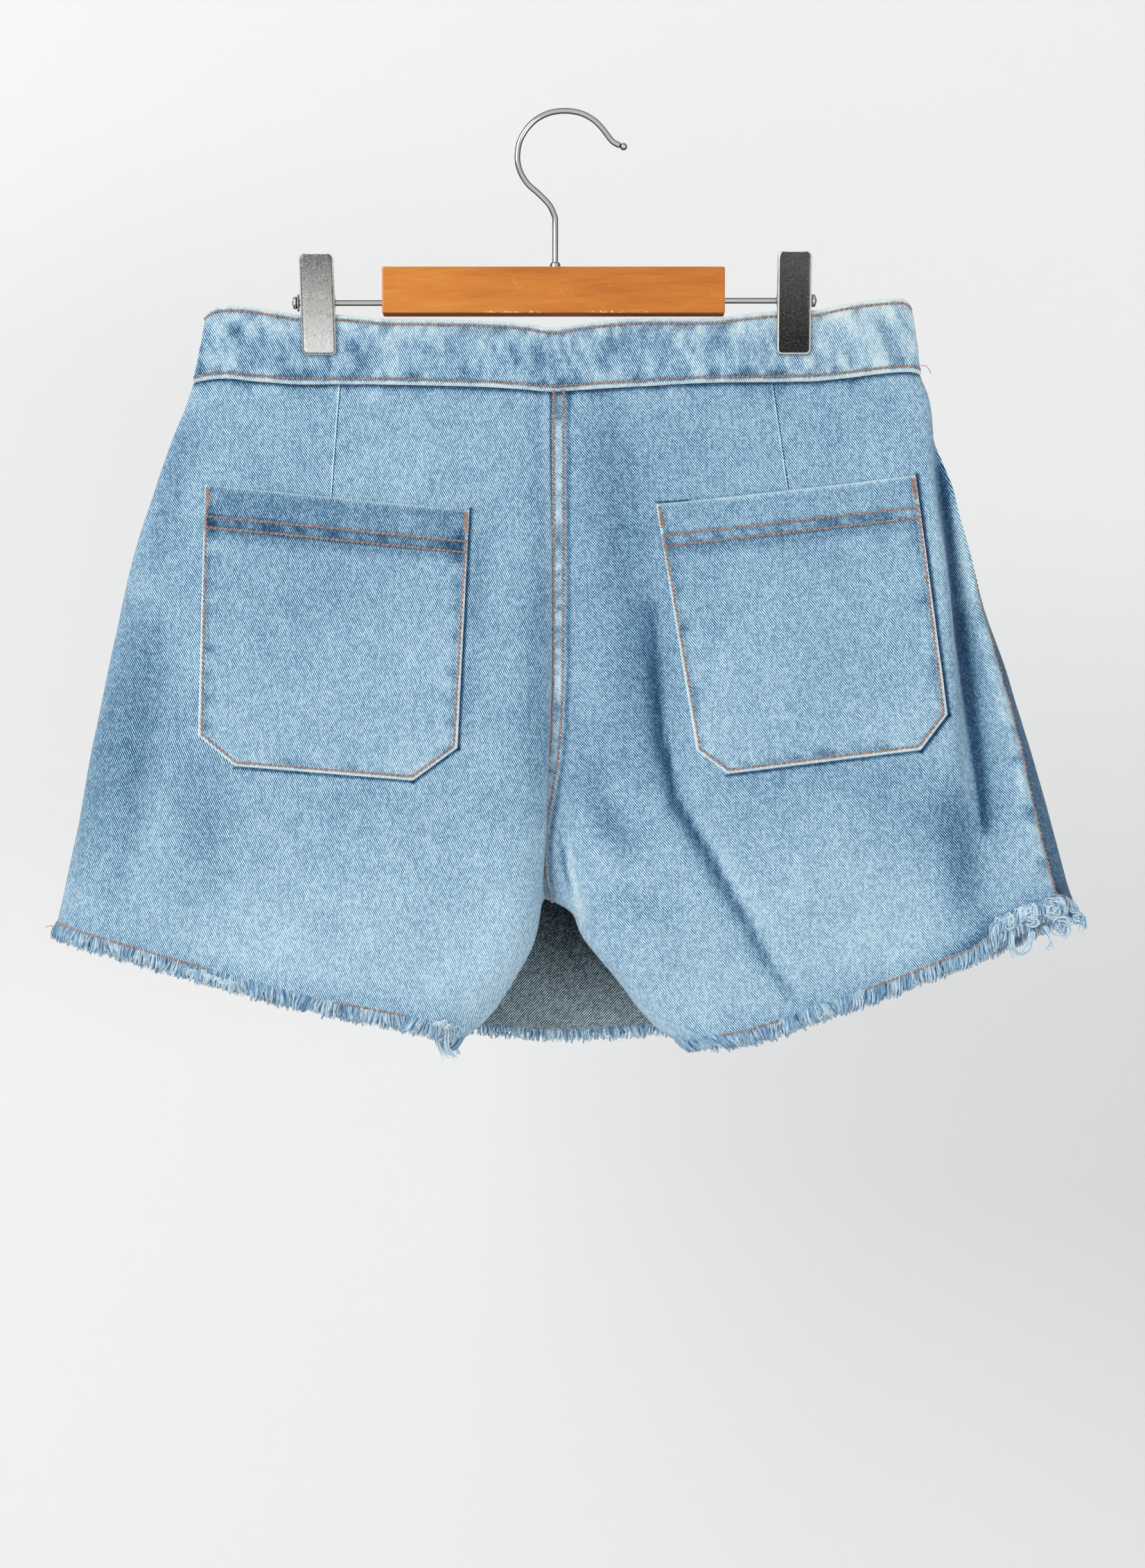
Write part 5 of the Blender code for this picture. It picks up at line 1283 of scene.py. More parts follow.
def line_object(name: str, lines: Sequence[tuple[Array, dict[str, Array]]]) -> Object:
    """An object of loose edges that carries vectors for a repeat to follow.

    Args:
        name: the object's name.
        lines: for each line its points in mm and its vectors by name.

    Returns:
        The object, in the scene.
    """
    points, edges, start = [], [], 0
    for line, _ in lines:
        points.append(line * MM)
        edges += [(start + step, start + step + 1) for step in range(len(line) - 1)]
        start += len(line)
    mesh = bpy.data.meshes.new(name)
    mesh.from_pydata(np.concatenate(points).tolist(), edges, [])
    for label in lines[0][1]:
        layer = mesh.attributes.new(label, "FLOAT_VECTOR", "POINT")
        values = np.concatenate([vectors[label] for _, vectors in lines])
        layer.data.foreach_set("vector", values.astype(np.float32).ravel())
    made = bpy.data.objects.new(name, mesh)
    bpy.context.scene.collection.objects.link(made)
    return made


def repeat_tree(name: str, inputs: dict[str, tuple[str, object]]
                ) -> tuple[Tree, Bench, dict, Node]:
    """Starts a geometry node tree with named inputs.

    Args:
        name: the tree's name.
        inputs: for each input its socket type and value.

    Returns:
        The tree, a bench on it, its input sockets by name, and its output node.
    """
    tree = bpy.data.node_groups.new(name, "GeometryNodeTree")
    tree.interface.new_socket(name="Geometry", in_out="INPUT", socket_type="NodeSocketGeometry")
    name_inputs(tree, inputs)
    tree.interface.new_socket(name="Geometry", in_out="OUTPUT", socket_type="NodeSocketGeometry")
    bench = Bench(tree)
    entry, leave = bench.add("NodeGroupInput"), bench.add("NodeGroupOutput")
    return tree, bench, {socket.name: socket for socket in entry.outputs if socket.name}, leave


def vector_mark(bench: Bench, name: str) -> Socket:
    """Reads a vector attribute in a geometry node tree."""
    return bench.add("GeometryNodeInputNamedAttribute", {"Name": name},
                     data_type="FLOAT_VECTOR").outputs["Attribute"]


def spaced_points(bench: Bench, given: dict, spacing: str) -> Socket:
    """Points along the given edges, as far apart as the input that spacing names."""
    curve = bench.add("GeometryNodeMeshToCurve", {"Mesh": given["Geometry"]})
    return bench.add("GeometryNodeResampleCurve", {"Curve": curve.outputs[0],
                                                   "Length": given[spacing]},
                     mode="LENGTH").outputs[0]


def chance_vector(bench: Bench, given: dict, low: tuple, high: tuple) -> Socket:
    """A random vector between two others for each point."""
    return bench.add("FunctionNodeRandomValue", {0: low, 1: high, "Seed": given["Seed"]},
                     data_type="FLOAT_VECTOR").outputs[0]


def put_out(bench: Bench, leave: Node, instances: Socket, material: Socket) -> None:
    """Ends a tree: the instances as one smooth mesh in their material."""
    solid = bench.add("GeometryNodeRealizeInstances", {0: instances})
    soft = bench.add("GeometryNodeSetShadeSmooth", {0: solid.outputs[0]})
    dressed = bench.add("GeometryNodeSetMaterial", {"Geometry": soft.outputs[0],
                                                    "Material": material})
    bench.fill(leave, {0: dressed.outputs[0]})


def stitch_tree() -> Tree:
    """Stitches along a line: short threads that rise from the cloth and dip into it."""
    tree, bench, given, leave = repeat_tree("stitch_row", {
        "Pitch": (NUMBER, 0.0035), "Length": (NUMBER, 0.0029), "Thickness": (NUMBER, 0.0005),
        "Height": (NUMBER, 0.0005), "Seed": ("NodeSocketInt", 1),
        "Thread": ("NodeSocketMaterial", None)})
    spaced = spaced_points(bench, given, "Pitch")
    tangent = bench.add("GeometryNodeInputTangent")
    turn = bench.add("FunctionNodeAxesToRotation", {0: tangent.outputs[0],
                                                    1: vector_mark(bench, "facing")},
                     primary_axis="X", secondary_axis="Z")
    half = bench.times(given["Length"], 0.5)
    dip = bench.times(given["Thickness"], -0.45)
    start = bench.add("ShaderNodeCombineXYZ", {0: bench.times(half, -1.0), 2: dip})
    end = bench.add("ShaderNodeCombineXYZ", {0: half, 2: dip})
    top = bench.add("ShaderNodeCombineXYZ", {2: given["Height"]})
    arc = bench.add("GeometryNodeCurveQuadraticBezier", {
        "Resolution": 5, "Start": start.outputs[0], "Middle": top.outputs[0],
        "End": end.outputs[0]})
    ring = bench.add("GeometryNodeCurvePrimitiveCircle", {
        "Resolution": 6, "Radius": bench.times(given["Thickness"], 0.5)},
                     mode="RADIUS")
    thread = bench.add("GeometryNodeCurveToMesh", {"Curve": arc.outputs[0],
                                                   "Profile Curve": ring.outputs[0],
                                                   "Fill Caps": True})
    twist = chance_vector(bench, given, (-0.03, -0.05, 0.12), (0.03, 0.05, 0.36))
    turned = bench.add("FunctionNodeRotateRotation", {0: turn.outputs[0], 1: twist},
                       rotation_space="LOCAL")
    size = chance_vector(bench, given, (0.88, 0.85, 0.85), (1.06, 1.15, 1.15))
    placed = bench.add("GeometryNodeInstanceOnPoints", {
        "Points": spaced, "Instance": thread.outputs[0],
        "Rotation": turned.outputs[0], "Scale": size})
    put_out(bench, leave, placed.outputs[0], given["Thread"])
    return tree


def fringe_tree() -> Tree:
    """Locks of loose yarn that hang from a raw edge and lean this way and that."""
    tree, bench, given, leave = repeat_tree("fringe_row", {
        "Spacing": (NUMBER, 0.001), "Size": (NUMBER, 1.0), "Lean": (NUMBER, 0.5),
        "Spread": (NUMBER, 0.3), "Kinds": (NUMBER, 16.0), "Seed": ("NodeSocketInt", 1),
        "Locks": ("NodeSocketCollection", None), "Yarn": ("NodeSocketMaterial", None)})
    spaced = spaced_points(bench, given, "Spacing")
    turn = bench.add("FunctionNodeAxesToRotation", {0: vector_mark(bench, "rise"),
                                                    1: vector_mark(bench, "facing")},
                     primary_axis="Z", secondary_axis="Y")
    place = bench.add("GeometryNodeInputPosition")
    slow = bench.add("ShaderNodeTexNoise", {"Vector": place.outputs[0], "Scale": 70.0,
                                            "Detail": 1.0})
    other = bench.add("ShaderNodeTexNoise", {
        "Vector": bench.add("ShaderNodeVectorMath", {0: place.outputs[0], 1: (0.3, 0.1, 0.2)},
                            operation="ADD").outputs[0], "Scale": 85.0, "Detail": 1.0})
    lean = bench.times(bench.minus(slow.outputs[0], 0.5), bench.times(given["Lean"], 4.0))
    parts = bench.parts(chance_vector(bench, given, (-0.5, -1.0, -2.0), (0.5, 1.0, 2.0)))
    swing = bench.add("ShaderNodeCombineXYZ", {
        0: bench.times(parts[0], given["Spread"]),
        1: bench.plus(bench.times(parts[1], given["Spread"]), lean),
        2: bench.times(parts[2], 0.35)})
    turned = bench.add("FunctionNodeRotateRotation", {0: turn.outputs[0], 1: swing.outputs[0]},
                       rotation_space="LOCAL")
    locks = bench.add("GeometryNodeCollectionInfo", {"Collection": given["Locks"],
                                                     "Separate Children": True,
                                                     "Reset Children": True})
    jitter = bench.add("FunctionNodeRandomValue", {2: -1.6, 3: 1.6, "Seed": given["Seed"]},
                       data_type="FLOAT")
    spread = bench.minus(bench.times(other.outputs[0], 2.2), 0.6)
    kind = bench.plus(bench.times(spread, given["Kinds"]), jitter.outputs[1])
    which = bench.add("FunctionNodeFloatToInt", {0: kind}, rounding_mode="FLOOR")
    size = chance_vector(bench, given, (0.85, 0.85, 0.8), (1.15, 1.1, 1.08))
    placed = bench.add("GeometryNodeInstanceOnPoints", {
        "Points": spaced, "Instance": locks.outputs[0], "Pick Instance": True,
        "Instance Index": which.outputs[0], "Rotation": turned.outputs[0],
        "Scale": size})
    sized = bench.add("GeometryNodeScaleInstances", {
        "Instances": placed.outputs[0], "Local Space": True, "Scale": bench.add(
            "ShaderNodeCombineXYZ", {0: 1.0, 1: 1.0, 2: given["Size"]}).outputs[0]})
    put_out(bench, leave, sized.outputs[0], given["Yarn"])
    return tree


def run_tree(made: Object, tree: Tree, values: dict[str, object]) -> None:
    """Runs a geometry node tree on an object and keeps the result as its mesh.

    Args:
        made: the object.
        tree: the tree.
        values: its inputs by name.
    """
    modifier = made.modifiers.new(tree.name, "NODES")
    modifier.node_group = tree
    known = {item.name: item.identifier for item in tree.interface.items_tree
             if item.in_out == "INPUT"}
    for label, value in values.items():
        modifier[known[label]] = value
    made.update_tag()
    bpy.context.view_layer.update()
    graph = bpy.context.evaluated_depsgraph_get()
    mesh = bpy.data.meshes.new_from_object(made.evaluated_get(graph),
                                           preserve_all_data_layers=True, depsgraph=graph)
    made.modifiers.clear()
    made.data = mesh


def ring_faces(rings: int, sides: int) -> list[tuple[int, ...]]:
    """The faces between rings of points that follow each other."""
    return [(here + side, here + (side + 1) % sides, here + sides + (side + 1) % sides,
             here + sides + side) for here in range(0, (rings - 1) * sides, sides)
            for side in range(sides)]


def tube(path: Array, radii: Array, sides: int) -> tuple[Array, list]:
    """A closed round tube along a path.

    Args:
        path: points of its middle line.
        radii: radius at each point.
        sides: corners of its section.

    Returns:
        Its points and its faces.
    """
    tangents = unit(np.gradient(path, axis=0))
    across = np.cross(tangents, (0.0, 1.0, 0.0))
    across = np.where(lengths_of(across) < 0.05, np.cross(tangents, (1.0, 0.0, 0.0)), across)
    across = unit(across)
    third = np.cross(tangents, across)
    turns = np.arange(sides) * 2.0 * math.pi / sides
    rings = (across[:, None] * np.cos(turns)[None, :, None]
             + third[:, None] * np.sin(turns)[None, :, None]) * radii[:, None, None]
    points = (path[:, None] + rings).reshape(-1, 3)
    ends = tuple(range(sides))[::-1], tuple(range(len(points) - sides, len(points)))
    return points, [*ring_faces(len(path), sides), *ends]


@dataclass
class Tubes:
    """Closed round tubes gathered for one mesh: points in mm, faces, and marks of the yarn."""

    points: list = field(default_factory=list)
    faces: list = field(default_factory=list)
    marks: dict[str, list] = field(default_factory=lambda: {"tone": [], "reach": []})

    def add(self, path: Array, radii: Array, sides: int) -> None:
        """Adds a tube along a path."""
        more, around = tube(path, radii, sides)
        self.faces += [tuple(index + len(self.points) for index in face) for face in around]
        self.points += more.tolist()

    def mark(self, tone: float, shares: Array, sides: int) -> None:
        """Notes the tone of the last yarn, and how far along it each ring of points lies."""
        self.marks["tone"] += [tone] * (len(shares) * sides)
        self.marks["reach"] += np.repeat(shares, sides).tolist()

    def mesh(self, name: str) -> Mesh:
        """The mesh, in metres, with its marks."""
        mesh = bpy.data.meshes.new(name)
        mesh.from_pydata((np.array(self.points) * MM).tolist(), [], self.faces)
        keep_marks(mesh, self.marks)
        return mesh


@dataclass
class Sewing:
    """Sewing thread: rows of stitches, bar tacks and loose ends.

    Attributes:
        thread: its material.
        pitch: from one stitch to the next, mm.
        thickness: of the thread, mm.
        clear: how far the foot of a stitch lies above the cloth, mm.
        arch: how high a stitch rises over its foot, m.
        tree: the row of stitches, once it is built.
        count: rows sewn so far, which seeds the next.
    """

    thread: Material
    pitch: float = 2.6
    thickness: float = 1.25
    clear: float = 0.12
    arch: float = 0.0007
    tree: Optional[Tree] = None
    count: int = 0

    def rows(self, name: str, lines: Sequence[tuple[Array, Array]],
             pitch: Optional[float] = None, length: float = 0.74) -> Object:
        """Sews rows of stitches.

        Args:
            name: name of the piece.
            lines: points in mm and outward normals of each row.
            pitch: from one stitch to the next, mm.
            length: share of the pitch that a stitch covers.

        Returns:
            The piece.
        """
        self.tree = self.tree or stitch_tree()
        self.count += 1
        made = line_object(name, [(points + normals * self.clear, {"facing": normals})
                                  for points, normals in lines])
        step = (pitch or self.pitch) * MM
        run_tree(made, self.tree, {"Pitch": step, "Length": step * length,
                                   "Thickness": self.thickness * MM, "Height": self.arch,
                                   "Seed": self.count, "Thread": self.thread})
        return made

    def tacks(self, name: str, spans: Sequence[tuple[Array, Array, Array]],
              width: float) -> Object:
        """Sews bar tacks: close zigzag threads across a short line.

        Args:
            name: name of the piece.
            spans: start, end and outward normal of each tack, mm.
            width: of a tack, mm.

        Returns:
            The piece.
        """
        rng = np.random.default_rng(71)
        threads = Tubes()
        for start, end, normal in spans:
            run = end - start
            across = unit(np.cross(run, normal)) * width * 0.5
            count = max(int(np.linalg.norm(run) / 0.62), 4)
            for step in range(count):
                at = start + run * (step + 0.5) / count
                skew = run / count * rng.uniform(-1.0, 1.0)
                reach = rng.uniform(0.55, 1.25)
                path = np.array([at - across * reach - skew - normal * 0.12,
                                 at - across * 0.6 * reach + normal * 0.30,
                                 at + across * 0.6 * reach + skew + normal * 0.30,
                                 at + across * reach + skew - normal * 0.12])
                threads.add(path, np.full(4, self.thickness * 0.42), 5)
        return show(plain_mesh(name, threads.points, threads.faces, 70.0), [self.thread])

    def loose_ends(self, name: str, paths: Sequence[Sequence[tuple[float, float, float]]]
                   ) -> Object:
        """Short ends of thread that stick out past a seam, each along its points (x, y, z)."""
        threads = Tubes()
        for path in paths:
            line = along(np.array(path, float), np.linspace(0.0, 1.0, 14))
            threads.add(line, np.full(14, 0.2), 5)
        return show(plain_mesh(name, threads.points, threads.faces, 70.0), [self.thread])


@dataclass
class Fraying:
    """Raw edges whose weft yarns have worked loose.

    Attributes:
        yarn: their material.
        drop: how far a lock hangs, mm.
        kinds: how many different locks there are.
        lean: how far neighbouring locks lean together, radians.
        spread: how far single locks stray from that, radians.
        tree: the row of locks, once it is built.
        locks: the patterns that it hangs.
    """

    yarn: Material
    drop: float = 10.4
    kinds: int = 16
    lean: float = 0.45
    spread: float = 0.13
    tree: Optional[Tree] = None
    locks: Optional[bpy.types.Collection] = None

    def lock(self, seed: int) -> Object:
        """One lock of a few curling yarns that hangs along -Z from the origin."""
        rng = np.random.default_rng(500 + seed)
        yarns = Tubes()
        sweep = -2.1 + 3.4 * seed / self.kinds + rng.uniform(-0.3, 0.3)
        bulge, coil = rng.uniform(0.6, 1.7), rng.uniform(-0.9, 0.9)
        long = self.drop * rng.uniform(0.84, 1.0)
        for strand in range(3):
            root = (strand - 1.0) * 0.42 + rng.uniform(-0.12, 0.12), rng.uniform(-0.4, 0.3)
            curl, phase = rng.uniform(0.05, 0.35), rng.uniform(0, 6.3)
            reach = long * rng.uniform(0.9, 1.0)
            share = np.linspace(0.0, 1.0, 9)
            path = np.stack([
                root[0] + sweep * share ** 2.2 + curl * share * np.sin(7.0 * share + phase)
                + coil * np.sin(3.1 * share) * share,
                root[1] + bulge * np.sin(2.6 * share) + curl * share * np.cos(7.0 * share + phase),
                0.8 - reach * (share - 0.10 * abs(sweep) / 3.4 * share ** 3)], axis=1)
            yarns.add(path, 0.33 * (1.0 - 0.35 * share ** 3), 3)
            yarns.mark(rng.beta(1.3, 0.9), share, 3)
        return bpy.data.objects.new("lock", yarns.mesh("lock"))

    def hang(self, name: str, lines: Sequence[tuple[Array, Array, Array]], spacing: float,
             seed: int, size: float) -> Object:
        """Hangs locks along edges.

        Args:
            name: name of the piece.
            lines: for each edge its points in mm, the way up the cloth and the way out.
            spacing: from one lock to the next, mm.
            seed: fixed seed.
            size: length of the locks as a share of their own.

        Returns:
            The piece.
        """
        if self.tree is None:
            self.tree = fringe_tree()
            self.locks = bpy.data.collections.new("locks")
            for kind in range(self.kinds):
                self.locks.objects.link(self.lock(kind))
        made = line_object(name, [(points, {"rise": rise, "facing": facing})
                                  for points, rise, facing in lines])
        run_tree(made, self.tree, {
            "Spacing": spacing * MM, "Size": size, "Lean": self.lean, "Spread": self.spread,
            "Kinds": float(self.kinds), "Seed": seed, "Locks": self.locks, "Yarn": self.yarn})
        return made

    def clear(self) -> None:
        """Removes the patterns of the locks."""
        for lock in list(self.locks.objects) if self.locks else ():
            bpy.data.objects.remove(lock)


@dataclass(frozen=True)
class Curls:
    """A knot of long frayed yarns: coils, loops folded up over a hem, and bundles.

    Attributes:
        name: name of the piece.
        coils: x, z and radius of each coil, and its number of rings.
        hem: (x, z) of the hem line that loops rise from, and their height, mm.
        loops: how many bundles of loops stand along it.
        bundles: for each bundle its path (x, z) as seen from the back and its number of yarns.
        lean: how far the loops reach sideways, mm.
        lift: how far all lie above the cloth, mm.
    """

    name: str
    coils: tuple[tuple[float, float, float, int], ...] = ()
    hem: Path = ()
    height: float = 6.0
    loops: int = 0
    bundles: tuple[tuple[Path, int], ...] = ()
    lean: float = -3.0
    lift: float = 1.2

    def flat_paths(self, rng: np.random.Generator) -> Iterable[tuple[Array, Array]]:
        """Yields each yarn's (x, z) and its height above the cloth, mm."""
        share = np.linspace(0.0, 1.0, 22)
        for x, z, radius, rings in self.coils:
            for _ in range(rings):
                around = rng.uniform(0.0, 6.3)
                angle = around + share * rng.uniform(2.0, 5.0) * rng.choice((-1.0, 1.0))
                size = radius * rng.uniform(0.3, 0.75)
                off = radius * rng.uniform(0.1, 0.5), rng.uniform(0.0, 6.3)
                flat = rng.uniform(0.55, 1.0)
                yield (np.stack([x + off[0] * math.cos(off[1]) + size * np.cos(angle),
                                 z + off[0] * math.sin(off[1]) + size * flat * np.sin(angle)],
                                axis=1),
                       self.lift * 0.5 + rng.uniform(0.0, 2.6) + 0.9 * np.sin(angle * 1.3))
        hem = np.array(self.hem, float)
        for number in range(self.loops):
            at = (number + 0.5) / self.loops * (len(hem) - 1)
            index = min(int(at), len(hem) - 2)
            foot = hem[index] + (hem[index + 1] - hem[index]) * (at - index)
            lean, rise = self.lean * rng.uniform(0.5, 1.3), self.height * rng.uniform(0.7, 1.1)
            for _ in range(15):
                start = foot + rng.normal(0.0, (1.1, 0.5))
                controls = np.array([start, start + (lean * 0.2, rise * 0.8),
                                     start + (lean * 0.7, rise * rng.uniform(0.9, 1.1)),
                                     start + (lean * 1.2, rise * 0.45),
                                     start + (lean * rng.uniform(0.9, 1.5),
                                              -rise * rng.uniform(0.0, 0.7))])
                yield self.bent(controls, rng, share)
        for path, count in self.bundles:
            line = np.array(path, float)
            for _ in range(count):
                far = np.linspace(0.0, 1.0, len(line))[:, None]
                yield self.bent(line + rng.normal(0.0, 0.8, 2) * (1 - far)
                                + rng.normal(0.0, 1.1, 2) * far, rng, share)

    def bent(self, controls: Array, rng: np.random.Generator, share: Array) -> tuple[Array, Array]:
        """A yarn through control points (x, z), and its height above the cloth."""
        flat = along(np.column_stack([controls, np.zeros(len(controls))]),
                     share * rng.uniform(0.75, 1.0))[:, :2]
        return flat, self.lift * 0.3 + rng.uniform(0.3, 2.4) * np.sin(0.15 + 2.75 * share)

    def build(self, surface: BVHTree, yarn: Material, depth: float) -> Object:
        """Builds the knot.

        Args:
            surface: the cloth that it lies on.
            yarn: its material.
            depth: y where there is no cloth behind it, mm.

        Returns:
            The piece.
        """
        rng = np.random.default_rng(907 + len(self.name))
        yarns = Tubes()
        for flat, height in self.flat_paths(rng):
            path, rest = [], depth
            for (x, z), above in zip(flat, height):
                found = cast(surface, x, z)
                if found:
                    rest = rest * 0.5 + found[0][1] * 0.5
                path.append((x, rest - above, z))
            share = np.linspace(0.0, 1.0, len(path))
            yarns.add(np.array(path), 0.30 * (1.0 - 0.4 * share ** 4), 4)
            yarns.mark(0.2 + 0.8 * rng.beta(1.6, 0.9), share, 4)
        mesh = yarns.mesh(self.name)
        mesh.shade_smooth()
        return show(mesh, [yarn])


# ---------------------------------------------------------------- garment

@dataclass(frozen=True)
class PanelPlan:
    """How one cut panel is lofted.

    Attributes:
        name: its node in the CAD model.
        lines: style lines from one side of it to the other; "a/b" joins two at the crotch.
        cells: columns of the solid between them.
        outward: -1 where its middle faces the back, 1 the front.
        before: style line that leads the loft in.
        after: style line that leads it out.
        refine: fine columns for each column of the solid.
        slant: angle of its twill lines from the level, degrees.
        flat: width and length of its cut, mm.
    """

    name: str
    lines: tuple[str, ...]
    cells: tuple[int, ...]
    outward: float
    before: Optional[str] = None
    after: Optional[str] = None
    refine: int = 6
    slant: float = 63.0
    flat: tuple[float, float] = (270.0, 320.0)


PLANS = (
    PanelPlan("back_left",
              ("left_seam", "left_edge", "left_shoulder", "left_outer", "left_middle",
               "left_inner", "left_crest", "left_fold", "centre_back/left_inseam"),
              (2, 2, 3, 3, 3, 3, 2, 2), -1.0, before="skirt_left_turn", flat=(270.0, 335.0)),
    PanelPlan("back_right",
              ("centre_back/right_inseam", "right_fold", "right_crest", "right_inner",
               "right_middle", "right_outer", "right_ridge", "right_lip", "right_valley",
               "right_ridge_two", "right_seam"),
              (2, 2, 3, 3, 3, 3, 1, 2, 2, 2), -1.0, after="skirt_right_edge", slant=49.0,
              flat=(275.0, 340.0)),
    PanelPlan("skirt_front",
              ("right_seam", "skirt_right_edge", "skirt_right_turn", "skirt_right",
               "skirt_right_middle", "skirt_centre", "skirt_left_middle", "skirt_left",
               "skirt_left_turn", "left_seam"),
              (2, 2, 3, 3, 3, 3, 3, 3, 2), 1.0, before="right_ridge_two", after="left_edge",
              refine=4, slant=-48.0, flat=(540.0, 345.0)),
    PanelPlan("front_left",
              ("front_left_seam", "front_left_turn", "front_left", "front_left_middle",
               "front_left_inner", "front_left_crest", "centre_front/left_inseam"),
              (2, 3, 3, 3, 2, 2), 1.0, refine=2, flat=(245.0, 330.0)),
    PanelPlan("front_right",
              ("centre_front/right_inseam", "front_right_crest", "front_right_inner",
               "front_right_middle", "front_right", "front_right_turn", "front_right_seam"),
              (2, 2, 3, 3, 3, 2), 1.0, refine=2, flat=(250.0, 330.0)))

# Creases of the panels: path, depth, reach on both sides, and how sharply each fades.
CREASES: dict[str, tuple[Crease, ...]] = {
    "skirt_front": (
        Crease(((-172, -190), (-184, -310), (-192, -420)), -1.6, 14, 20, 0.6),
        Crease(((-120, -170), (-128, -300), (-140, -430)), -2.2, 18, 26, 0.6),
        Crease(((-56, -160), (-60, -280), (-58, -400)), -1.4, 20, 16, 0.6),
        Crease(((22, -170), (26, -300), (34, -440)), -2, 20, 24, 0.6),
        Crease(((96, -165), (108, -300), (120, -430)), -2.3, 22, 18, 0.6),
        Crease(((150, -180), (166, -320), (178, -420)), -1.6, 16, 16, 0.6),
    ),
    "back_left": (
        Crease(((-203, -262), (-214, -330), (-226, -418)), 2, 8, 8, 0.5),
        Crease(((-170, -150), (-186, -190), (-196, -240), (-206, -300)), 1.1, 7, 9),
        Crease(((-190, -340), (-196, -380), (-204, -420)), -0.9, 9, 7),
        Crease(((-60, -350), (-46, -385), (-40, -430), (-52, -466)), 1.2, 12, 10),
        Crease(((-36, -150), (-30, -190), (-32, -240), (-40, -300)), 0.7, 9, 14),
        Crease(((-140, -356), (-120, -400), (-112, -450)), 0.6, 18, 14),
        Crease(((-92, -352), (-80, -400), (-82, -452)), -0.7, 16, 12),
    ),
    "back_right": (
        Crease(((46, -240), (49, -299), (54, -334), (64, -356), (78, -381), (94, -409),
                (108, -434), (122, -456)), 4.2, 4.6, 9.5, 0.5),
        Crease(((34, -250), (40, -310), (50, -356), (66, -388), (86, -420)), -1.3, 10, 7),
        Crease(((192, -165), (196, -206), (202, -242), (208, -302), (212, -340), (215, -370)),
               2.4, 2.6, 6.5, 0.5),
        Crease(((188, -180), (192, -230), (197, -300), (200, -350)), -0.8, 6, 3),
        Crease(((14, -330), (18, -352), (28, -370), (44, -384)), 1.7, 8, 9),
        Crease(((22, -398), (40, -410), (60, -414), (76, -424)), 1.3, 9, 10),
        Crease(((30, -430), (48, -436), (70, -448)), -1, 10, 9),
        Crease(((24, -150), (28, -190), (30, -240), (36, -290)), 0.8, 10, 12),
        Crease(((186, -345), (190, -370), (192, -410)), 0.8, 8, 6),
        Crease(((140, -352), (150, -390), (156, -430)), -0.6, 14, 14),
    ),
}
# Stripes of the wash and of painted light: positive ones are paler, several of them painted
# highlights on ridges and fold lips; negative ones are darker, most of them painted shade in
# troughs and valleys and beside folds, seams and pockets.
PAINTED_LIGHT_AND_WASH: dict[str, tuple[Crease, ...]] = {
    # Left panel: painted shade in the leg's troughs, beside the left fold and beside the pocket's
    # right edge, and darker towards the left edge.
    "back_left": (
        Crease(((-203, -262), (-214, -330), (-226, -418)), -0.34, 9, 9, 0.4),
        Crease(((-212, -250), (-230, -320), (-246, -400)), -0.36, 12, 12, 0.5),
        Crease(((-188, -325), (-180, -370), (-176, -410)), -0.26, 14, 16, 0.6),
        Crease(((-186, -150), (-198, -190), (-207, -240)), -0.25, 10, 8),
        Crease(((-12, -150), (-10, -220), (-11, -300), (-12, -372)), -0.22, 8, 7, 0.3),
        Crease(((-40, -210), (-44, -260), (-49, -322)), -0.20, 2.5, 6, 0.3),
    ),
    # Right panel: painted shade in the leg's troughs, along the inner fold, in the valley by the
    # side seam, towards the right corner and between the seam and the pocket, and painted
    # highlights on the ridges and fold lips beside them.
    "back_right": (
        Crease(((48, -250), (52, -318), (60, -354), (76, -381), (92, -409), (106, -434),
                (120, -456)), -0.95, 4.6, 1.6, 0.4),
        Crease(((57, -330), (68, -356), (83, -383), (99, -411), (113, -436)), 0.22, 1.5, 7),
        Crease(((14, -330), (18, -352), (28, -370), (44, -384)), -0.35, 8, 8),
        Crease(((26, -400), (44, -408), (64, -412)), -0.22, 8, 8),
        Crease(((5, -372), (8, -396), (13.5, -415), (9, -420)), 0.5, 3, 2, 0.5),
        Crease(((196, -180), (200, -212), (203, -242), (208, -290), (214, -340), (217, -372)),
               -1.1, 1.7, 3, 0.3),
        Crease(((205, -255), (210, -302), (215, -340), (218, -372)), -0.6, 3, 6.5, 0.4),
        Crease(((203, -196), (207, -226), (214, -262)), 0.5, 3, 3, 0.4),
        Crease(((203, -350), (207, -390), (212, -418)), -0.34, 14, 10, 0.5),
        Crease(((188, -180), (193, -230), (198.5, -300)), 0.25, 4, 2),
        Crease(((196, -340), (200, -380), (206, -420)), -0.25, 8, 10, 0.6),
        Crease(((28, -150), (34, -220), (42, -300), (48, -350)), -0.34, 16, 13, 0.5),
        Crease(((120, -350), (150, -400), (176, -430)), 0.12, 30, 30, 0.5),
        Crease(((192, -150), (196, -192), (201, -230)), -0.35, 3, 4, 0.4),
        Crease(((1, -370), (4, -388), (8, -404)), -0.8, 1.6, 1.2),
        Crease(((194, -440), (206, -432), (216, -424), (224, -414)), -0.7, 5, 7),
    ),
}
# The darts, as DenimFinish.dart takes them.
DARTS = {"back_left": (-112.2, -140, -115.9, -198.9, -1, 7),
         "back_right": (110.4, -140, 117.9, -195.7, 1, -5)}
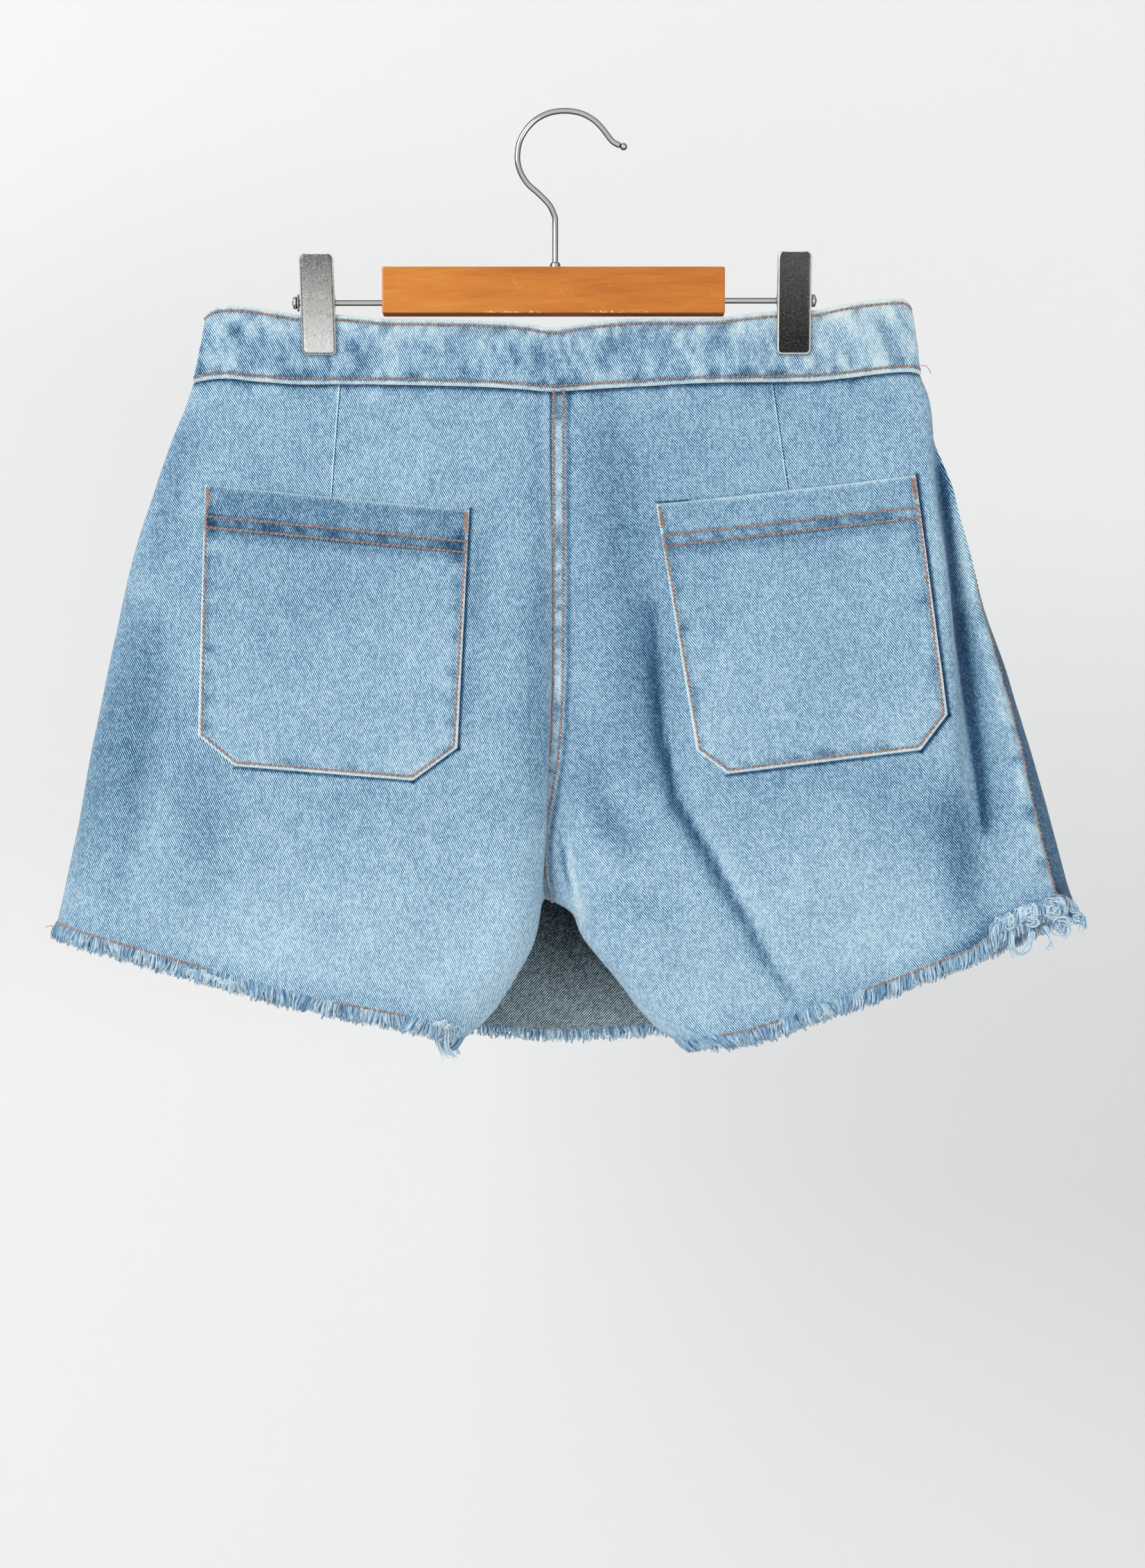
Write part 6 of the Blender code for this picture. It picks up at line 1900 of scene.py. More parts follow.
# Painted shade in the darts with a painted highlight beside each, and painted shadow below the
# pockets' edges and above the right pocket's top left corner, as DenimFinish.grooves takes them.
GROOVE_SHADING = {
    "left": ((-112.2, -140, -115.9, -198.9, 0.45, 0.5),
             (-112.9, -140, -116.6, -198.9, 0.55, -0.45),
             (-45, -205, -51, -327.2, 1.7, 0.6), (-51, -327.2, -73.8, -344.2, 1.7, 0.6),
             (-73.8, -344.2, -164.8, -337, 1.4, 0.45)),
    "right": ((110.4, -140, 117.9, -195.7, 0.45, 0.5),
              (109.7, -140, 117.2, -195.7, 0.55, -0.35), (50, -201.2, 66, -200.2, 0.8, 0.5),
              (182.8, -187.6, 198.1, -310.2, 1.9, 0.7), (198.1, -310.2, 184.4, -328.8, 1.8, 0.7),
              (184.4, -328.8, 85.6, -341, 1.4, 0.45))}


def weave_places(grid: Array, slant: float, origin: tuple[float, float] = (0.0, 0.0)) -> Array:
    """Coordinates across and along the twill lines of a panel, mm.

    Args:
        grid: its points.
        slant: angle of the lines from the level, degrees.
        origin: (x, z) where both are nought.

    Returns:
        Two numbers for each point.
    """
    middle = grid.shape[1] // 2
    steps = np.linalg.norm(np.diff(grid[..., :2], axis=1), axis=2)
    arc = np.pad(np.cumsum(steps, axis=1), ((0, 0), (1, 0)))
    turn = np.sign(grid[0, -1, 0] - grid[0, 0, 0])
    across = grid[:, middle:middle + 1, 0] + turn * (arc - arc[:, middle:middle + 1])
    height = grid[..., 2]
    angle = math.radians(slant)
    u, v = across - origin[0], height - origin[1]
    return np.stack([u * np.sin(angle) + v * np.cos(angle),
                     u * np.cos(angle) - v * np.sin(angle)], axis=-1)


def offset_line(surface: Array, distances: Array, wanted: float, backwards: bool) -> Array:
    """A line on a surface that keeps its distance from the first or last column.

    Args:
        surface: points in rows and columns.
        distances: distance of each from that column.
        wanted: the distance that the line keeps.
        backwards: true where distances fall along the rows.

    Returns:
        One point for each row.
    """
    made = []
    for points, far in zip(surface, distances):
        if backwards:
            points, far = points[::-1], far[::-1]
        made.append([np.interp(wanted, far, points[:, axis]) for axis in range(3)])
    return np.array(made)


@dataclass
class Cloth:
    """A finished cut piece: its object and the surfaces that seams and edges follow."""

    made: Object
    grid: Array
    normals: Array
    right_side: Array
    wrong_side: Array
    distances: tuple[Array, ...]

    def side_row(self, inset: float, from_left: bool, top: float, low: float
                 ) -> tuple[Array, Array]:
        """A line along a side border, inset from it, between two shares of the height."""
        far = self.distances[0 if from_left else 1]
        rows = slice(int(top * len(far)), int(low * len(far)))
        line, facing = (offset_line(part[rows], far[rows], inset, not from_left)
                        for part in (self.right_side, self.normals))
        return line, unit(facing)

    def level_row(self, inset: float, from_top: bool, left: float = 0.0, right: float = 1.0
                  ) -> tuple[Array, Array]:
        """A line along the top or lower border, inset from it, between two shares of the width."""
        far = self.distances[2 if from_top else 3].T
        columns = slice(int(left * len(far)), int(right * len(far)))
        line, facing = (offset_line(part.transpose(1, 0, 2)[columns], far[columns], inset,
                                    not from_top) for part in (self.right_side, self.normals))
        return line, unit(facing)


@dataclass
class Lay:
    """Where the points of a panel lie, and the relief, the wash and the painted light and shade
    that follow from it.

    Attributes:
        plan: the panel.
        x: place across, mm.
        z: height, mm.
        share: share of the way down its rows, from 0 at the waist to 1 at the hem.
        left: distance along the cloth to its left border, mm.
        right: to its right border, mm.
        top: to the waist seam, mm.
        low: to the hem, mm.
    """

    plan: PanelPlan
    x: Array
    z: Array
    share: Array
    left: Array
    right: Array
    top: Array
    low: Array

    @classmethod
    def of(cls, plan: PanelPlan, grid: Array, share: Array) -> Lay:
        """Reads it from a panel's points."""
        return cls(plan, grid[..., 0], grid[..., 2], share, *border_distances(grid))

    @property
    def seed(self) -> int:
        """The first seed of its roughness."""
        return len(self.plan.name) * 7 + int(self.plan.outward)

    @property
    def waist(self) -> Array:
        """The small ripples below the waistband, from -1 to 1."""
        return rough_line(self.x - self.top * 0.2, 5.2, self.seed + 2)

    @property
    def fell(self) -> Array:
        """Where the felled centre back seam lies, from 0 to 1; it belongs to the right panel."""
        beside = self.left if self.plan.name == "back_right" else np.full(self.x.shape, 99.0)
        return (self.share < CROTCH_SHARE) * (1.0 - smooth((beside - FELL) / 1.1))

    def sink(self) -> Array:
        """How far creases and roughness press the cloth in, mm."""
        x, z, top, low, seed = self.x, self.z, self.top, self.low, self.seed
        sink = pressed(CREASES.get(self.plan.name, ()), x, z)
        sink += 0.22 * rough_sheet(x, z, 21.0, 26.0, seed) * smooth(top / 20.0)
        sink += 0.10 * rough_sheet(x + z * 0.4, z, 8.0, 13.0, seed + 1) * smooth(top / 12.0)
        sink += 0.26 * self.waist * bell(top, 7.0)
        sink += 0.30 * rough_line(x, 7.5, seed + 3) * bell(low, 6.0)
        return sink * smooth(np.minimum(self.left, self.right) / 9.0)

    def rise(self) -> Array:
        """How far the layers of a seam lift the right side, mm."""
        if self.plan.name != "back_right":
            return np.zeros(self.x.shape)
        pucker = 0.30 * rough_line(self.z * np.ones_like(self.x), 3.6, PUCKER_SEED)
        return (self.fell * (0.62 + pucker * bell(self.left - FELL_MIDDLE, 2.0))
                + 0.30 * rough_line(self.z, 4.6, SIDE_SEED) * bell(self.right, 3.0))

    def fading(self, normals: Array) -> tuple[Array, Array]:
        """Fades the right side, deepens its puckers, and paints shade in its hollows and
        highlights on its ridges.

        Args:
            normals: unit normals towards the right side; the skirt gets painted shade where they
                turn away.

        Returns:
            How pale each point is, from fading and painted highlights, and how dark, from deeper
            dye and painted shade; both nought where the cloth is as it was dyed.
        """
        x, z, top, right, low = self.x, self.z, self.top, self.right, self.low
        wash_and_light = pressed(PAINTED_LIGHT_AND_WASH.get(self.plan.name, ()), x, z)
        # Painted shade where the skirt turns away round its right side.
        if self.plan.name == "skirt_front":
            wash_and_light -= (0.8 * smooth((x - 130.0) / 40.0) * smooth((HIP - z) / 60.0)
                        * smooth((0.35 - normals[..., 1]) / 0.5))
        else:
            wash_and_light += 0.27 * smooth((LEG - z) / 120.0)
        # Darker near the hem; painted shade just below the waistband, a painted shadow line under
        # its lower edge, and painted shade in the ripples below it.
        wash_and_light -= 0.22 * bell(low, 9.0) + 0.10 * bell(top, 4.0)
        wash_and_light -= 1.1 * bell(top, 1.5)
        wash_and_light -= 0.25 * self.waist * bell(top, 8.0)
        pale, deep = np.clip(wash_and_light, 0.0, 1.0), np.clip(-wash_and_light, 0.0, 1.0)
        if self.plan.name == "back_right":
            pucker = rough_line(z, 3.6, PUCKER_SEED) * bell(self.left - FELL_MIDDLE, 2.4)
            pale += self.fell * (0.24 + 0.34 * np.clip(pucker, 0, 1))
            deep += self.fell * 0.6 * np.clip(-pucker, 0, 1)
            # Painted shadow along the seam where the left panel lies over it, and painted shade at
            # the felled seam's outer edge.
            deep += (self.share < CROTCH_SHARE) * (0.85 * bell(self.left, 0.7) + 0.45
                                                   * bell(self.left - FELL - 2.0, 1.2))
            pucker = rough_line(z, 5.2, SIDE_SEED)
            strip = smooth((-235.0 - z) / 40.0) * (1.0 - smooth((right - 6.5) / 4.0))
            pale += strip * (0.26 + 0.25 * pucker - 0.15 * smooth((LEG - z) / 60.0))
            deep += strip * 0.4 * np.clip(-pucker - 0.2, 0, 1)
        if self.plan.name == "back_left":
            # A painted shadow line along its edge where it lies over the centre back seam, paler
            # just beside it.
            above = self.share < CROTCH_SHARE + 0.02
            deep += above * 0.6 * bell(right, 0.6)
            pale += above * 0.22 * bell(right - 3.0, 2.0)
        return pale, deep

    def wrong_side(self) -> Array:
        """Painted light and shade on the skirt's wrong side at each point: painted shade round the
        gap at the crotch, painted light rising towards the hem, and a paler raw edge; negative
        where it is darker.
        """
        if self.plan.name != "skirt_front":
            return np.zeros(self.x.shape)
        # Painted shade round the gap at the crotch; lighter below ABOVE_HEM as painted light
        # reaching in at the hem.
        gap = np.hypot((self.x - 12.0) / 34.0, (self.z + 404.0) / 34.0)
        return (0.24 * smooth((ABOVE_HEM - self.z) / 30.0) + 0.7 * bell(self.low, 1.2)
                - bell(gap, 1.0))


# Shares of each hem where its row of stitches shows; loose yarn covers it elsewhere.
HEM_ROWS = {"back_left": ((0.0, 0.38), (0.53, 0.65)),
            "back_right": ((0.02, 0.1), (0.25, 0.36), (0.5, 1.0)),
            "skirt_front": ((0.0, 1.0),)}


@dataclass
class Denim:
    """The garment's cloths: one for each outer back panel, and what the other pieces share."""

    left: Material
    right: Material
    front: Material
    band: Material
    pocket: Material
    inside: Material


@dataclass
class Skort:
    """The garment: waistband, panels, patch pockets, stitches and frayed hems.

    Attributes:
        denim: its cloths.
        sewing: its thread.
        fraying: its raw edges.
        band_cells: fine columns between two stations of the waistband.
        band_rows: distances of the waistband's rows from either edge, mm.
        pieces: the cut pieces by name, once they are made.
    """

    denim: Denim
    sewing: Sewing
    fraying: Fraying
    band_cells: int = 7
    band_rows: tuple[float, ...] = (0.0, 0.25, 0.7, 1.3, 2.0, 2.5, 2.9, 3.3, 4.0, 5.2, 7.0, 9.0,
                                    11.0, 13.0, 15.0)
    pieces: dict[str, Cloth] = field(default_factory=dict)

    def build(self) -> None:
        """Builds and dresses every piece."""
        loop = self.waistband()
        self.panels(loop)
        self.pockets()
        self.stitches()
        self.hems()
        self.knots()
        self.fraying.clear()

    def cloth(self, name: str, grid: Array, normals: Array, face: Array,
              back: Array, weave: Array, marks: dict[str, Array],
              materials: Sequence[Material]) -> Cloth:
        """Makes a cut piece and keeps its surfaces."""
        made = show(wall_mesh(name + "_cloth", grid, normals, face, back, weave, marks), materials)
        piece = Cloth(made, grid, normals, grid + normals * face[..., None],
                      grid - normals * back[..., None], border_distances(grid))
        self.pieces[name] = piece
        settle(made, name)
        return piece

    # ------------------------------------------------------------ waistband

    def band_grid(self, stations: Sequence[tuple[float, ...]]) -> Array:
        """Fine rows of points between a waistband's two edges."""
        table = np.array(stations)
        top, low = table[:, [0, 4, 1]], table[:, [2, 4, 3]]
        cells = (self.band_cells,) * (len(table) - 1)
        upper = lofted([point[None] for point in top], cells)[0]
        lower = lofted([point[None] for point in low], cells)[0]
        height = np.linalg.norm(upper - lower, axis=1)[:, None]
        near = np.tile(self.band_rows, (len(height), 1))
        places = np.concatenate([near, height * 0.5, height - near[:, ::-1]], axis=1)
        places = np.sort(np.clip(places, 0.0, height), axis=1) / height
        return upper[None] + (lower - upper)[None] * places.T[..., None]

    def waistband(self) -> Array:
        """Builds both halves of the waistband; returns its lower edge all round."""
        back = self.band("waistband_back", BACK_BAND, -1.0, 11)
        front = self.band("waistband_front", FRONT_BAND, 1.0, 31)
        return np.vstack([back, front[1:-1]])

    def band(self, name: str, stations: Sequence[tuple[float, ...]], outward: float, seed: int
             ) -> Array:
        """Builds one half of the waistband.

        Args:
            name: its node.
            stations: its rows of places, as BACK_BAND has them.
            outward: -1 where it faces the back, 1 the front.
            seed: fixed seed of its roughness.

        Returns:
            Its lower edge, mm.
        """
        grid = self.band_grid(stations)
        lower_edge = grid[-1].copy()
        grid[:, 0] += (grid[:, 1] - grid[:, 0]) * 0.03
        grid[:, -1] += (grid[:, -2] - grid[:, -1]) * 0.03
        grid = edge_columns(grid)
        normals = grid_normals(grid, outward)
        left, right, top, low = border_distances(grid)
        x, x0, z = left, grid[..., 0], grid[..., 2]
        edge, ends = np.minimum(top, low), np.minimum(left, right)
        waves = rough_line(x + top * 0.35, 3.9, seed), rough_line(x - low * 0.3, 4.3, seed + 1)
        upper, lower = waves[0] * bell(top, 5.5), waves[1] * bell(low, 5.5)
        slant = x + (z + 120.0) * 0.42
        rope = rough_sheet(slant, z, 3.0, 8.0, seed + 2)
        broad = rough_sheet(slant, z, 8.0, 16.0, seed + 3)
        inner = smooth((edge - 2.5) / 5.0)
        relief = 0.20 * upper + 0.20 * lower + inner * (0.34 * rope + 0.30 * broad)
        for distance in (top, low):
            relief -= 0.36 * bell(distance - BAND_ROWS[1], 0.75)
        held = 1.0 - 0.9 * self.clip_hold(grid)
        rounding = (1.0 - 0.62 * bell(edge, 0.55)) * (1.0 - 0.35 * bell(ends, 0.6))
        face = (BAND_FACE + np.minimum(relief, 0.45) * held) * rounding
        pale = 0.8 * bell(top, 1.7) + 0.58 * bell(low, 1.5, 4)
        pale += np.clip(0.6 * rope + 0.5 * upper + 0.4 * lower + 0.08, 0.0, 1.0) * 0.66
        pale += 0.24 * bell(top - 6.0, 5.0) + 0.22 * smooth((x0 - 90.0) / 50.0)
        deep = np.clip(-0.8 * rope - 0.4 * broad - 0.12, 0.0, 1.0) * inner * 0.6
        for wave, distance in ((waves[0], top), (waves[1], low)):
            deep += 0.6 * np.clip(-wave, 0, 1) * bell(distance - 5.0, 2.5)
        # Painted shade in the grooves of the stitch rows.
        deep += 0.6 * bell(np.minimum(abs(top - BAND_ROWS[0]), abs(low - BAND_ROWS[1])), 0.9)
        self.cloth(name, grid, normals, face, np.full(face.shape, BAND_BACK) * rounding,
                   weave_places(grid, 60.0), {"pale": np.clip(pale, 0.0, 1.0), "deep": deep},
                   (self.denim.band, self.denim.inside))
        return lower_edge

    @staticmethod
    def clip_hold(grid: Array) -> Array:
        """How firmly the clips press the waistband at each point, from 0 to 1."""
        held = np.zeros(grid.shape[:2])
        for x in CLIP_PLACES:
            held = np.maximum(held, bell(grid[..., 0] - x, 11.0, 4)
                              * smooth((grid[..., 2] + 130.0) / 4.0))
        return held

    # ------------------------------------------------------------ panels

    def meet_band(self, grid: Array, loop: Array, shares: Array, plan: PanelPlan) -> None:
        """Draws a panel's first rows to the lower edge of the waistband."""
        start, end = loop[:, :2], np.roll(loop, -1, axis=0)[:, :2]
        run = end - start
        reach = grid[0][:, None, :2] - start[None]
        share = np.clip((reach * run).sum(axis=2) / np.maximum((run ** 2).sum(axis=1), 1e-9), 0, 1)
        index = np.argmin(np.linalg.norm(reach - run * share[..., None], axis=2), axis=1)
        picked = share[np.arange(len(index)), index][:, None]
        edge = loop[index] * (1.0 - picked) + np.roll(loop, -1, axis=0)[index] * picked
        outward = unit(np.stack([run[index, 1], -run[index, 0], np.zeros(len(index))], axis=1))
        row = grid[0]
        if plan.name == "skirt_front":
            near = np.minimum(lengths_of(row - row[0]), lengths_of(row - row[-1]))
            layer = SKIRT_OVER_BAND * smooth(near / SIDE_SEAM_EASE)
        elif plan.outward > 0.0:
            seam = row[-1] if abs(row[-1, 0]) > abs(row[0, 0]) else row[0]
            layer = (SKIRT_OVER_BAND * smooth(lengths_of(row - seam) / SIDE_SEAM_EASE)
                     - FRONT_UNDER_SKIRT)
        else:
            layer = np.zeros((len(row), 1))
        target = edge + outward * layer
        target[:, 2] -= BAND_DROP
        ease = np.interp(shares, *TOP_EASE)[:, None, None]
        grid += (target - row)[None] * ease

    def share_rims(self, normals: dict[str, Array]) -> None:
        """Gives the pieces at each seam the same rim direction, row by row."""
        crotch = int(CROTCH_SHARE * (ROWS - 1))
        for row in range(ROWS):
            meetings = [(("back_left", 0), ("skirt_front", -1)),
                        (("back_right", -1), ("skirt_front", 0))]
            if row < crotch:
                meetings += [(("back_left", -1), ("back_right", 0)),
                             (("front_left", -1), ("front_right", 0))]
            elif row > crotch:
                meetings += [(("back_left", -1), ("front_left", -1)),
                             (("back_right", 0), ("front_right", 0))]
            else:
                meetings.append((("back_left", -1), ("back_right", 0),
                                 ("front_left", -1), ("front_right", 0)))
            for meeting in meetings:
                shared = fair_direction(np.array([normals[name][row, column]
                                                  for name, column in meeting]))
                share = 1.0 if len(meeting) == 2 else 0.8
                for name, column in meeting:
                    own = normals[name][row, column]
                    normals[name][row, column] = unit(own * (1 - share) + shared * share)

    def panels(self, loop: Array) -> None:
        """Builds the five large panels."""
        shares = np.arange(ROWS) / (ROWS - 1)
        grids, normals = {}, {}
        for plan in PLANS:
            lines = [style_line(name, shares) for name in plan.lines]
            grid = lofted(lines, [count * plan.refine for count in plan.cells],
                          style_line(plan.before, shares) if plan.before else None,
                          style_line(plan.after, shares) if plan.after else None)
            self.meet_band(grid, loop, shares, plan)
            for column, other in ((0, 1), (-1, -2)):
                grid[:, column] += unit(grid[:, other] - grid[:, column]) * SEAM_GAP * 0.5
            grids[plan.name] = edge_columns(grid)
            normals[plan.name] = grid_normals(grids[plan.name], plan.outward)
        self.share_rims(normals)
        for plan in PLANS:
            self.panel(plan, grids[plan.name], normals[plan.name])

    def panel(self, plan: PanelPlan, grid: Array, normals: Array) -> None:
        """Creases one panel, fades it, paints light and shade on it, and builds it."""
        normals[0, :, 2] = 0.0
        normals[0] = unit(normals[0])
        grid, normals = edge_rows(grid), unit(edge_rows(normals))
        lay = Lay.of(plan, grid, edge_rows(np.linspace(0.0, 1.0, ROWS)[:, None, None])[..., 0])
        grid = grid - normals * lay.sink()[..., None]
        rounding = 1.0 - 0.5 * bell(np.minimum.reduce((lay.left, lay.right, lay.low)), 0.5)
        pale, deep = lay.fading(normals)
        wrong = lay.wrong_side()
        # The wrong side's painted light and shade go in the same marks as the right side's.
        marks = {"pale": np.stack([pale, np.clip(wrong, 0.0, 1.0)]),
                 "deep": np.stack([deep, np.clip(-wrong, 0.0, 1.0)])}
        outer = {"back_left": self.denim.left, "back_right": self.denim.right}
        origins = {name: dart[2:4] for name, dart in DARTS.items()}
        self.cloth(plan.name, grid, normals, (CLOTH_FACE + lay.rise()) * rounding,
                   np.full(rounding.shape, CLOTH_BACK) * rounding,
                   weave_places(grid, plan.slant, origins.get(plan.name, (0.0, 0.0))), marks,
                   (outer.get(plan.name, self.denim.front), self.denim.inside))

    # ------------------------------------------------------------ pockets

    def pockets(self) -> None:
        """Builds the two patch pockets on the back panels."""
        for pocket in POCKETS:
            pocket.build(self)

    # ------------------------------------------------------------ seams and hems

    def stitches(self) -> None:
        """Sews the rows that show along the band, the seams and the hems."""
        pieces, sewing = self.pieces, self.sewing
        rows = {name: [pieces[name].level_row(BAND_ROWS[0], True),
                       pieces[name].level_row(BAND_ROWS[1], False)] for name in BANDS}
        rows["back_right"] = [pieces["back_right"].side_row(inset, from_left, top, low)
                              for inset, from_left, top, low in (
                                  (FELL_ROWS[0], True, 0.0, 0.66),
                                  (FELL_ROWS[1], True, 0.0, CROTCH_SHARE),
                                  (SIDE_ROW, False, 0.33, 1.0))]
        for name, lines in rows.items():
            settle(sewing.rows("stitches_" + name, lines))
        for name, spans in HEM_ROWS.items():
            lines = [pieces[name].level_row(HEM_INSET, False, *span) for span in spans]
            settle(sewing.rows("hem_stitches_" + name, lines, 2.3, 1.0))

    def knots(self) -> None:
        """Adds the knots of long yarn at the corners of the hems, and loose threads."""
        for curls, name, column in zip(CURLS, ("back_right", "back_left", "back_left"),
                                       (-30, 50, -16)):
            piece = self.pieces[name]
            settle(curls.build(surface_of(piece.made), self.fraying.yarn,
                               float(piece.grid[-1, column, 1])), slot="fringe")
        settle(self.sewing.loose_ends("loose_threads", LOOSE_ENDS))

    def hems(self) -> None:
        """Frays the five hems."""
        for number, (name, spacing, size) in enumerate((
                ("back_left", 0.52, 0.98), ("back_right", 0.52, 0.98), ("front_left", 1.7, 0.9),
                ("front_right", 1.7, 0.9), ("skirt_front", 1.3, 0.76))):
            piece = self.pieces[name]
            rise = unit(piece.grid[-6] - piece.grid[-1])
            facing = unit(piece.normals[-1])
            lines = [(piece.right_side[-1] + rise * 1.1, rise, facing),
                     (piece.wrong_side[-1] + rise * 0.9, rise, -facing)]
            node = "fringe_skirt" if name == "skirt_front" else "fringe_" + name
            settle(self.fraying.hang("frayed_" + name, lines, spacing, seed=number + 3,
                                     size=size), node)


@dataclass(frozen=True)
class Pocket:
    """A patch pocket sewn on a back panel.

    Attributes:
        name: its node.
        panel: the panel below it.
        corners: (x, z) of its top left and right corner, the right side where the bottom
            corner is cut, the two ends of the bottom edge, and the left side at its cut.
        slant: angle of its twill lines, degrees.
        folds: creases of its cloth.
        columns: fine columns, from side to side.
        rows: fine rows, down to its cut corners.
        cut_rows: and below them.
        lift: clear distance from the panel, mm.
        wall: thickness of its cloth, mm.
        gape: how far its mouth stands open, mm.
        shade: how much deeper its hem is than the rest.
    """

    name: str
    panel: str
    corners: tuple[tuple[float, float], ...]
    slant: float
    folds: tuple[Crease, ...]
    columns: int = 74
    rows: int = 72
    cut_rows: int = 8
    lift: float = 0.12
    wall: float = 1.45
    gape: float = 0.8
    shade: float = 0.1

    def outline(self, inset: float) -> list[Array]:
        """Its six corners moved in by a distance, clockwise from the top left."""
        points = [np.array(corner) for corner in self.corners]
        lines = []
        for here, there in zip(points, points[1:] + points[:1]):
            run = unit(there - here)
            inward = np.array([run[1], -run[0]])
            lines.append((here + inward * inset, run))
        made = []
        for (one, run_one), (two, run_two) in zip(lines[-1:] + lines[:-1], lines):
            share = np.linalg.solve(np.stack([run_one, -run_two], axis=1), two - one)[0]
            made.append(one + run_one * share)
        return made

    def laid(self, surface: BVHTree) -> tuple[Array, Array]:
        """Lays the pocket on its panel.

        Args:
            surface: the panel.

        Returns:
            Points of the pocket's middle surface, mm, and its unit normals.
        """
        top_left, top_right, right_cut, low_right, low_left, left_cut = map(np.array, self.corners)
        straight = np.concatenate([np.linspace(0, 1, self.rows + 1), np.ones(self.cut_rows)])
        cut = np.concatenate([np.zeros(self.rows + 1), np.arange(1, self.cut_rows + 1)
                              / self.cut_rows])
        base, normals = [], []
        side = np.linspace(0.0, 1.0, self.columns + 1)
        for down, corner in zip(straight, cut):
            left = (top_left + (left_cut - top_left) * down) * (1 - corner) + low_left * corner
            right = (top_right + (right_cut - top_right) * down) * (1 - corner) \
                + low_right * corner
            bow = 0.5 * np.sin(math.pi * side)[:, None] * np.array([0.0, 1.0]) * (down == 0.0)
            spots = left + (right - left) * side[:, None] - bow
            row, facing = zip(*(cast(surface, x, z) for x, z in spots))
            base.append(row)
            normals.append(facing)
        grid, normals = np.array(base), unit(np.array(normals))
        for _ in range(3):
            normals = self.evened(normals)
        normals = unit(normals)
        grid = grid + normals * self.lift
        lift = grid.copy()
        for _ in range(2):
            lift = self.evened(lift)
        grid += normals * np.maximum(((lift - grid) * normals).sum(axis=2), 0.0)[..., None]
        gape = self.gape * np.sin(math.pi * side)[None] * np.maximum(1.0 - straight * 3.0,
                                                                     0.0)[:, None]
        grid += normals * gape[..., None]
        grid, normals = (edge_rows(edge_columns(part)) for part in (grid, normals))
        return grid, unit(normals)

    def build(self, skort: Skort) -> None:
        """Builds the pocket on its panel, and sews it on."""
        grid, normals = self.laid(surface_of(skort.pieces[self.panel].made))
        left, right, top, low = border_distances(grid)
        edge = np.minimum.reduce((left, right, low))
        x, z = grid[..., 0], grid[..., 2]
        hem = 1.0 - smooth((top - POCKET_HEM) / 1.2)
        relief = 0.30 * hem - 0.22 * bell(edge - 2.1, 0.9)
        for row in POCKET_ROWS:
            relief -= 0.2 * bell(top - row, 0.9)
        seed = 60 + len(self.name)
        relief += 0.16 * rough_line(left, 5.5, seed) * bell(top - 19.0, 5.0)
        relief += 0.20 * rough_line(top, 5.0, seed + 1) * bell(np.minimum(left, right), 4.5)
        relief += 0.20 * rough_line(left, 5.0, seed + 2) * bell(low, 4.5)
        relief += 0.30 * rough_sheet(x, z, 19.0, 22.0, seed + 3) * smooth((edge - 3.0) / 12.0)
        relief -= pressed(self.folds, x, z)
        rounding = 1.0 - 0.6 * bell(np.minimum(edge, top), 0.5)
        face = np.maximum(self.wall + relief, 0.5) * rounding
        pucker = np.where(np.minimum(left, right) < low, rough_line(top, 6.5, seed + 1),
                          rough_line(left, 6.5, seed + 2))
        pale = 0.85 * bell(edge, 1.5, 4) + 0.7 * bell(top, 1.3)
        pale += 0.22 * np.clip(rough_line(left, 5.5, seed), 0, 1) * bell(top - 15.0, 9.0)
        pale += 0.18 * smooth((-250.0 - z) / 90.0)
        deep = 0.22 * bell(edge - 3.2, 1.2)
        # Painted shade in the grooves of the hem's stitch rows.
        for row in POCKET_ROWS:
            deep += 0.4 * bell(top - row, 0.9) * (edge > 1.5)
        deep += 0.55 * np.clip(pucker - 0.1, 0, 1) * bell(edge - 4.5, 3.0)
        pale += 0.35 * np.clip(-pucker - 0.1, 0, 1) * bell(edge - 5.0, 3.5)
        deep += 0.6 * bell(top - 19.2, 2.2) * np.clip(
            -rough_line(left - top * 0.6, 3.4, seed) + 0.35, 0, 1)
        # Painted shade just below the hem's edge, and the hem darker by the pocket's shade.
        deep += 0.30 * bell(top - 25.0, 3.0) + self.shade * hem
        piece = skort.cloth(self.name, grid, normals, face, np.full(x.shape, 0.02),
                            weave_places(grid, self.slant),
                            {"pale": np.clip(pale, 0, 1), "deep": deep},
                            (skort.denim.pocket, skort.denim.inside))
        self.sew(skort, piece)

    @staticmethod
    def evened(values: Array) -> Array:
        """Evens values out with their neighbours, the borders along themselves."""
        wide = np.pad(values, ((1, 1), (1, 1), (0, 0)), mode="reflect", reflect_type="odd")
        return (wide[1:-1, 1:-1] * 2 + wide[:-2, 1:-1] + wide[2:, 1:-1] + wide[1:-1, :-2]
                + wide[1:-1, 2:]) / 6.0

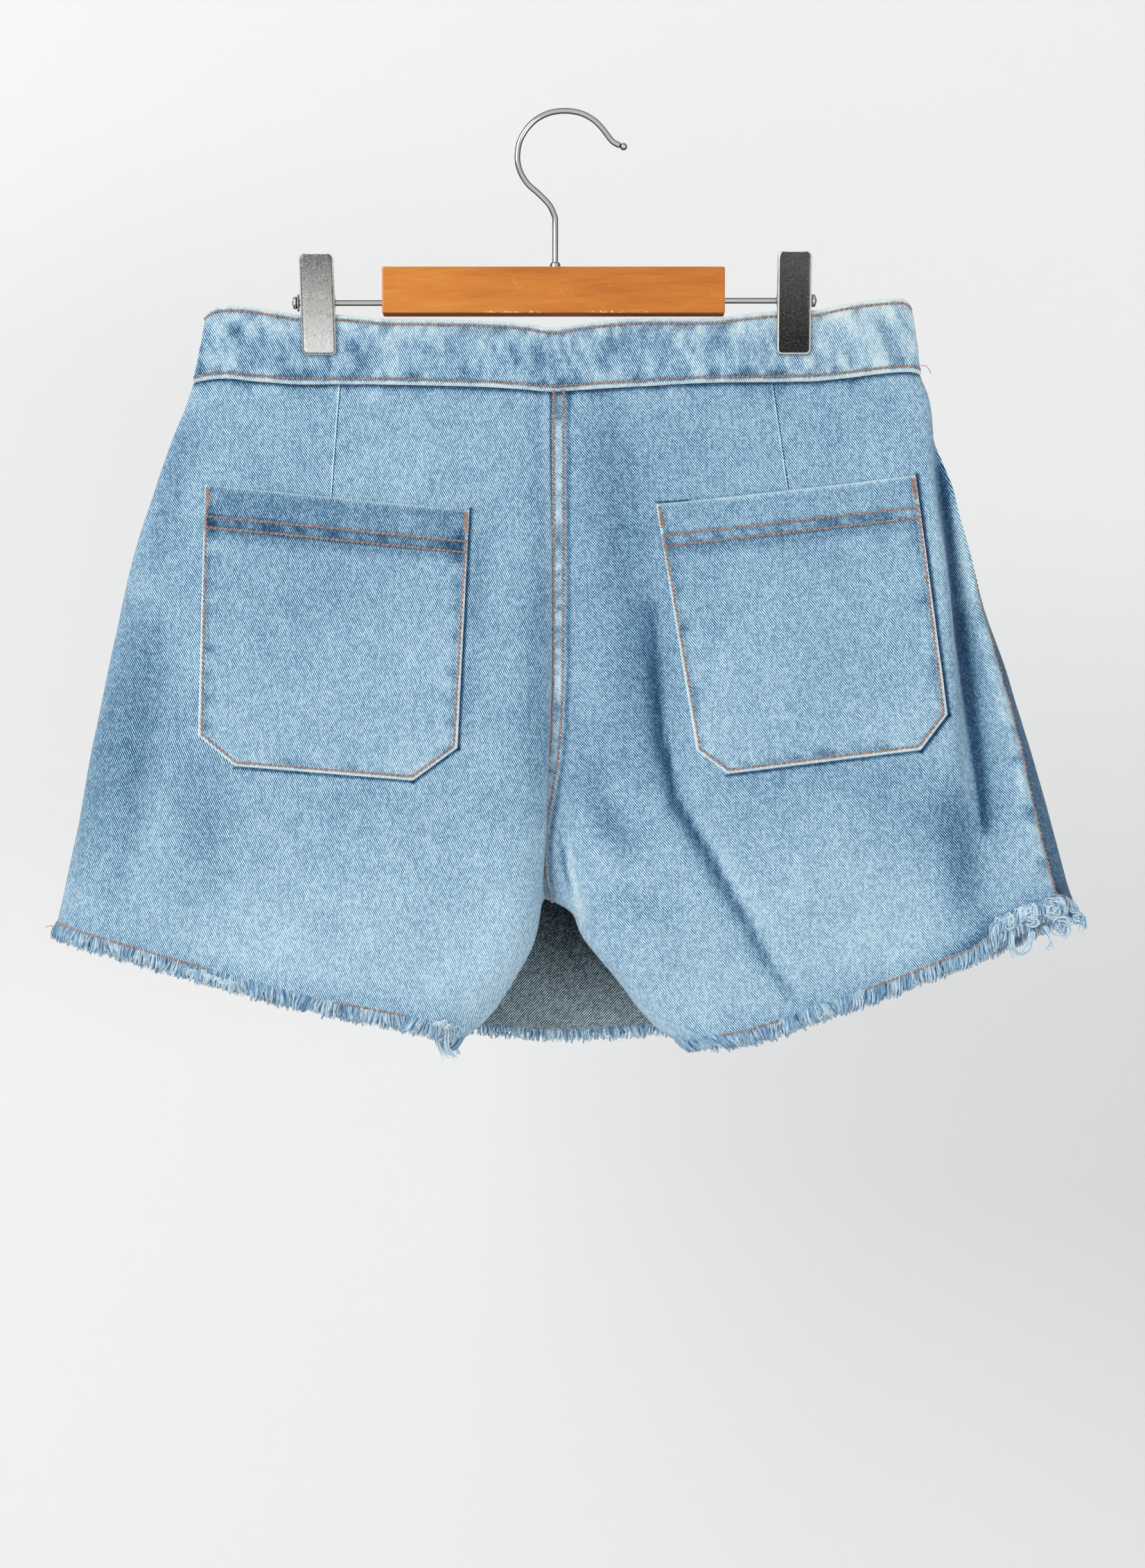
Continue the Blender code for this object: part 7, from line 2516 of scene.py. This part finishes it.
    def sew(self, skort: Skort, piece: Cloth) -> None:
        """Sews the pocket's edge, its hem and its bar tacks."""
        surface = surface_of(piece.made)
        inner = self.outline(2.0)
        top_left, top_right = np.array(self.corners[0]), np.array(self.corners[1])
        down_left, down_right = unit(inner[5] - inner[0]), unit(inner[2] - inner[1])
        left_start = top_left + (inner[0] - top_left) * 0.6
        right_start = top_right + (inner[1] - top_right) * 0.6
        rows = [[left_start + down_left * 15.0, inner[5], inner[4], inner[3], inner[2],
                 right_start + down_right * 15.0]]
        across = unit(top_right - top_left)
        for depth in POCKET_ROWS:
            rows.append([top_left + down_left * depth + across * 1.4,
                         top_right + down_right * depth - across * 1.4])
        lines = [cast_path(surface, row, 1.2) for row in rows]
        settle(skort.sewing.rows("stitches_" + self.name, lines))
        spans = []
        for start, down in ((left_start + across * 0.4, down_left),
                            (right_start - across * 0.4, down_right)):
            ends, facings = cast_path(surface, [start + down * 0.4, start + down * 11.0], 5.0)
            spans += zip(ends, ends[1:], facings)
        settle(skort.sewing.tacks("tacks_" + self.name, spans, 1.5))


POCKETS = (
    Pocket("pocket_left", "back_left",
           ((-181, -192), (-45.6, -205.2), (-51.4, -327), (-74, -343.6),
            (-164.6, -336.2), (-183.4, -320.6)), 63,
           (Crease(((-118, -258), (-100, -280), (-76, -304)), -0.75, 5, 7),
            Crease(((-126, -250), (-110, -272), (-88, -298)), 0.4, 7, 6)), shade=0.34),
    Pocket("pocket_right", "back_right",
           ((49.8, -202.4), (182.2, -187.6), (197.4, -310), (184, -328),
            (86, -340.2), (70.2, -328.4)), 51,
           (Crease(((150, -232), (160, -262), (164, -300)), 0.5, 9, 9),)))

# Long yarns at the right corner, on the left hem and at the inner corner of the left leg.
CURLS = (
    Curls("curls_corner", coils=((251.5, -407.5, 6.6, 44), (263, -414, 3.4, 14),
                                 (240, -414.5, 4.6, 16), (229, -417.5, 3.6, 12),
                                 (255, -417, 5, 22)),
          hem=((221, -422), (233, -416), (244, -412), (258, -412)), loops=12,
          bundles=((((230, -420), (230, -427), (233, -433)), 22),
                   (((240, -420), (238, -428), (233, -432)), 22),
                   (((247, -418), (250, -426), (247, -430)), 22),
                   (((256, -414), (258, -421), (256, -425)), 20),
                   (((261, -410), (266, -413), (266.5, -420)), 18))),
    Curls("curls_left", hem=((-188, -442), (-176, -445), (-163, -449.5)), height=3.2,
          loops=9, lean=-2.2),
    Curls("curls_inner", hem=((-62, -467.5), (-50, -471)), height=3, loops=4, lean=-2,
          bundles=((((-62, -469), (-61, -478), (-57, -484.5)), 26),
                   (((-57, -470), (-57, -479), (-53.5, -485.5)), 26),
                   (((-52, -472), (-53, -480), (-52, -484)), 20))))
LOOSE_ENDS = (
    ((186, -7, -130.6), (188.6, -8.6, -131.2), (190.9, -8, -134.6)),
    ((-259, -4, -418.8), (-261.4, -6, -418), (-263.4, -6.4, -418.9)),
    ((-45, -16, -203.6), (-42.6, -17, -204.2), (-41.4, -16.4, -205.6)))


# ---------------------------------------------------------------- hanger

@dataclass(frozen=True)
class ClipLeaf:
    """One leaf of a clip: a pressed plate with rounded corners, side flanges and a rolled lip.

    Attributes:
        name: its node in the CAD model.
        top: x and z of its upper end, mm.
        jaw: x and z of its lower end, mm.
        rod: height of the rod that it turns on, mm.
        width: of the plate, mm.
        side: -1 for the leaf on the seen side, 1 for the hidden one.
        sheet: thickness of its metal, mm.
        bend: radius between its plate and its flanges, mm.
        corner: radius of its four corners, mm.
        ear: radius of the lug that the rod passes through, mm.
        roll: radius of its lower lip, mm.
        shares: places down its length that the next two rows are given for.
        faces: distance of its outer face from the hanger's middle plane there, mm.
        flanges: depth of its flanges there, mm.
    """

    name: str
    top: tuple[float, float]
    jaw: tuple[float, float]
    rod: float
    width: float
    side: float
    sheet: float = 1.0
    bend: float = 1.25
    corner: float = 2.4
    ear: float = 3.4
    roll: float = 1.1
    shares: tuple[float, ...] = (0.0, 0.06, 0.34, 0.60, 0.82, 1.0)
    faces: tuple[float, ...] = (8.6, 8.5, 7.3, 6.3, 5.6, 5.3)
    flanges: tuple[float, ...] = (1.6, 2.6, 3.2, 2.4, 2.0, 2.0)

    def build(self, finish: Material) -> None:
        """Builds the leaf in place of its solid."""
        length = self.top[1] - self.jaw[1]
        near = (0.0, 0.15, 0.45, 0.9, 1.5, 2.2)
        places = sorted({*near, *(length - value for value in near),
                         *np.linspace(3.0, length - 3.0, 34)})
        rows = []
        for down in places:
            share = down / length
            face = float(np.interp(share, self.shares, self.faces))
            flange = float(np.interp(share, self.shares, self.flanges))
            height = self.top[1] - down
            off = abs(height - self.rod)
            if off < self.ear:
                flange = max(flange, face + math.sqrt(self.ear ** 2 - off ** 2) - 0.4)
            middle = self.top[0] + (self.jaw[0] - self.top[0]) * share
            rows.append(self.section(middle, height, face, flange,
                                     min(down, length - down), length - down))
        grid = np.array(rows)
        normals = grid_normals(grid, self.side)
        edge = np.minimum.reduce(border_distances(grid))
        half = self.sheet * 0.5 * (1.0 - 0.5 * bell(edge, 0.3))
        mesh = wall_mesh(self.name + "_plate", grid, normals, half, half,
                         np.zeros(grid.shape[:2] + (2,)), {})
        settle(show(mesh, (finish, finish)), self.name)

    def section(self, middle: float, height: float, face: float, flange: float, end: float,
                low: float) -> list[tuple[float, float, float]]:
        """Points across the plate at one height.

        Args:
            middle: x of its middle, mm.
            height: z, mm.
            face: distance of its outer face from the hanger's middle plane, mm.
            flange: depth of its flanges, mm.
            end: distance to the nearer end, mm.
            low: distance to the lower end, mm.

        Returns:
            The points.
        """
        round_off = max(self.corner - end, 0.0)
        half = self.width * 0.5 - self.sheet * 0.5
        half -= self.corner - math.sqrt(self.corner ** 2 - round_off ** 2)
        lip = max(self.roll - low, 0.0)
        sunk = self.sheet * 0.5 + self.roll - math.sqrt(self.roll ** 2 - lip ** 2)
        sunk += 0.10 * float(bell(low - 3.2, 1.2))
        bend = min(self.bend, flange - sunk - 0.1) if flange - sunk > 0.3 else 0.2
        side = [(half, flange + (sunk + bend - flange) * share) for share in (0.0, 0.4, 0.8)]
        for angle in map(math.radians, range(0, 91, 18)):
            side.append((half - bend * (1.0 - math.cos(angle)),
                         sunk + bend * (1.0 - math.sin(angle))))
        side += [((half - bend) * share, sunk) for share in (0.8, 0.5, 0.2)]
        points = [(-x, depth) for x, depth in side] + [(0.0, sunk)] + side[::-1]
        return [(middle + x, self.side * (face - depth), height) for x, depth in points]


@dataclass(frozen=True)
class Turning:
    """A turned piece along X or Z: rings (place along the axis, radius) from end to end.

    Attributes:
        name: its node in the CAD model.
        centre: a point of its axis, mm.
        rings: places along the axis and radii, mm; the first and last close it.
        metal: which finish it has.
        upright: true where the axis is Z.
        teeth: notches round its rim, none where 0.
        sides: corners of its section.
    """

    name: str
    centre: tuple[float, float, float]
    rings: tuple[tuple[float, float], ...]
    metal: Metal
    upright: bool = False
    teeth: int = 0
    sides: int = 32

    def build(self, finish: Material) -> None:
        """Builds the piece in place of its solid."""
        points = []
        for place, radius in self.rings:
            for side in range(self.sides):
                angle = 2.0 * math.pi * side / self.sides
                reach = radius * (1.0 - 0.09 * (math.cos(angle * self.teeth) > 0.3)
                                  if self.teeth else 1.0)
                across, over = reach * math.cos(angle), reach * math.sin(angle)
                spot = (across, over, place) if self.upright else (place, across, over)
                points.append([a + b for a, b in zip(spot, self.centre)])
        faces = [*ring_faces(len(self.rings), self.sides), tuple(range(self.sides)),
                 tuple(range(len(points) - self.sides, len(points)))]
        settle(show(plain_mesh(self.name + "_turned", points, faces), [finish]), self.name)


TURNINGS = (
    Turning("rod_left", (0, 0, -97.4), ((-137.2, 1.1), (-136.8, 1.5), (-79, 1.5)),
            Metal.CHROME),
    Turning("rod_right", (0, 0, -96.2), ((73.7, 1.5), (132.4, 1.5), (132.8, 1.1)),
            Metal.CHROME),
    Turning("rod_cap_left", (-136.8, 0, -97.4),
            ((0, 1.5), (0, 2.7), (0.25, 3), (1.4, 3.3), (1.75, 3.1), (2.1, 2.5),
             (2.25, 2.5), (2.3, 4.3), (2.45, 4.5), (2.95, 4.5), (3.1, 4.3), (3.1, 1.5)),
            Metal.ZINC, teeth=8),
    Turning("rod_cap_right", (130.4, 0, -96.2),
            ((0, 1.5), (0, 3.1), (0.2, 3.3), (1.3, 3.2), (1.6, 3), (2, 2.4), (2, 1.5)),
            Metal.ZINC),
    Turning("hook_ferrule", (-1.8, 0, -79.2),
            ((0, 1.5), (0, 2.55), (0.15, 2.7), (1.5, 2.7), (2.1, 2.55), (2.5, 2.2),
             (2.75, 1.5)), Metal.CHROME, upright=True))


@dataclass
class Hanger:
    """The clip hanger: bar, hook, rods with caps, and two clips.

    Attributes:
        bar: finish of the wooden bar.
        wire: thickness of the hook's wire, mm.
        tip: radius of its ball tip, mm.
    """

    bar: WoodFinish = WoodFinish("varnish", ((-0.0405, -0.0015), (0.0165, 0.0470)), -0.1036)
    wire: float = 3.0
    tip: float = 1.9

    def build(self) -> None:
        """Builds and dresses the hanger."""
        metals = {metal: MetalFinish(metal.name.lower(), metal).make() for metal in Metal}
        node = NODES["hanger_bar"]
        node.data.materials.clear()
        node.data.materials.append(self.bar.make())
        self.hook(metals[Metal.CHROME])
        for piece in TURNINGS:
            piece.build(metals[piece.metal])
        for side, top, jaw, rod, metal in (
                ("left", (-124.6, -73.6), (-123.0, -124.5), -97.4, Metal.NICKEL),
                ("right", (121.2, -72.3), (120.8, -124.2), -96.2, Metal.DARK_NICKEL)):
            ClipLeaf("clip_" + side + "_outer", top, jaw, rod, 17.8, -1.0).build(metals[metal])
            ClipLeaf("clip_" + side + "_inner", top, jaw, rod, 15.0, 1.0).build(metals[metal])
        LOG.info("hanger built")

    def hook(self, finish: Material) -> None:
        """Bends the hook's wire and its ball tip."""
        controls = np.array([(x, 0.0, z) for x, z in HOOK_PATH])
        straight, curved = controls[:4], controls[3:]
        line = along(curved, np.linspace(0.0, 1.0, 110))
        run = unit(controls[-1] - controls[-2])
        angles = np.radians(np.linspace(-62.0, 86.0, 14))
        ball = controls[-1] + run * (np.sin(angles) * self.tip)[:, None]
        path = np.vstack([straight[:-1], line[:-2], ball])
        radii = np.concatenate([np.full(len(path) - len(ball), self.wire * 0.5),
                                np.cos(angles) * self.tip])
        points, faces = tube(path, radii, 22)
        settle(show(plain_mesh("hook_wire", points, faces), [finish]), "hook")


# ---------------------------------------------------------------- studio

@dataclass(frozen=True)
class Lamp:
    """A soft area light: where it is, where it points, its size and power."""

    name: str
    place: tuple[float, float, float]
    aim: tuple[float, float, float]
    size: float
    power: float
    colour: tuple[float, float, float]

    def build(self) -> None:
        """Adds the light."""
        light = bpy.data.lights.new(self.name, "AREA")
        light.shape, light.size = "SQUARE", self.size
        light.energy, light.color = self.power, self.colour
        made = bpy.data.objects.new(self.name, light)
        made.location = self.place
        made.rotation_euler = (Vector(self.aim) - Vector(self.place)).to_track_quat(
            "-Z", "Y").to_euler()
        bpy.context.scene.collection.objects.link(made)


LAMPS = (Lamp("key", (-1.9, -2.1, 1.1), (0.05, 0.0, -0.6), 1.7, 47.0, (1.0, 0.985, 0.965)),
         Lamp("fill", (1.5, -2.3, -1.0), (0.25, 0.0, -0.8), 1.6, 22.0, (0.98, 0.99, 1.0)))


@dataclass(frozen=True)
class Studio:
    """Wall, floor, lights and camera.

    Attributes:
        wall: distance of the wall behind the origin, m.
        floor: height of the floor, m.
        world: strength of the pale surroundings.
        reach: half the width of both, m.
        top: height of the wall's upper edge, m.
        near: y of the floor's near edge, m.
        lens: focal length, mm.
        eye: where the camera stands, m; it looks level along +Y.
    """

    wall: float = 0.45
    floor: float = -1.0
    world: float = 0.65
    reach: float = 2.6
    top: float = 2.4
    near: float = -3.4
    lens: float = 71.27
    eye: tuple[float, float, float] = (0.0071, -1.6, -0.3453)

    def build(self) -> None:
        """Builds the studio and places the camera."""
        finish = StudioFinish("studio").make()
        foot, head, near = ((self.wall, self.floor), (self.wall, self.top),
                            (self.near, self.floor))
        for name, first, second in (("wall", foot, head), ("floor", near, foot)):
            mesh = bpy.data.meshes.new(name)
            mesh.from_pydata([(-self.reach, *first), (self.reach, *first),
                              (self.reach, *second), (-self.reach, *second)], [], [(0, 1, 2, 3)])
            show(mesh, [finish])
        for lamp in LAMPS:
            lamp.build()
        world = bpy.data.worlds.new("surroundings")
        world.use_nodes = True
        back = world.node_tree.nodes["Background"]
        back.inputs[0].default_value = (1.0, 0.995, 0.985, 1.0)
        back.inputs[1].default_value = self.world
        bpy.context.scene.world = world
        bpy.context.scene.view_settings.view_transform = "Standard"
        camera = bpy.data.cameras.new("camera")
        camera.lens, camera.sensor_width, camera.clip_start = self.lens, 36.0, 0.05
        made = bpy.data.objects.new("camera", camera)
        made.location = self.eye
        made.rotation_euler = (math.radians(90.0), 0.0, 0.0)
        bpy.context.scene.collection.objects.link(made)
        bpy.context.scene.camera = made


# ---------------------------------------------------------------- the whole

# The separate pieces on each sheet.
ON_CLOTH = {
    "waistband_back": ("stitches_waistband_back", "loose_threads"),
    "waistband_front": ("stitches_waistband_front",),
    "back_left": ("hem_stitches_back_left", "frayed_back_left", "curls_left", "curls_inner"),
    "back_right": ("stitches_back_right", "hem_stitches_back_right", "frayed_back_right",
                   "curls_corner"),
    "skirt_front": ("hem_stitches_skirt_front", "frayed_skirt_front"),
    "front_left": ("frayed_front_left",),
    "front_right": ("frayed_front_right",),
    "pocket_left": ("stitches_pocket_left", "tacks_pocket_left"),
    "pocket_right": ("stitches_pocket_right", "tacks_pocket_right")}
# Flat sizes of the waistband's halves and of a pocket, mm; the panels' own are in PLANS.
BANDS = {"waistband_back": (375.0, 41.0), "waistband_front": (370.0, 38.0)}
POCKET_SIZE = (139.0, 141.0)


def declare_sheets(skort: Skort) -> None:
    """Logs each cut piece's area beside the size that it was cut to."""
    for name, piece in skort.pieces.items():
        grid = piece.grid
        plan = next((plan for plan in PLANS if plan.name == name), None)
        area = float(np.linalg.norm(np.cross(grid[1:, :-1] - grid[:-1, :-1],
                                             grid[:-1, 1:] - grid[:-1, :-1]), axis=2).sum())
        width, length = plan.flat if plan else BANDS.get(name, POCKET_SIZE)
        LOG.info("%s: %.0f cm2 of %.0f cm2", name, area / 100.0, width * length / 100.0)
        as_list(ON_CLOTH[name])


def main() -> None:
    """Builds the garment, its hanger and the studio."""
    logging.basicConfig(level=logging.INFO, format="%(message)s")
    for made in list(bpy.data.objects):
        bpy.data.objects.remove(made)
    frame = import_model()
    NODES.update(frame["nodes"])
    SLOTS.update({part["node"]: part["material_slot"] for part in frame["record"]["subparts"]})
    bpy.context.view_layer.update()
    denim = Denim(left=DenimFinish("denim_left", tone=0.515, grooves=GROOVE_SHADING["left"],
                                   dart=DARTS["back_left"]).make(),
                  right=DenimFinish("denim_right", tone=0.49, grooves=GROOVE_SHADING["right"],
                                    dart=DARTS["back_right"]).make(),
                  front=DenimFinish("denim_front").make(),
                  band=DenimFinish("denim_band", tone=0.50, pitch=0.00102, cream=0.6).make(),
                  pocket=DenimFinish("denim_pocket", tone=0.51).make(),
                  inside=DenimFinish("denim_inside", ramp=INSIDE, dye=INSIDE, tone=0.50, lines=0.9,
                                     speckle=0.3, cream=0.1).make())
    skort = Skort(denim, Sewing(ThreadFinish("copper_thread").make()),
                  Fraying(FrayFinish("loose_yarn").make()))
    skort.build()
    Hanger().build()
    declare_sheets(skort)
    Studio().build()


if __name__ == "__main__":
    main()
